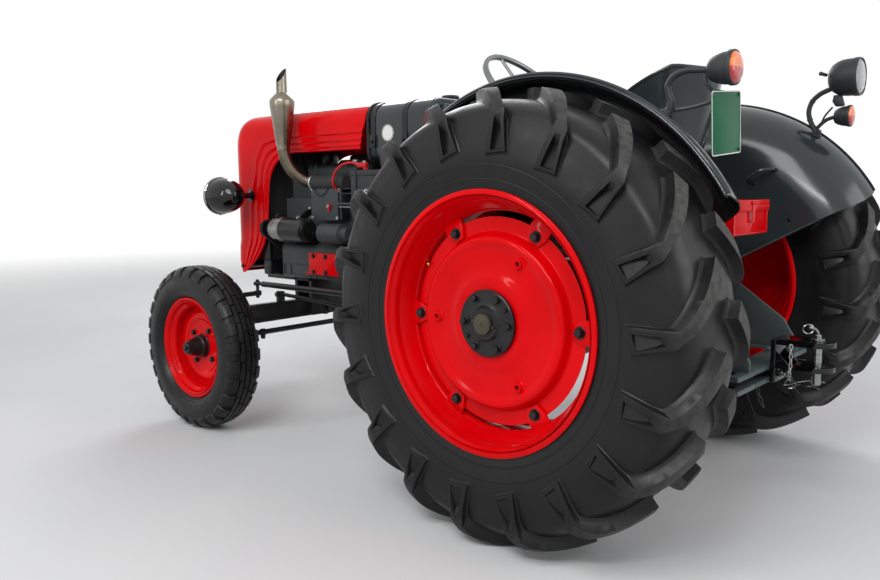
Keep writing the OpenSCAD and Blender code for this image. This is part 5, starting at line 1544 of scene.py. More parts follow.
@dataclass
class Engine(Assembly):
    """The engine with its covers, pump, filter and the machines on its left side."""

    back: float = 1.33
    front: float = 1.84
    dynamo_axis: tuple[float, float] = (0.229, 0.862)
    belt_x: float = 1.864

    def castings(self) -> None:
        """Build the crankcase, head, rocker cover, tappet cover and the framed recesses."""
        half = [(0.159, 0.6252), (0.165, 0.631)] + arc((0.13, 0.76), 0.035, 0, 90, 8) + [(0.13, 1.008)]
        case = half + [(-y, z) for y, z in reversed(half)]
        form = Form().add(Form.plate(case, self.front - self.back, 0.004), crossways(self.back))
        form.box((self.back + 0.012, -0.122, 1.0085), (self.front - 0.04, 0.122, 1.105), 0.009, 3)
        form.box((self.back + 0.006, -0.126, 1.004), (self.front - 0.034, 0.126, 1.012), 0.001, 1)
        lid = [(0.074, 1.104)] + arc((0.044, 1.141), 0.03, 0, 90, 6)
        form.add(Form.plate(lid + [(-y, z) for y, z in reversed(lid)], 0.35, 0.008, 3), crossways(1.39))
        form.box((1.384, -0.08, 1.1045), (1.746, 0.08, 1.1115), 0.002)
        for x in (1.455, 1.675):
            form.box((x - 0.005, -0.0765, 1.112), (x + 0.005, 0.0765, 1.1735), 0.004, 3)
        form.box((1.372, 0.128, 0.912), (1.552, 0.2, 1.058), 0.006, 3)
        form.box((1.368, 0.1985, 0.908), (1.556, 0.2045, 1.062), 0.0015, 2)
        for side in (1, -1):
            for low, high in (((1.624, 0.634), (1.831, 0.64)), ((1.624, 0.686), (1.831, 0.692)),
                              ((1.624, 0.64), (1.63, 0.686)), ((1.825, 0.64), (1.831, 0.686)),
                              ((1.772, 0.64), (1.777, 0.686))):
                form.box((low[0], side * 0.166 - 0.003, low[1]), (high[0], side * 0.166 + 0.003, high[1]), 0.0012, 1)
        for y, x_from, step in ((0.104, 1.366, 0.076), (-0.104, 1.366, 0.076)):
            form.add(bolts(0.017, 0.012, Z_AXIS, *[(x_from + i * step, y, 1.105) for i in range(6)]))
        form.add(bolts(0.012, 0.007, Y_AXIS, *[(x, 0.165, 0.637) for x in (1.345, 1.42, 1.5, 1.58)]))
        for x in (1.43, 1.53, 1.63):
            form.add(Form.turned([(0, 0), (0.021, 0), (0.021, 0.002), (0.017, 0.003), (0.015, 0.0005), (0, 0.0005)],
                                 32, False), aim((x, -0.165, 0.715), -Y_AXIS))
        self.put(form, "engine_castings", "casting", "engine")
        plugs = bolts(0.014, 0.008, Z_AXIS, (1.5, 0.0, 1.171), (1.63, 0.0, 1.171))
        plugs.add(Form.turned([(0, 0), (0.027, 0), (0.027, 0.005), (0.024, 0.007), (0.024, 0.015), (0.021, 0.018),
                               (0, 0.018)], 32, False), shift(1.4626, 0, 1.171))
        plugs.box((1.4426, -0.004, 1.186), (1.4826, 0.004, 1.1888), 0.001)
        self.put(plugs, "rocker_nuts", "zinc")

    def side_plates(self) -> None:
        """Build the red cover, the small red lever and the screws of the left side."""
        outline = [(1.318, 0.752), (1.318, 0.6936), (1.336, 0.67), (1.394, 0.648), (1.62, 0.648), (1.62, 0.752)]
        cover = Form.plate(outline, 0.012, 0.003, 3).move(lengthways(0, 0.1773, 0))
        cover.weld()
        cover.box((1.356, 0.1765, 0.655), (1.359, 0.1785, 0.75), 0.0008, 1)
        cover.box((1.64, 0.165, 0.641), (1.65, 0.1665, 0.66), 0.0005, 1)
        self.put(cover, "side_cover_plate", "red_paint", "side_cover")
        heads = bolts(0.016, 0.007, Y_AXIS, (1.585, 0.1773, 0.737), (1.498, 0.1773, 0.737), (1.408, 0.1773, 0.737),
                      (1.336, 0.1773, 0.735), (1.585, 0.1773, 0.662), (1.498, 0.1773, 0.662))
        self.put(heads, "side_cover_bolts", "black_paint")
        lever = Form.between((-0.006, -0.022, 0.0), (0.006, 0.012, 0.006), 0.003,
                             2).move(aim((1.422, 0.2095, 0.972), Y_AXIS))
        lever.add(bar((1.422, 0.2045, 0.972), (1.422, 0.219, 0.972), 0.0085))
        self.put(lever, "stop_lever", "red_paint")
        screws = Form().add(Form.bolt(0.0095, 0.0035), *[aim(spot, Y_AXIS)
                                                         for spot in ((1.422, 0.219, 0.972), (1.3755, 0.2045, 1.05),
                                                                      (1.3755, 0.2045, 0.92), (1.548, 0.2045, 1.05),
                                                                      (1.548, 0.2045, 0.92), (1.3595, 0.206, 1.046))])
        screws.add(bar((0.975, 0.216, 0.9715), (1.343, 0.216, 0.9715), 0.0055, 16))
        self.put(screws, "side_plate_screws", "zinc")
        wire = Form.pipe(smooth([(1.53, 0.2075, 1.052), (1.508, 0.212, 1.03), (1.482, 0.2135, 1.02),
                                 (1.452, 0.212, 1.03), (1.43, 0.2065, 1.055)], 6), 0.0022, 8)
        self.put(wire, "governor_wire", "black_paint", finish=self.finishes.seal)

    def dynamo(self) -> None:
        """Build the dynamo: black body, bright band, fluted end, pulley, cradle and strap."""
        spot = aim((0.0, *self.dynamo_axis), X_AXIS)
        body = [(0.0, 1.551), (0.03, 1.551), (0.044, 1.5535), (0.0535, 1.56), (0.0545, 1.564), (0.056, 1.566),
                (0.056, 1.715), (0.0545, 1.717), (0.0545, 1.746), (0.05, 1.75), (0.0, 1.75)]
        form = Form().add(Form.turned(body, 64, False), spot)
        form.add(Form.turned([(0, 1.815), (0.012, 1.815), (0.012, 1.854), (0.0425, 1.854), (0.0425, 1.8565),
                              (0.033, 1.8605), (0.033, 1.867), (0.0425, 1.871), (0.0425, 1.8735), (0.014, 1.874),
                              (0.012, 1.88), (0, 1.88)], 48, False), spot)
        form.add(bolts(0.012, 0.006, -X_AXIS, (1.5545, 0.229 + 0.03, 0.862 + 0.015),
                       (1.5545, 0.229 - 0.03, 0.862 - 0.015)))
        cradle = [(0.1303, 0.797), (0.239, 0.804), (0.239, 0.832), (0.199, 0.832), (0.1303, 0.83)]
        form.add(Form.plate(cradle, 0.187, 0.004), crossways(1.583))
        strap = [(0.1303, 0.955), (0.209, 0.902), (0.239, 0.91), (0.239, 0.926), (0.1303, 0.985)]
        form.add(Form.plate(strap, 0.012, 0.003), crossways(1.603))
        self.put(form, "dynamo_body", "black_paint", "dynamo")
        bright = Form().add(Form.turned([(0.0545, 1.717), (0.0568, 1.7175), (0.0568, 1.7435), (0.0545, 1.744)], 64),
                            spot)
        bright.add(Form.turned([(0.0, 1.75), (0.048, 1.75), (0.05, 1.753), (0.05, 1.764), (0.047, 1.802),
                                (0.04, 1.812), (0.0, 1.818)], 64, False), spot)
        for place in ring_of(18, 0.047, 1.783):
            bright.add(Form.block((0.004, 0.006, 0.044), 0.0015), spot @ place)
        bright.add(bolts(0.014, 0.008, Y_AXIS, (1.609, 0.2395, 0.918), (1.7, 0.2395, 0.818)))
        bright.add(bar((1.583, 0.172, 0.963), (1.583, 0.196, 0.963), 0.007))
        self.put(bright, "dynamo_bright_parts", "zinc", finish=self.finishes.alloy)

    def starter(self) -> None:
        """Build the starter motor on its clamp."""
        spot = aim((0.0, 0.214, 0.85), X_AXIS)
        outline = [(0.0, 1.285), (0.028, 1.285), (0.032, 1.289), (0.032, 1.322), (0.043, 1.326), (0.045, 1.329),
                   (0.045, 1.344), (0.0438, 1.345), (0.0438, 1.442), (0.0452, 1.443), (0.0452, 1.461), (0.043, 1.464),
                   (0.03, 1.4645), (0.028, 1.469), (0.012, 1.4722), (0.0, 1.4725)]
        form = Form().add(Form.turned(outline, 56, False), spot)
        form.box((1.34, 0.1303, 0.834), (1.39, 0.195, 0.866), 0.004)
        form.add(bolts(0.011, 0.006, X_AXIS, (1.4645, 0.214, 0.882), (1.4645, 0.214, 0.818)))
        self.put(form, "starter_motor", "casting", "starter")

    def right_side(self) -> None:
        """Build the injection pump, its pipes, the oil filter and the air pipe on the right side."""
        pump = Form.between((1.4575, -0.222, 0.822), (1.6615, -0.1295, 0.905), 0.006, 3)
        pump.box((1.47, -0.215, 0.805), (1.65, -0.135, 0.823), 0.004)
        pump.box((1.48, -0.2265, 0.835), (1.64, -0.2215, 0.89), 0.002)
        pump.add(Form.turned([(0, 0), (0.034, 0), (0.034, 0.03), (0.028, 0.04), (0, 0.042)], 40, False),
                 aim((1.661, -0.178, 0.862), X_AXIS))
        self.put(pump, "injection_pump", "casting", finish=self.finishes.alloy)
        brass = Form()
        for i, x in enumerate((1.4983, 1.5595, 1.6207)):
            brass.add(bar((x, -0.176, 0.904), (x, -0.176, 0.926), 0.012, 16), Matrix.Identity(4))
            brass.add(Form.bolt(0.016, 0.012, 0.0), aim((x, -0.176, 0.925), Z_AXIS))
            goal = 1.41 + i * 0.15
            route = [(x, -0.176, 0.936), (x, -0.178, 0.975), (x * 0.5 + goal * 0.5, -0.172, 1.01 + i * 0.01),
                     (goal, -0.16, 1.06), (goal, -0.142, 1.12), (goal, -0.105, 1.128), (goal, -0.098, 1.112)]
            brass.add(Form.pipe(smooth(route, 6), 0.0031, 10))
            brass.add(Form.bolt(0.018, 0.012), aim((goal, -0.098, 1.105), Z_AXIS))
        self.put(brass, "injection_pipes", "zinc")
        can = Form.turned([(0.0, 0.79), (0.01, 0.79), (0.01, 0.797), (0.034, 0.799), (0.0375, 0.806), (0.0375, 0.905),
                           (0.0395, 0.907), (0.0395, 0.914), (0.037, 0.918), (0.037, 0.928), (0.0, 0.93)], 48,
                          False).move(shift(1.7278, -0.17, 0.0))
        can.add(bar((1.7278, -0.172, 0.92), (1.7278, -0.129, 0.92), 0.02))
        self.put(can, "oil_filter", "black_paint")
        duct = Form.pipe(smooth([(1.4, -0.118, 1.062), (1.4, -0.16, 1.066), (1.42, -0.176, 1.075),
                                 (1.5, -0.178, 1.085), (1.68, -0.172, 1.1), (1.76, -0.15, 1.13), (1.8, -0.12, 1.18)],
                                7), 0.024, 24)
        duct.add(Form.turned([(0.0, 0.0), (0.05, 0.0), (0.052, 0.004), (0.052, 0.082), (0.046, 0.094), (0.0, 0.096)],
                             48, False), shift(1.8, -0.112, 1.17))
        self.put(duct, "air_intake", "black_paint")

    def front_end(self) -> None:
        """Build the timing cover, the pulleys and the fan belt."""
        plan = arc((0.0, 0.72), 0.092, 180, 360, 20) + arc((0.0, 0.88), 0.062, 0, 180, 16)
        cover = Form().add(Form.plate(plan, 0.0145, 0.004, 3), crossways(1.8395))
        spots = [(1.854, y, z) for y, z in (arc((0.0, 0.72), 0.08, 190, 350, 5)
                                            + arc((0.0, 0.88), 0.051, 10, 170, 3))]
        cover.add(bolts(0.011, 0.006, X_AXIS, *spots))
        self.put(cover, "timing_cover", "casting")
        wheels = Form()
        for radius, z in ((0.066, 0.72), (0.04, 0.9)):
            groove = [(0, 1.8535), (0.6 * radius, 1.8535), (radius, 1.854), (radius, 1.8575), (radius - 0.009, 1.861),
                      (radius - 0.009, 1.867), (radius, 1.8705), (radius, 1.874), (0.6 * radius, 1.874),
                      (0.5 * radius, 1.866), (0.02, 1.866), (0.018, 1.883), (0, 1.8835)]
            wheels.add(Form.turned(groove, 56, False), aim((0.0, 0.0, z), X_AXIS))
        self.put(wheels, "belt_pulleys", "black_paint")
        ring = [Vector(p) for centre, radius in (((0.0, 0.72), 0.0615), ((0.0, 0.9), 0.0355),
                                                 (self.dynamo_axis, 0.0375)) for p in arc(centre, radius, 0, 354, 59)]
        hull = [ring[i] for i in geometry.convex_hull_2d(ring)]
        self.put(Form.pipe([(self.belt_x, p.x, p.y) for p in hull], 0.0052, 8, True), "fan_belt", "black_paint",
                 finish=self.finishes.seal)

    def battery(self) -> None:
        """Build the battery box on its shelf, the clamp, the red cable and its lugs."""
        box = Form.between((0.966, 0.092, 0.992), (1.23, 0.2485, 1.106), 0.003)
        box.box((0.963, 0.089, 1.104), (1.233, 0.2515, 1.129), 0.004, 3)
        box.box((0.966, 0.1, 0.95), (1.34, 0.132, 0.96), 0.002)
        box.box((0.966, 0.2, 0.9795), (1.352, 0.25, 0.9905), 0.002)
        box.box((1.085, 0.09, 0.9003), (1.2, 0.16, 0.993), 0.003)
        box.box((1.344, 0.196, 0.912), (1.354, 0.206, 1.052), 0.002)
        for z in (1.03, 1.052):
            box.box((1.232, 0.19, z - 0.0025), (1.35, 0.203, z + 0.0025), 0.001, 1)
        for x in (1.0, 1.195):
            box.add(Form.pipe(rounded([(x, 0.2525, 1.0), (x, 0.2525, 1.134), (x, 0.238, 1.134)], 0.01), 0.0035, 8))
        self.put(box, "battery_case", "black_paint", "battery_box", finish=self.finishes.dull_black)
        route = [(1.2, 0.225, 1.15), (1.24, 0.231, 1.163), (1.29, 0.236, 1.157), (1.334, 0.238, 1.132),
                 (1.356, 0.238, 1.098), (1.363, 0.232, 1.07), (1.361, 0.218, 1.051), (1.36, 0.211, 1.047)]
        cable = Form.pipe(smooth(route, 8), 0.0058, 14)
        cable.box((1.15, 0.212, 1.139), (1.206, 0.236, 1.162), 0.006, 3)
        cable.add(bar((1.16, 0.224, 1.1295), (1.16, 0.224, 1.142), 0.0105))
        self.put(cable, "battery_lead", "cable", "battery_cable")
        metal = bolts(0.013, 0.007, Y_AXIS, (1.134, 0.2495, 1.04), (1.0, 0.2495, 1.04), (1.36, 0.2045, 1.046))
        metal.add(bar((1.165, 0.224, 1.16), (1.165, 0.224, 1.169), 0.0095))
        self.put(metal, "battery_bolts", "zinc")

    def intake(self) -> None:
        """Build the intake trunk on the head's right, with its ribs and outlet."""
        form = Form.between((1.335, -0.145, 1.085), (1.61, -0.08, 1.215), 0.016, 4)
        for x in (1.38, 1.44, 1.5, 1.56):
            form.box((x, -0.1475, 1.095), (x + 0.008, -0.0775, 1.2175), 0.003)
        form.add(Form.turned([(0.0, 0.0), (0.03, 0.0), (0.03, 0.085), (0.027, 0.088), (0.0, 0.088)], 40, False),
                 aim((1.605, -0.1125, 1.165), X_AXIS))
        self.put(form, "intake_trunk", "casting", finish=self.finishes.hot_casting)

    def build(self) -> None:
        """Build the whole engine."""
        for part in (self.castings, self.side_plates, self.dynamo, self.starter, self.right_side, self.front_end,
                     self.battery, self.intake):
            part()


@dataclass
class Cooling(Assembly):
    """The radiator with its tanks, hoses and fan."""

    def build(self) -> None:
        """Build the radiator, the hoses and the fan."""
        tanks = Form.between((1.925, -0.175, 1.235), (1.985, 0.175, 1.322), 0.012, 4)
        tanks.box((1.925, -0.175, 0.6255), (1.985, 0.175, 0.7), 0.008, 3)
        for side in (1, -1):
            tanks.box((1.926, side * 0.168 - 0.007, 0.69), (1.984, side * 0.168 + 0.007, 1.245), 0.002)
        for z in (0.7, 1.235):
            tanks.box((1.922, -0.175, z - 0.004), (1.988, 0.175, z + 0.004), 0.002)
        tanks.add(Form.turned([(0, 1.32), (0.024, 1.32), (0.024, 1.334), (0.034, 1.336), (0.034, 1.346),
                               (0.028, 1.35), (0, 1.352)], 40, False), shift(1.955, 0, 0))
        self.put(tanks, "radiator_tanks", "black_paint", "radiator")
        self.put(Form.between((1.93, -0.162, 0.7), (1.98, 0.162, 1.236), 0.001, 1), "radiator_core", "black_paint",
                 finish=self.finishes.core)
        hoses = Form.pipe(smooth([(1.796, 0.0, 1.075), (1.815, 0.0, 1.085), (1.85, 0.012, 1.15), (1.885, 0.02, 1.24),
                                  (1.93, 0.02, 1.268)], 7), 0.021, 24)
        hoses.add(Form.pipe(smooth([(1.93, -0.12, 0.665), (1.9, -0.12, 0.668), (1.88, -0.11, 0.72),
                                    (1.868, -0.08, 0.86), (1.848, -0.045, 0.895), (1.842, -0.03, 0.9)], 7), 0.018,
                            20))
        self.put(hoses, "water_hoses", "black_paint", finish=self.finishes.seal)
        fan = Form.turned([(0, 1.8745), (0.026, 1.8745), (0.026, 1.886), (0.034, 1.888), (0.034, 1.896),
                           (0.02, 1.899), (0.016, 1.91), (0, 1.911)], 40, False)
        for place in ring_of(4, 0.0, 1.8925):
            blade = Form.plate([(-0.02, 0.026), (0.02, 0.026), (0.034, 0.06), (0.036, 0.14), (0.026, 0.16),
                                (-0.026, 0.16), (-0.036, 0.14), (-0.034, 0.06)], 0.002, 0.0004, 1)
            blade.slice(Y_AXIS, 0.03, 0.15, 0.02).bend(lambda v: Vector((v.x * math.cos(0.45 - v.y), v.y,
                                                                         v.z + v.x * math.sin(0.45 - v.y))))
            fan.add(blade, place)
        fan.move(aim((0.0, 0.0, 0.9), X_AXIS))
        self.put(fan, "fan", "black_paint", finish=self.finishes.alloy)


@dataclass
class FrontAxle(Assembly):
    """The axle beam, its stays, the bolster, the knuckles and the steering links."""

    axle_x: float = 1.76
    kingpin_y: float = 0.54
    beam_z: float = 0.47
    wheel_z: float = 0.36
    link_z: float = 0.612
    tie_z: float = 0.405
    tie_x: float = 1.625
    drop_x: float = 0.905

    def beam(self) -> None:
        """Build the axle beam with its kingpin barrels and the two stays."""
        x, y, z = self.axle_x, self.kingpin_y, self.beam_z
        form = Form.between((x - 0.032, -y, z - 0.042), (x + 0.032, y, z + 0.042), 0.007, 3)
        form.add(Form.turned([(0, -0.046), (0.044, -0.046), (0.044, 0.046), (0, 0.046)], 48, False),
                 aim((x, 0, z), X_AXIS))
        barrel = Form.turned([(0.0191, -0.055), (0.034, -0.055), (0.036, -0.052), (0.036, 0.052), (0.034, 0.055),
                              (0.0191, 0.055)], 40)
        route_high = Vector((x - 0.02, 0.25, 0.55))
        left = Form().add(barrel, shift(x, y, z))
        left.box((x - 0.026, 0.236, z + 0.041), (x + 0.01, 0.264, 0.564), 0.004)
        left.add(bar(route_high, (1.14, 0.176, 0.507), 0.009, 20))
        left.box((1.106, 0.1653, 0.495), (1.144, 0.187, 0.519), 0.003)
        left.add(bolts(0.022, 0.012, Y_AXIS, (1.123, 0.187, 0.507), (x - 0.009, 0.264, 0.55)))
        left.add(bar((x - 0.009, 0.23, 0.55), (x - 0.009, 0.236, 0.55), 0.01))
        left.add(Form.bolt(0.009, 0.008, 0.0), aim((x + 0.036, y, z), X_AXIS))
        form.add(both(left))
        self.put(form, "axle_beam", "black_paint", "front_axle")

    def bolster(self) -> None:
        """Build the bolster that holds the axle's pin, and the hood's hinge."""
        form = Form()
        for x in (1.704, 1.816):
            form.box((x - 0.012, -0.105, 0.434), (x + 0.012, 0.105, 0.6247), 0.005, 3)
        form.box((1.692, -0.105, 0.6), (2.05, 0.105, 0.6247), 0.003)
        form.box((2.03, -0.105, 0.6), (2.05, 0.105, 0.686), 0.004)
        for side in (1, -1):
            form.box((2.049, side * 0.07 - 0.03, 0.658), (2.112, side * 0.07 + 0.03, 0.686), 0.004)
            form.add(bolts(0.02, 0.01, Z_AXIS, (1.9, side * 0.085, 0.6247)))
            form.add(bolts(0.018, 0.01, X_AXIS, (1.828, side * 0.08, 0.6), (1.828, side * 0.08, 0.45)))
        tube = Form.turned([(0.0081, -0.185), (0.018, -0.185), (0.02, -0.183), (0.02, 0.183), (0.018, 0.185),
                            (0.0081, 0.185)], 32)
        form.add(tube, aim((2.115, 0.0, 0.672), Y_AXIS))
        form.add(bar((1.68, 0, self.beam_z), (1.84, 0, self.beam_z), 0.02))
        form.add(Form.bolt(0.044, 0.018), aim((1.828, 0.0, self.beam_z), X_AXIS),
                 aim((1.692, 0.0, self.beam_z), -X_AXIS))
        self.put(form, "front_bolster_casting", "black_paint", "front_bolster")

    def knuckle(self, side: Side) -> None:
        """Build a kingpin with its stub axle and steering arms.

        Args:
            side: The side it stands on.
        """
        x, y = self.axle_x, self.kingpin_y
        form = bar((x, y, 0.37), (x, y, 0.5785), 0.0185)
        form.add(Form.turned([(0, 0.326), (0.03, 0.326), (0.034, 0.331), (0.034, 0.41), (0.031, 0.4135), (0, 0.4135)],
                             40, False), shift(x, y, 0))
        form.add(Form.turned([(0, 0.5265), (0.028, 0.5265), (0.03, 0.529), (0.03, 0.572), (0.027, 0.578), (0, 0.578)],
                             40, False), shift(x, y, 0))
        form.add(Form.bolt(0.03, 0.014), shift(x, y, 0.578))
        form.add(Form.bolt(0.008, 0.008, 0.0), shift(x, y, 0.59))
        form.add(Form.turned([(0, 0.0), (0.034, 0.018), (0.034, 0.09), (0.03, 0.096), (0.0215, 0.098), (0.0215, 0.18),
                              (0, 0.182)], 40, False), aim((x, y, self.wheel_z), Y_AXIS))
        arm = [(-0.135, -0.015), (-0.135, 0.015), (-0.04, 0.015), (0.0, 0.026), (0.024, 0.014), (0.024, -0.014),
               (0.0, -0.026), (-0.04, -0.015)]
        form.add(Form.plate(arm[::-1], 0.022, 0.004, 3), shift(x, y, 0.366))
        form.add(Form.turned([(0, 0.366), (0.018, 0.366), (0.018, 0.388), (0.009, 0.389), (0.0078, 0.391),
                              (0.0078, 0.4125), (0, 0.413)], 28, False), shift(self.tie_x, y, 0))
        form.add(Form.bolt(0.016, 0.009), shift(self.tie_x, y, 0.413))
        if side is Side.LEFT:
            form.box((x - 0.016, y - 0.165, 0.556), (x + 0.016, y - 0.018, 0.576), 0.005, 3)
            form.add(Form.turned([(0, 0.556), (0.018, 0.556), (0.018, 0.577), (0.009, 0.578), (0.0078, 0.58),
                                  (0.0078, 0.62), (0, 0.62)], 28, False), shift(x, y - 0.165, 0))
            form.add(Form.bolt(0.016, 0.01), shift(x, y - 0.165, 0.6195))
            form.add(Form.bolt(0.016, 0.01), aim((x, y - 0.165, 0.556), -Z_AXIS))
        if side is Side.RIGHT:
            form.move(mirrored())
        self.put(form, f"knuckle_{side.word}_forging", "black_paint", f"knuckle_{side.word}",
                 body=f"knuckle_{side.word}")

    def eye(self, spot: Point, along: Point) -> Form:
        """Return a rod's ball joint: a ring with its boot and threaded neck.

        Args:
            spot: The ball's centre.
            along: Direction of the rod.
        """
        form = Form.turned([(0.0082, -0.008), (0.016, -0.008), (0.018, -0.005), (0.0185, 0.0), (0.018, 0.005),
                            (0.016, 0.008), (0.0082, 0.008)], 32)
        form.move(Matrix.Translation(spot))
        start = Vector(spot) + Vector(along) * 0.016
        form.add(bar(start, start + Vector(along) * 0.03, 0.0085, 20))
        return form.add(Form.bolt(0.024, 0.01, 0.0), aim(start + Vector(along) * 0.026, along))

    def links(self) -> None:
        """Build the tie rod, the drag link and the drop arm."""
        y = self.kingpin_y
        tie = self.eye((self.tie_x, y, self.tie_z), -Y_AXIS).add(self.eye((self.tie_x, -y, self.tie_z), Y_AXIS))
        tie.add(bar((self.tie_x, -y + 0.045, self.tie_z), (self.tie_x, y - 0.045, self.tie_z), 0.012, 28))
        for side in (1, -1):
            tie.add(Form.turned([(0.0115, -0.009), (0.0165, -0.009), (0.0165, 0.009), (0.0115, 0.009)], 28),
                    aim((self.tie_x, side * (y - 0.09), self.tie_z), Y_AXIS))
            tie.box((self.tie_x - 0.008, side * (y - 0.09) - 0.008, self.tie_z - 0.03),
                    (self.tie_x + 0.008, side * (y - 0.09) + 0.008, self.tie_z - 0.014), 0.002)
        self.put(tie, "tie_rod_tube", "black_paint", "tie_rod", body="tie_rod")
        link_y = y - 0.165
        link = self.eye((self.axle_x, link_y, self.link_z), -X_AXIS)
        link.add(bar((self.drop_x + 0.016, link_y, self.link_z), (self.axle_x - 0.042, link_y, self.link_z), 0.013,
                     28))
        link.add(Form.turned([(0, -0.008), (0.016, -0.008), (0.018, -0.006), (0.018, 0.006), (0.016, 0.008),
                              (0.008, 0.0085), (0.0078, 0.0216), (0, 0.0217)], 32, False),
                 shift(self.drop_x, link_y, self.link_z))
        self.put(link, "drag_link_tube", "black_paint", "drag_link", body="drag_link")
        low = self.link_z + 0.022
        arm = Form.plate([(-0.03, 0.03), (-0.03, -0.01), (-0.015, -0.06), (-0.015, low - 0.8), (0.015, low - 0.8),
                          (0.015, -0.06), (0.03, -0.01), (0.03, 0.03)], 0.016, 0.004,
                         3).move(lengthways(self.drop_x, 0.31, 0.8))
        arm.weld()
        arm.box((self.drop_x - 0.015, 0.294, low), (self.drop_x + 0.015, link_y + 0.014, low + 0.018), 0.004, 3)
        arm.add(bar((self.drop_x, 0.248, 0.8), (self.drop_x, 0.312, 0.8), 0.0158))
        arm.add(Form.bolt(0.034, 0.014), aim((self.drop_x, 0.3095, 0.8), Y_AXIS))
        arm.add(Form.bolt(0.02, 0.012), shift(self.drop_x, link_y, low + 0.018))
        self.put(arm, "drop_arm_forging", "black_paint", "drop_arm", body="drop_arm")

    def build(self) -> None:
        """Build the whole front axle."""
        self.beam()
        self.bolster()
        for side in Side:
            self.knuckle(side)
        self.links()


def ball(radius: float, spot: Point, steps: int = 28) -> Form:
    """Return a ball at a place."""
    outline = [(max(0.0, radius * math.cos(math.radians(v))), radius * math.sin(math.radians(v)))
               for v in range(-90, 91, 10)]
    return Form.turned(outline, steps, False).move(Matrix.Translation(spot))


def holed(reach: Callable[[Vector], float], hole: float, thickness: float, bevel: float = 0.0015) -> Form:
    """Return a plate about a round hole at the origin.

    Args:
        reach: Distance of the plate's edge from the hole's middle in a direction.
        hole: Radius of the hole.
        thickness: Length along Z.
        bevel: Width of the rounded edges.
    """
    rays = [Vector((math.cos(a), math.sin(a), 0.0)) for a in (math.radians(5.0 * i) for i in range(72))]
    return Form.band([ray * reach(ray) for ray in rays], [ray * hole for ray in rays],
                     thickness).soften(bevel, 2, 50.0)


def links(route: Sequence[Point], wire: float, length: float) -> Form:
    """Return a chain of oval links along a route, each turned a quarter from the last.

    Args:
        route: Where each link starts and ends.
        wire: Radius of the links' wire.
        length: Length of a link.
    """
    chain = Form()
    half = length / 2 - wire * 2
    oval = arc((half * 0.5, 0.0), wire * 2.1, -90, 90, 6) + arc((-half * 0.5, 0.0), wire * 2.1, 90, 270, 6)
    for i, (start, end) in enumerate(zip(route, route[1:])):
        way = (Vector(end) - Vector(start)).normalized()
        side = way.orthogonal().normalized()
        turn = Matrix.Rotation(math.pi / 2 * (i % 2), 3, way)
        place = axes((Vector(start) + Vector(end)) / 2, way, turn @ side, way.cross(turn @ side))
        chain.add(Form.pipe([(x, y, 0.0) for x, y in oval], wire, 8, True), place)
    return chain


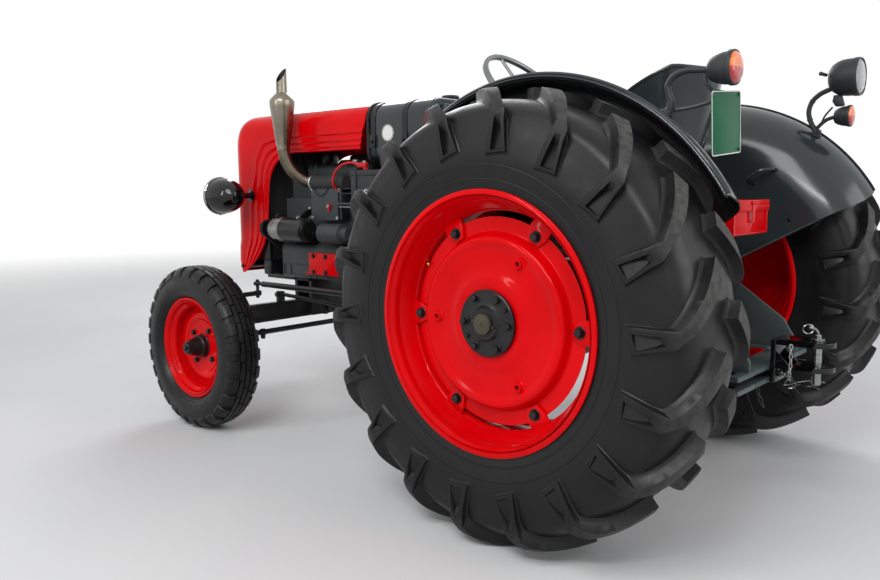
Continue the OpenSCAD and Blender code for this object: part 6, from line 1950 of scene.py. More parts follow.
@dataclass
class Seat(Assembly):
    """The pressed-steel seat shell with its rolled rim, on a leaf spring."""

    x: float = -0.035
    z: float = 1.12
    lean: float = math.radians(6.0)
    foot: float = 0.177
    flare: float = 0.048
    height: float = 0.326
    rim: tuple[tuple[float, float], ...] = ((-0.32, 1.462), (-0.2, 1.42), (-0.055, 1.34), (0.01, 1.275),
                                            (0.075, 1.214), (0.15, 1.18), (0.265, 1.16))

    def lean_over(self, v: Vector) -> Vector:
        """Return a place of the upright shell leaned back on its foot."""
        c, t = math.cos(self.lean), math.sin(self.lean)
        return Vector((self.x + v.x * c - v.z * t, v.y, self.z + v.x * t + v.z * c))

    def rim_height(self, turn: float) -> float:
        """Return how far up the wall the rim lies.

        Args:
            turn: Angle about the shell's axis in radians.

        Returns:
            The height, found by halving the span between the foot and the top.
        """
        low, high = 0.0, self.height - 0.002
        line = smooth([(x, z, 0.0) for x, z in self.rim], 8)
        for _ in range(18):
            level = (low + high) / 2
            r = self.foot + self.flare * level / self.height
            place = self.lean_over(Vector((r * math.cos(turn), r * math.sin(turn), level)))
            after = next((i for i, p in enumerate(line) if p.x >= place.x), len(line) - 1)
            start, end = line[max(0, after - 1)], line[after]
            share = (place.x - start.x) / max(1e-6, end.x - start.x) if end.x > start.x else 0.0
            low, high = (level, high) if place.z < start.y + (end.y - start.y) * share else (low, level)
        return low

    def loop(self, share: float, inset: float) -> list[Vector]:
        """Return one closed row of the shell's places.

        Args:
            share: Share of the way from the middle, over the corner, to the rim.
            inset: How far the row lies inside the outer face.
        """
        places = []
        for i in range(72):
            turn = math.radians(i * 5.0)
            corner, top = 0.045, self.rim_height(turn)
            if share < 0.4:
                r, z = (self.foot - corner) * (0.02 + 0.98 * share / 0.4), inset
            elif share < 0.6:
                a = math.radians(90.0 * (share - 0.4) / 0.2)
                r, z = self.foot - corner + (corner - inset) * math.sin(a), corner - (corner - inset) * math.cos(a)
            else:
                z = corner + (max(top, corner + 0.002) - corner) * (share - 0.6) / 0.4
                r = self.foot + self.flare * z / self.height - inset
            places.append(self.lean_over(Vector((r * math.cos(turn), r * math.sin(turn), z))))
        return places

    def build(self) -> None:
        """Build the shell, its rim, the block and the spring."""
        shares = [0.0, 0.1, 0.2, 0.3, 0.36, 0.4, 0.43, 0.47, 0.5, 0.53, 0.57, 0.6, 0.65, 0.7, 0.76, 0.82, 0.88, 0.94,
                  1.0]
        shell = Form.loft([self.loop(s, 0.0032) for s in shares] + [self.loop(s, 0.0) for s in reversed(shares)])
        shell.add(Form.pipe(self.loop(1.0, 0.0016), 0.0062, 12, True))
        ring = [self.lean_over(Vector((0.112 * math.cos(math.radians(v)), 0.112 * math.sin(math.radians(v)), 0.003)))
                for v in range(0, 360, 6)]
        shell.add(Form.pipe(ring, 0.003, 8, True))
        self.put(shell, "seat_shell", "green_paint", "seat", angle=40.0)
        spring = Form.between((-0.06, -0.03, 1.06), (0.06, 0.03, 1.1225), 0.004, 3)
        leaf = [(-0.06, 1.062), (0.15, 1.08), (0.3, 1.02), (0.33, 0.8503), (0.342, 0.8503), (0.312, 1.03),
                (0.155, 1.092), (-0.06, 1.074)]
        spring.add(Form.plate(leaf, 0.06, 0.0015).move(lengthways(0.0, 0.03, 0.0)).weld())
        spring.box((0.322, -0.034, 0.8503), (0.392, 0.034, 0.862), 0.002)
        spring.add(bolts(0.018, 0.01, Z_AXIS, (0.372, 0.0, 0.862)))
        spring.add(bolts(0.016, 0.008, Z_AXIS, *[self.lean_over(Vector((x, y, 0.0032)))
                                                 for x, y in ((0.035, 0.0), (-0.035, 0.018), (-0.035, -0.018))]))
        self.put(spring, "seat_spring", "black_paint")


@dataclass
class Toolbox(Assembly):
    """The red toolbox behind the seat, with its hinged lid and latch."""

    back: float = -0.412
    front: float = -0.294
    half: float = 0.134
    low: float = 0.89
    top: float = 0.978

    def box(self) -> None:
        """Build the box with its folded rim, seams, ears and straps."""
        outer = [(self.back, -self.half), (self.front, -self.half), (self.front, self.half), (self.back, self.half)]
        form = Form().add(Form.band(outer, grown(outer, -0.003), self.top - self.low).soften(0.0012, 2, 50.0),
                          shift(0, 0, self.low))
        form.box((self.back + 0.001, -self.half + 0.001, self.low),
                 (self.front - 0.001, self.half - 0.001, self.low + 0.004), 0.001)
        form.add(Form.band(grown(outer, 0.0022), grown(outer, -0.001), 0.005).soften(0.001, 1, 50.0),
                 shift(0, 0, self.low + 0.002))
        for side in (1, -1):
            y = side * self.half
            form.box((self.back - 0.0015, y - 0.01, self.low + 0.004),
                     (self.back + 0.001, y + 0.0015, self.top - 0.006), 0.0008, 1)
            form.box((self.front - 0.001, min(y - side * 0.024, y + side * 0.02), 0.93),
                     (self.front + 0.009, max(y - side * 0.024, y + side * 0.02), 0.96), 0.001)
            low_y, high_y = sorted((side * (self.half + 0.0105), side * (self.half + 0.02)))
            form.box((self.front - 0.006, low_y, 0.932), (self.front + 0.01, high_y, 0.984), 0.001)
            eye = Form.turned([(0.0068, -0.00475), (0.0092, -0.00475), (0.0092, 0.00475), (0.0068, 0.00475)], 28)
            form.add(eye, aim((self.front + 0.002, side * (self.half + 0.01525), 0.996), Y_AXIS))
            form.box((self.back + 0.02, side * 0.08 - 0.012, 0.8853), (-0.1, side * 0.08 + 0.012, 0.89), 0.0012)
        form.add(Form.pipe([(self.back - 0.002, -0.008, 0.93), (self.back - 0.01, -0.008, 0.93),
                            (self.back - 0.01, 0.008, 0.93), (self.back - 0.002, 0.008, 0.93)], 0.0018, 8))
        form.box((self.back - 0.0022, -0.013, 0.92), (self.back + 0.001, 0.013, 0.94), 0.0008, 1)
        self.put(form, "toolbox_shell", "red_paint", "toolbox")
        heads = bolts(0.014, 0.007, Z_AXIS, (-0.115, 0.08, 0.89), (-0.115, -0.08, 0.89))
        self.put(heads, "toolbox_bolts", "zinc")

    def lid(self) -> None:
        """Build the lid: folded skirt, hinge pin and the hasp over the box's staple."""
        outer = [(self.back - 0.008, -self.half - 0.006), (self.front, -self.half - 0.006),
                 (self.front, self.half + 0.006), (self.back - 0.008, self.half + 0.006)]
        form = Form().add(Form.plate(outer, 0.0225, 0.0028, 3), shift(0, 0, self.top + 0.0008))
        form.box((self.back - 0.008, -self.half - 0.006, self.top - 0.012),
                 (self.back - 0.0048, self.half + 0.006, self.top + 0.006), 0.001)
        form.add(Form.band(grown(outer, 0.0006), grown(outer, -0.001), 0.004).soften(0.001, 1, 50.0),
                 shift(0, 0, self.top + 0.001))
        form.add(bar((self.front + 0.002, -self.half - 0.02, 0.996), (self.front + 0.002, self.half + 0.02, 0.996),
                     0.0058))
        hasp = Form.plate([(-0.011, 0.0), (0.011, 0.0), (0.0095, -0.04), (0.006, -0.066), (-0.006, -0.066),
                           (-0.0095, -0.04)][::-1], 0.0022, 0.0006, 1)
        form.add(hasp.move(crossways(self.back - 0.0082, 0.0, 0.996) @ shift(0, 0, -0.0026)).weld())
        form.box((self.back - 0.0112, -0.014, 0.985), (self.back - 0.007, 0.014, 0.999), 0.001)
        form.add(bar((self.back - 0.0112, -0.016, 0.992), (self.back - 0.0112, 0.016, 0.992), 0.0026, 12))
        self.put(form, "toolbox_lid_plate", "red_paint", "toolbox_lid", body=Body.LID)

    def build(self) -> None:
        """Build the box and its lid."""
        self.box()
        self.lid()


@dataclass
class Drawbar(Assembly):
    """The drawbar's cheeks and plates, the clevis, its pin and their chains."""

    top: float = 0.485
    pin_x: float = -0.635

    def plates(self) -> None:
        """Build the cheeks and the two plates with their end holes, spacers and bolts."""
        form = Form()
        cheek = [(-0.205, 0.76), (-0.284, 0.72), (-0.46, 0.595), (-0.508, 0.517), (-0.508, 0.484), (-0.15, 0.484),
                 (-0.15, 0.7)]
        half = Form.plate(cheek, 0.012, 0.0016).move(lengthways(0.0, 0.212, 0.0)).weld()
        half.box((-0.505, 0.1885, 0.4845), (-0.16, 0.2005, 0.4965), 0.003)
        half.box((-0.19, 0.1853, 0.56), (-0.15, 0.2008, 0.7), 0.002)
        half.add(bolts(0.024, 0.013, Y_AXIS, (-0.17, 0.212, 0.66), (-0.17, 0.212, 0.6), (-0.305, 0.212, 0.64)))
        for z in (self.top - 0.015, self.top - 0.057):
            end = holed(lambda ray: min((0.045 if ray.y > 0 else 0.085) / max(1e-6, abs(ray.y)),
                                        (0.055 if ray.x > 0 else 0.04) / max(1e-6, abs(ray.x))), 0.013, 0.015)
            half.add(end, shift(-0.47, 0.255, z))
            form.box((-0.51, -0.171, z), (-0.415, 0.171, z + 0.015), 0.0015)
        half.box((-0.45, 0.165, self.top - 0.043), (-0.42, 0.195, self.top - 0.014), 0.003)
        half.add(bolts(0.026, 0.014, Z_AXIS, (-0.435, 0.15, self.top)))
        half.add(bolts(0.026, 0.014, -Z_AXIS, (-0.435, 0.18, self.top - 0.057)))
        form.add(both(half))
        self.put(form, "drawbar_frame", "casting", "drawbar_plates", finish=self.finishes.drawbar)

    def clevis(self) -> None:
        """Build the clevis: two rounded ears on a back plate, bushed for the pin."""
        form = Form()

        def reach(ray: Vector) -> float:
            """Return the ear's edge from the pin: round behind, straight sided ahead."""
            return 0.053 if ray.x < 0 else min(0.053 / max(1e-6, abs(ray.y)), 0.112 / max(1e-6, ray.x))

        for z in (0.551, 0.474):
            form.add(holed(reach, 0.01405, 0.016, 0.003), shift(self.pin_x, 0.0, z))
            form.add(Form.turned([(0.01405, -0.001), (0.024, -0.001), (0.026, 0.001), (0.026, 0.015), (0.024, 0.0165),
                                  (0.01405, 0.0165)], 40), shift(self.pin_x, 0.0, z))
        form.box((-0.528, -0.053, 0.428), (-0.5103, 0.053, 0.567), 0.004, 3)
        for y in (0.04, -0.04):
            form.add(Form.plate([(0.0, 0.0), (0.04, 0.0), (0.0, 0.04)], 0.008,
                                0.001).move(axes((-0.527, y + 0.004, 0.49), -X_AXIS, Z_AXIS, Y_AXIS)).weld())
        form.add(bolts(0.02, 0.011, -X_AXIS, (-0.528, 0.03, 0.456), (-0.528, -0.03, 0.456)))
        self.put(form, "clevis_casting", "black_paint", "hitch_clevis", finish=self.finishes.gloss_black)
        hang = [(-0.575, 0.0545, 0.557), (-0.575, 0.058, 0.542), (-0.576, 0.0595, 0.527), (-0.577, 0.06, 0.512),
                (-0.577, 0.06, 0.497), (-0.576, 0.06, 0.482), (-0.574, 0.058, 0.467), (-0.571, 0.05, 0.454),
                (-0.568, 0.038, 0.444), (-0.566, 0.026, 0.437)]
        bright = links(hang, 0.0021, 0.021)
        self.put(bright, "clevis_chain", "zinc")
        dark = links([(-0.5, 0.12, 0.426), (-0.502, 0.12, 0.408), (-0.506, 0.118, 0.391), (-0.512, 0.115, 0.375),
                      (-0.518, 0.112, 0.359)], 0.0024, 0.026)
        dark.add(Form.pipe([(-0.5, 0.12 + 0.008 * math.cos(math.radians(v)),
                             0.4265 + 0.01 * math.sin(math.radians(v))) for v in range(0, 360, 30)], 0.0024, 8, True))
        dark.add(Form.pipe(rounded([(-0.54, 0.075, 0.47), (-0.56, 0.078, 0.462), (-0.59, 0.074, 0.455)], 0.01),
                           0.0022, 8))
        self.put(dark, "hanging_chain", "black_paint")

    def pin(self) -> None:
        """Build the hitch pin with its handle, ring and wire clip."""
        x = self.pin_x
        stem = [(0.0, 0.428), (0.0115, 0.428), (0.014, 0.431), (0.014, 0.525), (0.0134, 0.5258), (0.0134, 0.5282),
                (0.014, 0.529), (0.014, 0.5674), (0.019, 0.5674), (0.02, 0.5685), (0.02, 0.574), (0.0185, 0.5753),
                (0.011, 0.576), (0.0105, 0.585), (0.008, 0.588), (0.0, 0.5885)]
        form = Form().add(Form.turned(stem, 48, False), shift(x, 0, 0))
        handle = smooth([(x, 0.0, 0.575), (x, 0.0, 0.59), (x + 0.007, 0.003, 0.6025), (x + 0.02, 0.008, 0.6075)], 6)
        form.add(Form.pipe(handle, 0.0048, 14))
        form.add(ball(0.006, (x + 0.02, 0.008, 0.6075)))
        ring = [(x + 0.026 + 0.013 * math.cos(a), 0.01 + 0.01 * math.cos(a), 0.603 + 0.0145 * math.sin(a))
                for a in (math.radians(v) for v in range(0, 360, 20))]
        form.add(Form.pipe(ring, 0.0021, 8, True))
        self.put(form, "hitch_pin_forging", "zinc", "hitch_pin", body=Body.PIN, finish=self.finishes.bright)
        eye = [(x + 0.07 + 0.014 * math.cos(a), 0.02 + 0.006 * math.cos(a), 0.424 + 0.014 * math.sin(a))
               for a in (math.radians(v) for v in range(-20, 300, 24))]
        clip = smooth([(x - 0.026, -0.004, 0.439), (x + 0.02, 0.008, 0.44)] + eye
                      + [(x + 0.058, 0.018, 0.418), (x + 0.04, 0.018, 0.429), (x + 0.022, 0.02, 0.424),
                         (x + 0.004, 0.02, 0.428), (x - 0.018, 0.02, 0.422)], 4)
        self.put(Form.pipe(clip, 0.0023, 10), "pin_clip", "zinc", finish=self.finishes.bright)

    def build(self) -> None:
        """Build the drawbar and the hitch."""
        self.plates()
        self.clevis()
        self.pin()


@dataclass
class RearLamps(Assembly):
    """The lamps on the fenders with their bent tubes, and the blank number plate."""

    foot: tuple[float, float, float] = (-0.412, 0.6, 1.233)
    tail: tuple[float, float, float] = (-0.5273, 0.6, 1.337)
    work: tuple[float, float, float] = (-0.4753, -0.6, 1.432)
    low: tuple[float, float, float] = (-0.4753, -0.6, 1.295)

    def split_lens(self, outline: Sequence[Point], spot: Matrix, name: str) -> None:
        """Build a lens whose upper half is orange and whose lower half is red.

        Args:
            outline: Radius and height of each point of the lens.
            spot: Placement of its seat.
            name: The lamp's name, which the pieces' names start with.
        """
        for half, start, finish in (("upper", 0.0, self.finishes.lens_orange),
                                    ("lower", 180.0, self.finishes.lens_red)):
            form = Form.turned(outline, 40, False, 180.0)
            bmesh.ops.holes_fill(form.mesh, edges=[e for e in form.mesh.edges if e.is_boundary])
            form.move(spot @ Matrix.Rotation(math.radians(start), 4, "Z"))
            self.put(form, f"{name}_{half}_lens", "lamp", finish=finish)

    def lamp(self, spot: Point, radius: float, length: float, name: str) -> None:
        """Build a tail lamp: flared black housing, rim and split lens.

        Args:
            spot: The middle of its back.
            radius: Radius of its rim.
            length: Its length without the lens.
            name: What its pieces' names start with.
        """
        r, long = radius, length
        place = rearwards(*spot)
        shell = [(0.0, 0.0), (r * 0.5, 0.0), (r * 0.62, long * 0.05), (r * 0.74, long * 0.18),
                 (r * 0.84, long * 0.36), (r * 0.9, long * 0.5), (r * 0.925, long * 0.66), (r * 0.925, long * 0.7),
                 (r * 0.965, long * 0.71), (r, long * 0.75), (r, long * 0.88), (r * 0.975, long * 0.91),
                 (r * 0.9, long * 0.91), (r * 0.88, long * 0.8), (0.0, long * 0.8)]
        housing = Form().add(Form.turned(shell, 64, False), place)
        self.put(housing, f"{name}_housing", "black_paint", *(("rear_lamps",) if name == "tail_lamp" else ()),
                 finish=self.finishes.dull_black)
        lens = [(0.0, long * 1.045), (r * 0.35, long * 1.04), (r * 0.65, long * 1.01), (r * 0.82, long * 0.965),
                (r * 0.9, long * 0.9), (r * 0.9, long * 0.86), (0.0, long * 0.86)]
        self.split_lens(lens[::-1], place, name)

    def work_lamp(self) -> None:
        """Build the work lamp: round black shell, rim, reflector and clear glass."""
        place = rearwards(*self.work)
        shell = [(0.0, -0.026), (0.018, -0.0255), (0.034, -0.021), (0.048, -0.011), (0.058, 0.004), (0.0635, 0.02),
                 (0.0655, 0.038), (0.066, 0.058), (0.066, 0.062), (0.068, 0.0625), (0.068, 0.078), (0.066, 0.083),
                 (0.0625, 0.083), (0.061, 0.074), (0.06, 0.07)]
        bowl = [(0.056, 0.055), (0.044, 0.036), (0.028, 0.024), (0.01, 0.019), (0.0, 0.019)]
        form = Form().add(Form.turned(shell + [(0.06, 0.06)] + [(r + 0.001, z - 0.001) for r, z in bowl[:-1]]
                                      + [(0.0, 0.018)], 72, False), place)
        form.add(bar((-0.452, -0.56, 1.442), (-0.44, -0.535, 1.446), 0.006, 16))
        form.add(ball(0.0075, (-0.44, -0.535, 1.446)))
        self.put(form, "work_lamp_shell", "black_paint", finish=self.finishes.dull_black)
        self.put(Form().add(Form.turned([(0.06, 0.0702)] + bowl + [(0.0, 0.0182), (0.01, 0.0182), (0.028, 0.0232),
                                                                   (0.044, 0.0352), (0.056, 0.0542), (0.0598, 0.066)],
                                        64), place), "work_lamp_reflector", "zinc", finish=self.finishes.chrome)
        glass = [(0.0, 0.0895), (0.03, 0.088), (0.05, 0.0845), (0.0612, 0.079), (0.0612, 0.0765), (0.05, 0.082),
                 (0.03, 0.0855), (0.0, 0.087)]
        self.put(Form().add(Form.turned(glass, 64, False), place), "work_lamp_glass", "lamp",
                 finish=self.finishes.glass)
        rim = [(0.0615, 0.08), (0.0655, 0.0835), (0.0665, 0.082), (0.0625, 0.078)]
        self.put(Form().add(Form.turned(rim, 72), place), "work_lamp_rim", "zinc", finish=self.finishes.chrome)

    def arms(self) -> None:
        """Build the bent tubes, their feet and clips, and the plate's bracket."""
        x, y, z = self.foot
        form = Form()
        base = Form.turned([(0, 0.0), (0.019, 0.0), (0.02, 0.0015), (0.019, 0.005), (0.0115, 0.0075), (0.0105, 0.02),
                            (0, 0.02)], 36, False)
        out = Vector((x, 0.0, z - 0.665)).normalized() * 0.968
        for side in (1, -1):
            way = out - Y_AXIS * side * 0.25
            form.add(base, aim(Vector((x, side * y, z)) + way * 0.0006, way))
            for v in (0.0, 120.0, 240.0):
                spot = aim(Vector((x, side * y, z)) + way * 0.0045, way) @ turn_z(v) @ shift(0.0145, 0.0, 0.0)
                form.add(Form.bolt(0.006, 0.003, 0.0), spot)
        left = [(x, y - 0.002, z + 0.01), (x - 0.01, 0.597, 1.252), (x - 0.012, 0.597, 1.268),
                (x - 0.004, 0.597, 1.29), (x - 0.002, 0.598, 1.31), (x - 0.022, 0.6, 1.333), (x - 0.055, 0.6, 1.342),
                (x - 0.09, 0.6, 1.34), (-0.5285, 0.6, 1.338)]
        form.add(Form.pipe(smooth(left, 7), 0.0086, 18))
        form.add(Form.pipe(smooth([(x - 0.002, 0.5985, z + 0.008), (x - 0.009, 0.597, 1.249),
                                   (x - 0.0115, 0.597, 1.262)], 5), 0.0112, 18))
        right = [(x, -y + 0.002, z + 0.01), (x + 0.01, -0.6, 1.26), (x + 0.024, -0.6, 1.29), (x + 0.029, -0.6, 1.322),
                 (x + 0.018, -0.6, 1.356), (x - 0.008, -0.6, 1.38), (x - 0.04, -0.6, 1.394), (x - 0.06, -0.6, 1.4)]
        form.add(Form.pipe(smooth(right, 7), 0.009, 18))
        for i in (1, 2, 4):
            form.add(Form.turned([(0.0086, -0.003), (0.0104, -0.003), (0.0104, 0.003), (0.0086, 0.003)], 20),
                     aim(right[i], Vector(right[i + 1]) - Vector(right[i - 1])))
        form.add(Form.pipe(smooth([(x + 0.004, -0.6, 1.248), (x - 0.01, -0.6, 1.265), (x - 0.034, -0.6, 1.285),
                                   (x - 0.064, -0.6, 1.295)], 6), 0.007, 14))
        form.add(Form.pipe(rounded([(-0.466, -0.6, 1.33), (-0.455, -0.6, 1.318), (-0.44, -0.6, 1.3),
                                    (-0.428, -0.6, 1.272)], 0.01), 0.0035, 10))
        strap = [(-0.495, 1.372), (-0.47, 1.372), (-0.466, 1.35), (-0.478, 1.331), (-0.501, 1.331), (-0.506, 1.336)]
        form.add(Form.plate(strap, 0.02, 0.0015).move(lengthways(0.0, -0.59, 0.0)).weld())
        form.box((-0.5497, 0.51, 1.263), (-0.5385, 0.61, 1.288), 0.002)
        form.add(Form.pipe(smooth([(-0.541, 0.592, 1.282), (-0.53, 0.597, 1.292), (-0.52, 0.6, 1.305),
                                   (-0.516, 0.6, 1.33)], 5), 0.0055, 12))
        form.add(Form.pipe(smooth([(-0.544, 0.548, 1.27), (-0.52, 0.56, 1.262), (-0.47, 0.575, 1.25),
                                   (x - 0.012, 0.59, 1.2445)], 5), 0.0048, 12))
        form.box((-0.5498, 0.556, 1.14), (-0.5465, 0.572, 1.27), 0.001)
        self.put(form, "lamp_tubes", "black_paint", "lamp_arms", finish=self.finishes.dull_black)

    def plate(self) -> None:
        """Build the blank green plate with its pale edge and black screws."""
        face = rearwards(-0.55, 0.545, 1.207) @ turn_z(5.0)

        def board(half_w: float, half_h: float, r: float = 0.008) -> list[tuple[float, float]]:
            """Return a rounded board's outline."""
            corners = ((half_w - r, half_h - r, 0), (-half_w + r, half_h - r, 90), (-half_w + r, -half_h + r, 180),
                       (half_w - r, -half_h + r, 270))
            return [p for cx, cy, a in corners for p in arc((cx, cy), r, a, a + 90, 5)]

        self.put(Form().add(Form.plate(board(0.09, 0.081), 0.0022, 0.0006), face), "number_board", "plate",
                 "number_plate", finish=self.finishes.plate)
        edge = Form.band(board(0.0895, 0.0805), board(0.087, 0.078), 0.0008)
        self.put(Form().add(edge, face @ shift(0, 0, 0.0022)), "number_board_edge", "plate",
                 finish=self.finishes.roundel)
        screws = Form().add(Form.turned([(0, 0), (0.0055, 0), (0.005, 0.0018), (0.003, 0.0026), (0, 0.0026)], 20,
                                        False), *[face @ shift(sx * 0.081, sz * 0.071, 0.002) for sx in (1, -1)
                                                  for sz in (1, -1)])
        self.put(screws, "number_board_screws", "black_paint")

    def build(self) -> None:
        """Build the lamps, the tubes and the plate."""
        self.lamp(self.tail, 0.044, 0.074, "tail_lamp")
        self.lamp(self.low, 0.039, 0.062, "side_lamp")
        self.work_lamp()
        self.arms()
        self.plate()


@dataclass
class Cockpit(Assembly):
    """The steering column and wheel, dash, levers, pedals, footplates and the gearbox's fittings."""

    wheel: tuple[float, float, float] = (0.463, 0.0, 1.412)
    tilt: float = math.radians(46.0)

    def at_wheel(self) -> Matrix:
        """Return the placement of the steering wheel's own frame."""
        return Matrix.Translation(self.wheel) @ Matrix.Rotation(-self.tilt, 4, "Y")

    def column(self) -> None:
        """Build the column, the pedestal and the steering box."""
        tube = [(0.0126, -0.6), (0.024, -0.6), (0.024, -0.062), (0.028, -0.06), (0.029, -0.056), (0.029, -0.04),
                (0.026, -0.034), (0.0126, -0.0305)]
        form = Form().add(Form.turned(tube, 48), self.at_wheel())
        form.box((0.84, -0.055, 0.8503), (0.915, 0.055, 1.01), 0.01, 3)
        form.box((0.83, -0.065, 0.8503), (0.925, 0.065, 0.864), 0.003)
        form.add(bolts(0.016, 0.009, Z_AXIS, *[(x, y, 0.864) for x in (0.8375, 0.9175) for y in (-0.05, 0.05)]))
        form.box((0.85, 0.1503, 0.75), (0.96, 0.274, 0.84), 0.01, 3)
        form.add(Form.turned([(0.0163, 0.0), (0.034, 0.0), (0.034, 0.006), (0.03, 0.01), (0.0163, 0.01)], 40),
                 aim((0.905, 0.2735, 0.8), Y_AXIS))
        form.add(bolts(0.013, 0.007, Y_AXIS, *[(x, 0.274, z) for x in (0.862, 0.948) for z in (0.762, 0.828)]))
        form.box((0.764, -0.15, 1.2), (0.7897, 0.15, 1.385), 0.008, 3)
        self.put(form, "column_castings", "casting", "steering_column")
        rims, faces, marks = Form(), Form(), Form()
        for y, z, r in ((-0.08, 1.31, 0.04), (0.08, 1.31, 0.04), (0.0, 1.325, 0.03)):
            spot = rearwards(0.7645, y, z)
            rims.add(Form.turned([(r - 0.004, 0.0), (r, 0.0), (r + 0.001, 0.003), (r - 0.001, 0.006),
                                  (r - 0.004, 0.0045)], 56), spot)
            faces.add(Form.turned([(0, -0.001), (r - 0.0035, -0.001), (r - 0.0035, 0.0015), (0, 0.0015)], 48, False),
                      spot)
            for i in range(11):
                tick = turn_z(-120.0 + 24.0 * i) @ shift(0.0, r * 0.76, 0.0018)
                marks.add(Form.block((0.0012, 0.006 if i % 5 else 0.009, 0.0008), 0.0002, 1), spot @ tick)
            marks.add(Form.block((0.0016, r * 0.62, 0.001), 0.0003, 1),
                      spot @ turn_z(38.0) @ shift(0.0, r * 0.26, 0.0024))
        for y in (-0.045, 0.0, 0.045):
            rims.add(Form.turned([(0, 0), (0.01, 0), (0.01, 0.003), (0.008, 0.005), (0, 0.006)], 28, False),
                     rearwards(0.7645, y, 1.24))
        self.put(rims, "dial_rims", "zinc", finish=self.finishes.chrome)
        self.put(faces, "dial_faces", "black_paint")
        self.put(marks, "dial_marks", "plate", finish=self.finishes.roundel)

    def steering_wheel(self) -> None:
        """Build the wheel: round rim, three bars, hub and nut."""
        form = Form.turned([(0.206 + 0.0118 * math.cos(math.radians(v)), 0.0118 * math.sin(math.radians(v)))
                            for v in range(0, 360, 20)], 96)
        hub = [(0.0, -0.28), (0.0118, -0.28), (0.0118, -0.024), (0.029, -0.0238), (0.032, -0.02), (0.032, -0.01),
               (0.028, -0.002), (0.018, 0.004), (0.016, 0.01), (0.0, 0.01)]
        form.add(Form.turned(hub, 48, False))
        for turn in (0.0, 120.0, 240.0):
            a = math.radians(turn)
            way = Vector((math.cos(a), math.sin(a), 0.0))
            form.add(Form.pipe(smooth([way * 0.024 - Z_AXIS * 0.012, way * 0.08 - Z_AXIS * 0.0105,
                                       way * 0.15 - Z_AXIS * 0.006, way * 0.203], 5), 0.0068, 14))
        form.move(self.at_wheel())
        self.put(form, "steering_wheel_rim", "ring", "steering_wheel", body=Body.STEERING)
        nut = Form.bolt(0.026, 0.01).move(self.at_wheel() @ shift(0, 0, 0.0035))
        self.put(nut, "steering_wheel_nut", "zinc", body=Body.STEERING)

    def levers(self) -> None:
        """Build the gear levers with their knobs and boots, and the pedals."""
        form = Form()
        for low, high, radius, knob in (((0.52, 0.0, 0.853), (0.43, 0.04, 1.12), 0.0078, 0.02),
                                        ((0.33, -0.1, 0.854), (0.25, -0.17, 1.06), 0.0068, 0.017)):
            start, end = Vector(low), Vector(high)
            way = (end - start).normalized()
            middle = start.lerp(end, 0.5) + X_AXIS * 0.012
            form.add(Form.pipe(smooth([start, middle, end], 10), radius, 16))
            form.add(ball(knob, end + way * 0.006))
            boot = [(0.0, 0.0), (0.034, 0.0), (0.034, 0.003), (0.024, 0.008), (0.021, 0.016), (0.017, 0.02),
                    (0.016, 0.028), (0.0, 0.03)]
            form.add(Form.turned(boot, 36, False), shift(start.x, start.y, 0.8503))
        pedal = bar((0.76, 0.1503, 0.66), (0.76, 0.25, 0.66), 0.0098)
        pedal.add(Form.pipe(smooth([(0.76, 0.24, 0.66), (0.742, 0.24, 0.716), (0.704, 0.24, 0.776)], 6), 0.009, 14))
        pedal.box((0.67, 0.205, 0.775), (0.74, 0.275, 0.785), 0.003)
        for i in range(6):
            pedal.box((0.674 + i * 0.0112, 0.21, 0.7845), (0.68 + i * 0.0112, 0.27, 0.7868), 0.0008, 1)
        form.add(both(pedal))
        self.put(form, "levers_and_pedals", "black_paint", "controls")

    def footplates(self) -> None:
        """Build the two footplates with raised ribs, folded edges and posts."""
        form = Form.between((0.47, 0.155, 0.5602), (0.86, 0.4895, 0.5655), 0.001)
        form.box((0.47, 0.4865, 0.53 + 0.03), (0.86, 0.4898, 0.568), 0.001)
        for i in range(12):
            for j in range(10):
                lug = Form.block((0.018, 0.0045, 0.0022), 0.001, 1)
                form.add(lug, shift(0.492 + i * 0.031, 0.186 + j * 0.0315, 0.5662)
                         @ turn_z(45.0 if (i + j) % 2 else -45.0))
        for x in (0.5, 0.8):
            form.box((x, 0.1503, 0.5645), (x + 0.02, 0.19, 0.7), 0.002)
            form.add(bolts(0.017, 0.009, Y_AXIS, (x + 0.01, 0.19, 0.67)))
        self.put(both(form), "footplate_treads", "green_paint", "foot_plates")

    def gearbox(self) -> None:
        """Build the gearbox's bolts, plugs, drum bolts and power take-off."""
        form = bolts(0.015, 0.009, Z_AXIS, *[(x, y, 0.885) for x in (-0.135, -0.068, 0.0, 0.068, 0.135)
                                             for y in (-0.106, 0.106)])
        form.add(bolts(0.015, 0.009, Z_AXIS, (0.135, 0.0, 0.885), (-0.135, 0.0, 0.885)))
        half = bolts(0.014, 0.008, Y_AXIS, *[(0.146 * math.cos(math.radians(v)), 0.52,
                                              0.665 + 0.146 * math.sin(math.radians(v))) for v in range(15, 360, 30)])
        half.add(bolts(0.016, 0.009, Y_AXIS, (1.3, 0.165, 0.655), (1.3, 0.165, 0.735), (1.3, 0.165, 0.8),
                       (0.25, 0.153, 0.64), (0.25, 0.153, 0.76)))
        half.add(bolts(0.013, 0.008, Y_AXIS, (0.0, 0.185, 0.58), (0.12, 0.185, 0.76), (-0.15, 0.185, 0.76)))
        form.add(both(half))
        form.add(bolts(0.026, 0.014, -X_AXIS, (-0.21, 0.1, 0.57), (-0.21, -0.11, 0.79)))
        form.add(bolts(0.013, 0.008, -X_AXIS, *[(-0.23, 0.038 * math.cos(math.radians(v)),
                                                 0.6 + 0.038 * math.sin(math.radians(v)))
                                                for v in range(45, 360, 90)]))
        self.put(form, "gearbox_bolts", "casting")
        shaft = Form.turned([(0, 0.0), (0.0178, 0.0), (0.0178, 0.074), (0.016, 0.0758), (0, 0.0758)], 36,
                            False).move(aim((-0.209, 0.0, 0.6), -X_AXIS))
        for place in ring_of(6, 0.0172, 0.048):
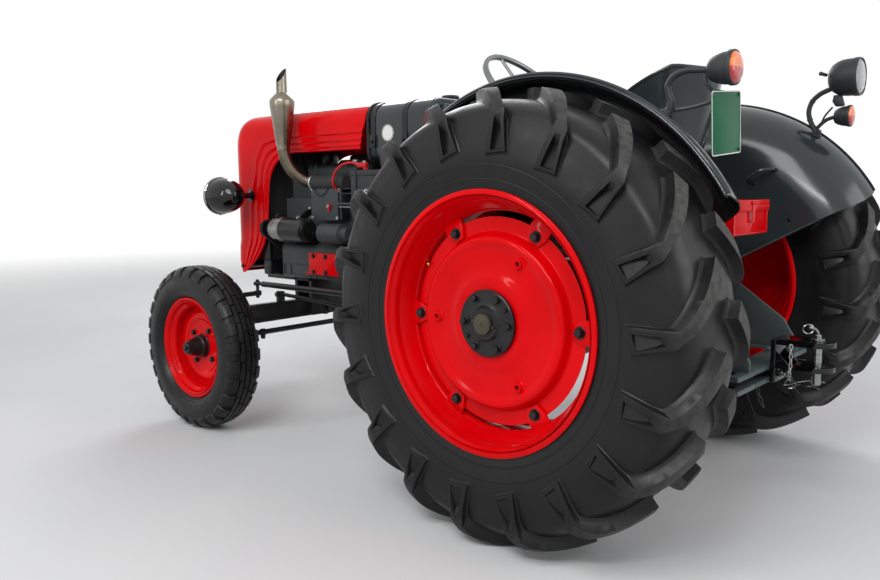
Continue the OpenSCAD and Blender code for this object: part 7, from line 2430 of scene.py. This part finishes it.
            shaft.add(Form.block((0.008, 0.0032, 0.052), 0.0008, 1), aim((-0.209, 0.0, 0.6), -X_AXIS) @ place)
        self.put(shaft, "power_take_off", "zinc", finish=self.finishes.bright)
        handle = Form.pipe(smooth([(-0.225, -0.4495, 1.06), (-0.235, -0.42, 1.072), (-0.262, -0.4, 1.09),
                                   (-0.292, -0.405, 1.104), (-0.318, -0.43, 1.108), (-0.325, -0.4495, 1.104)], 7),
                           0.0062, 14)
        self.put(handle, "grab_handle", "green_paint")

    def build(self) -> None:
        """Build everything round the driver."""
        for part in (self.column, self.steering_wheel, self.levers, self.footplates, self.gearbox):
            part()


@dataclass(frozen=True)
class Lamp:
    """A soft lamp of the studio: where it hangs, its width, its power in watts, and a strip's height."""

    name: str
    spot: tuple[float, float, float]
    width: float
    power: float
    height: float = 0.0


@dataclass(frozen=True)
class Studio:
    """A pale floor that runs into the white background, soft lamps, and the photograph's camera."""

    image_width: int = 880
    focal_pixels: float = 811.69
    sensor: float = 36.0
    spot: tuple[float, float, float] = (-1.427, 2.619, 1.043)
    yaw: float = -0.836
    pitch: float = -0.123
    roll: float = -0.009
    target_height: float = 0.7
    floor_radius: float = 40.0
    floor_drop: float = 0.0008
    fade: tuple[float, float] = (4.0, 12.0)
    sky: tuple[float, float, float, float] = (0.93, 0.96, 1.0, 1.0)
    sky_strength: float = 0.42
    far_clip: float = 200.0
    lamps: tuple[Lamp, ...] = (
        Lamp("key", (-1.5, 4.5, 5.0), 3.0, 165.0),
        Lamp("upper_strip", (-2.6, 4.2, 3.4), 2.4, 50.0, 0.16),
        Lamp("front_strip", (1.2, 5.0, 2.6), 0.16, 34.0, 2.2),
        Lamp("fill", (-5.5, -1.0, 2.6), 3.5, 110.0),
        Lamp("rim", (4.0, -3.5, 4.0), 3.0, 150.0),
    )

    def camera(self) -> None:
        """Place the camera where the photograph was taken from."""
        data = bpy.data.cameras.new("photograph")
        data.sensor_width = self.sensor
        data.lens = self.focal_pixels * self.sensor / self.image_width
        data.clip_end = self.far_clip
        camera = bpy.data.objects.new("photograph", data)
        bpy.context.scene.collection.objects.link(camera)
        flat = math.cos(self.pitch)
        ahead = Vector((math.cos(self.yaw) * flat, math.sin(self.yaw) * flat, math.sin(self.pitch)))
        right = Vector((math.sin(self.yaw), -math.cos(self.yaw), 0.0))
        up = right.cross(ahead)
        across = math.cos(self.roll) * right + math.sin(self.roll) * up
        rise = -math.sin(self.roll) * right + math.cos(self.roll) * up
        camera.matrix_world = axes(at(*self.spot), across, rise, -ahead)
        bpy.context.scene.camera = camera

    def floor(self) -> None:
        """Lay the floor disc, which turns white at its far edge."""
        form = Form()
        bmesh.ops.create_circle(form.mesh, cap_ends=True, segments=96, radius=self.floor_radius)
        bmesh.ops.translate(form.mesh, vec=(0, 0, -self.floor_drop), verts=form.mesh.verts)
        mesh = bpy.data.meshes.new("floor")
        form.mesh.to_mesh(mesh)
        floor = bpy.data.objects.new("floor", mesh)
        bpy.context.scene.collection.objects.link(floor)
        graph = Graph("pale_floor")
        grain = graph.ramp(graph.noise(1.2, 6.0), 0.3, 0.7, 0.0, 1.0)
        colour = graph.mix(grain, (0.66, 0.665, 0.67, 1.0), (0.7, 0.7, 0.7, 1.0))
        graph.join(colour, graph.shader.inputs["Base Color"])
        graph.shader.inputs["Roughness"].default_value = 0.85
        graph.shader.inputs["Specular IOR Level"].default_value = 0.2
        distance = graph.add("ShaderNodeVectorMath", operation="LENGTH")
        graph.join(graph.place, distance.inputs[0])
        far = graph.ramp(distance.outputs["Value"], *self.fade, 0.0, 1.0)
        glow = graph.add("ShaderNodeEmission")
        blend = graph.add("ShaderNodeMixShader")
        graph.join(graph.times(far, self.seen(graph)), blend.inputs["Fac"])
        graph.join(graph.shader.outputs["BSDF"], blend.inputs[1])
        graph.join(glow.outputs[0], blend.inputs[2])
        output = next(n for n in graph.tree.nodes if n.type == "OUTPUT_MATERIAL")
        graph.join(blend.outputs[0], output.inputs["Surface"])
        mesh.materials.append(graph.material)

    def seen(self, graph: Graph) -> bpy.types.NodeSocket:
        """Return 1 for what the camera sees straight, or by a mirror or glass.

        Args:
            graph: The tree that the pattern is for.
        """
        light = graph.add("ShaderNodeLightPath")
        total = light.outputs["Is Camera Ray"]
        for name in ("Is Glossy Ray", "Is Transmission Ray"):
            adder = graph.add("ShaderNodeMath", operation="MAXIMUM")
            graph.join(total, adder.inputs[0])
            graph.join(light.outputs[name], adder.inputs[1])
            total = adder.outputs[0]
        return total

    def world(self) -> None:
        """Light the scene evenly, with a white background where it is seen."""
        world = bpy.data.worlds.new("studio")
        bpy.context.scene.world = world
        world.use_nodes = True
        graph = Graph("world_parts")
        graph.tree = world.node_tree
        graph.tree.nodes.clear()
        soft = graph.add("ShaderNodeBackground")
        soft.inputs["Color"].default_value = self.sky
        soft.inputs["Strength"].default_value = self.sky_strength
        white = graph.add("ShaderNodeBackground")
        white.inputs["Color"].default_value = (1.0, 1.0, 1.0, 1.0)
        blend = graph.add("ShaderNodeMixShader")
        graph.join(self.seen(graph), blend.inputs["Fac"])
        graph.join(soft.outputs[0], blend.inputs[1])
        graph.join(white.outputs[0], blend.inputs[2])
        output = graph.add("ShaderNodeOutputWorld")
        graph.join(blend.outputs[0], output.inputs["Surface"])
        bpy.data.materials.remove(graph.material)

    def hang(self, lamp: Lamp) -> None:
        """Hang one soft lamp that points at the tractor's middle."""
        data = bpy.data.lights.new(lamp.name, "AREA")
        data.shape = "RECTANGLE" if lamp.height else "SQUARE"
        data.size = lamp.width
        data.size_y = lamp.height or lamp.width
        data.energy = lamp.power
        holder = bpy.data.objects.new(lamp.name, data)
        bpy.context.scene.collection.objects.link(holder)
        place = Vector(lamp.spot)
        holder.matrix_world = aim(place, place - Z_AXIS * self.target_height)

    def build(self) -> None:
        """Set up the whole studio."""
        self.camera()
        self.floor()
        self.world()
        for lamp in self.lamps:
            self.hang(lamp)
        bpy.context.scene.view_settings.view_transform = "Standard"


def main() -> None:
    """Build the studio, dress the frame and add every piece."""
    logging.basicConfig(level=logging.INFO, format="%(message)s")
    Studio().build()
    finishes = Palette()
    finishes.dress_nodes()
    for side in Side:
        RearWheel(side, finishes).build()
        FrontWheel(side, finishes).build()
    for group in (Hood, Exhaust, Tank, Fenders, Engine, Cooling, FrontAxle, Seat, Toolbox, Drawbar, RearLamps,
                  Cockpit):
        group(finishes).build()


if __name__ == "__main__":
    main()
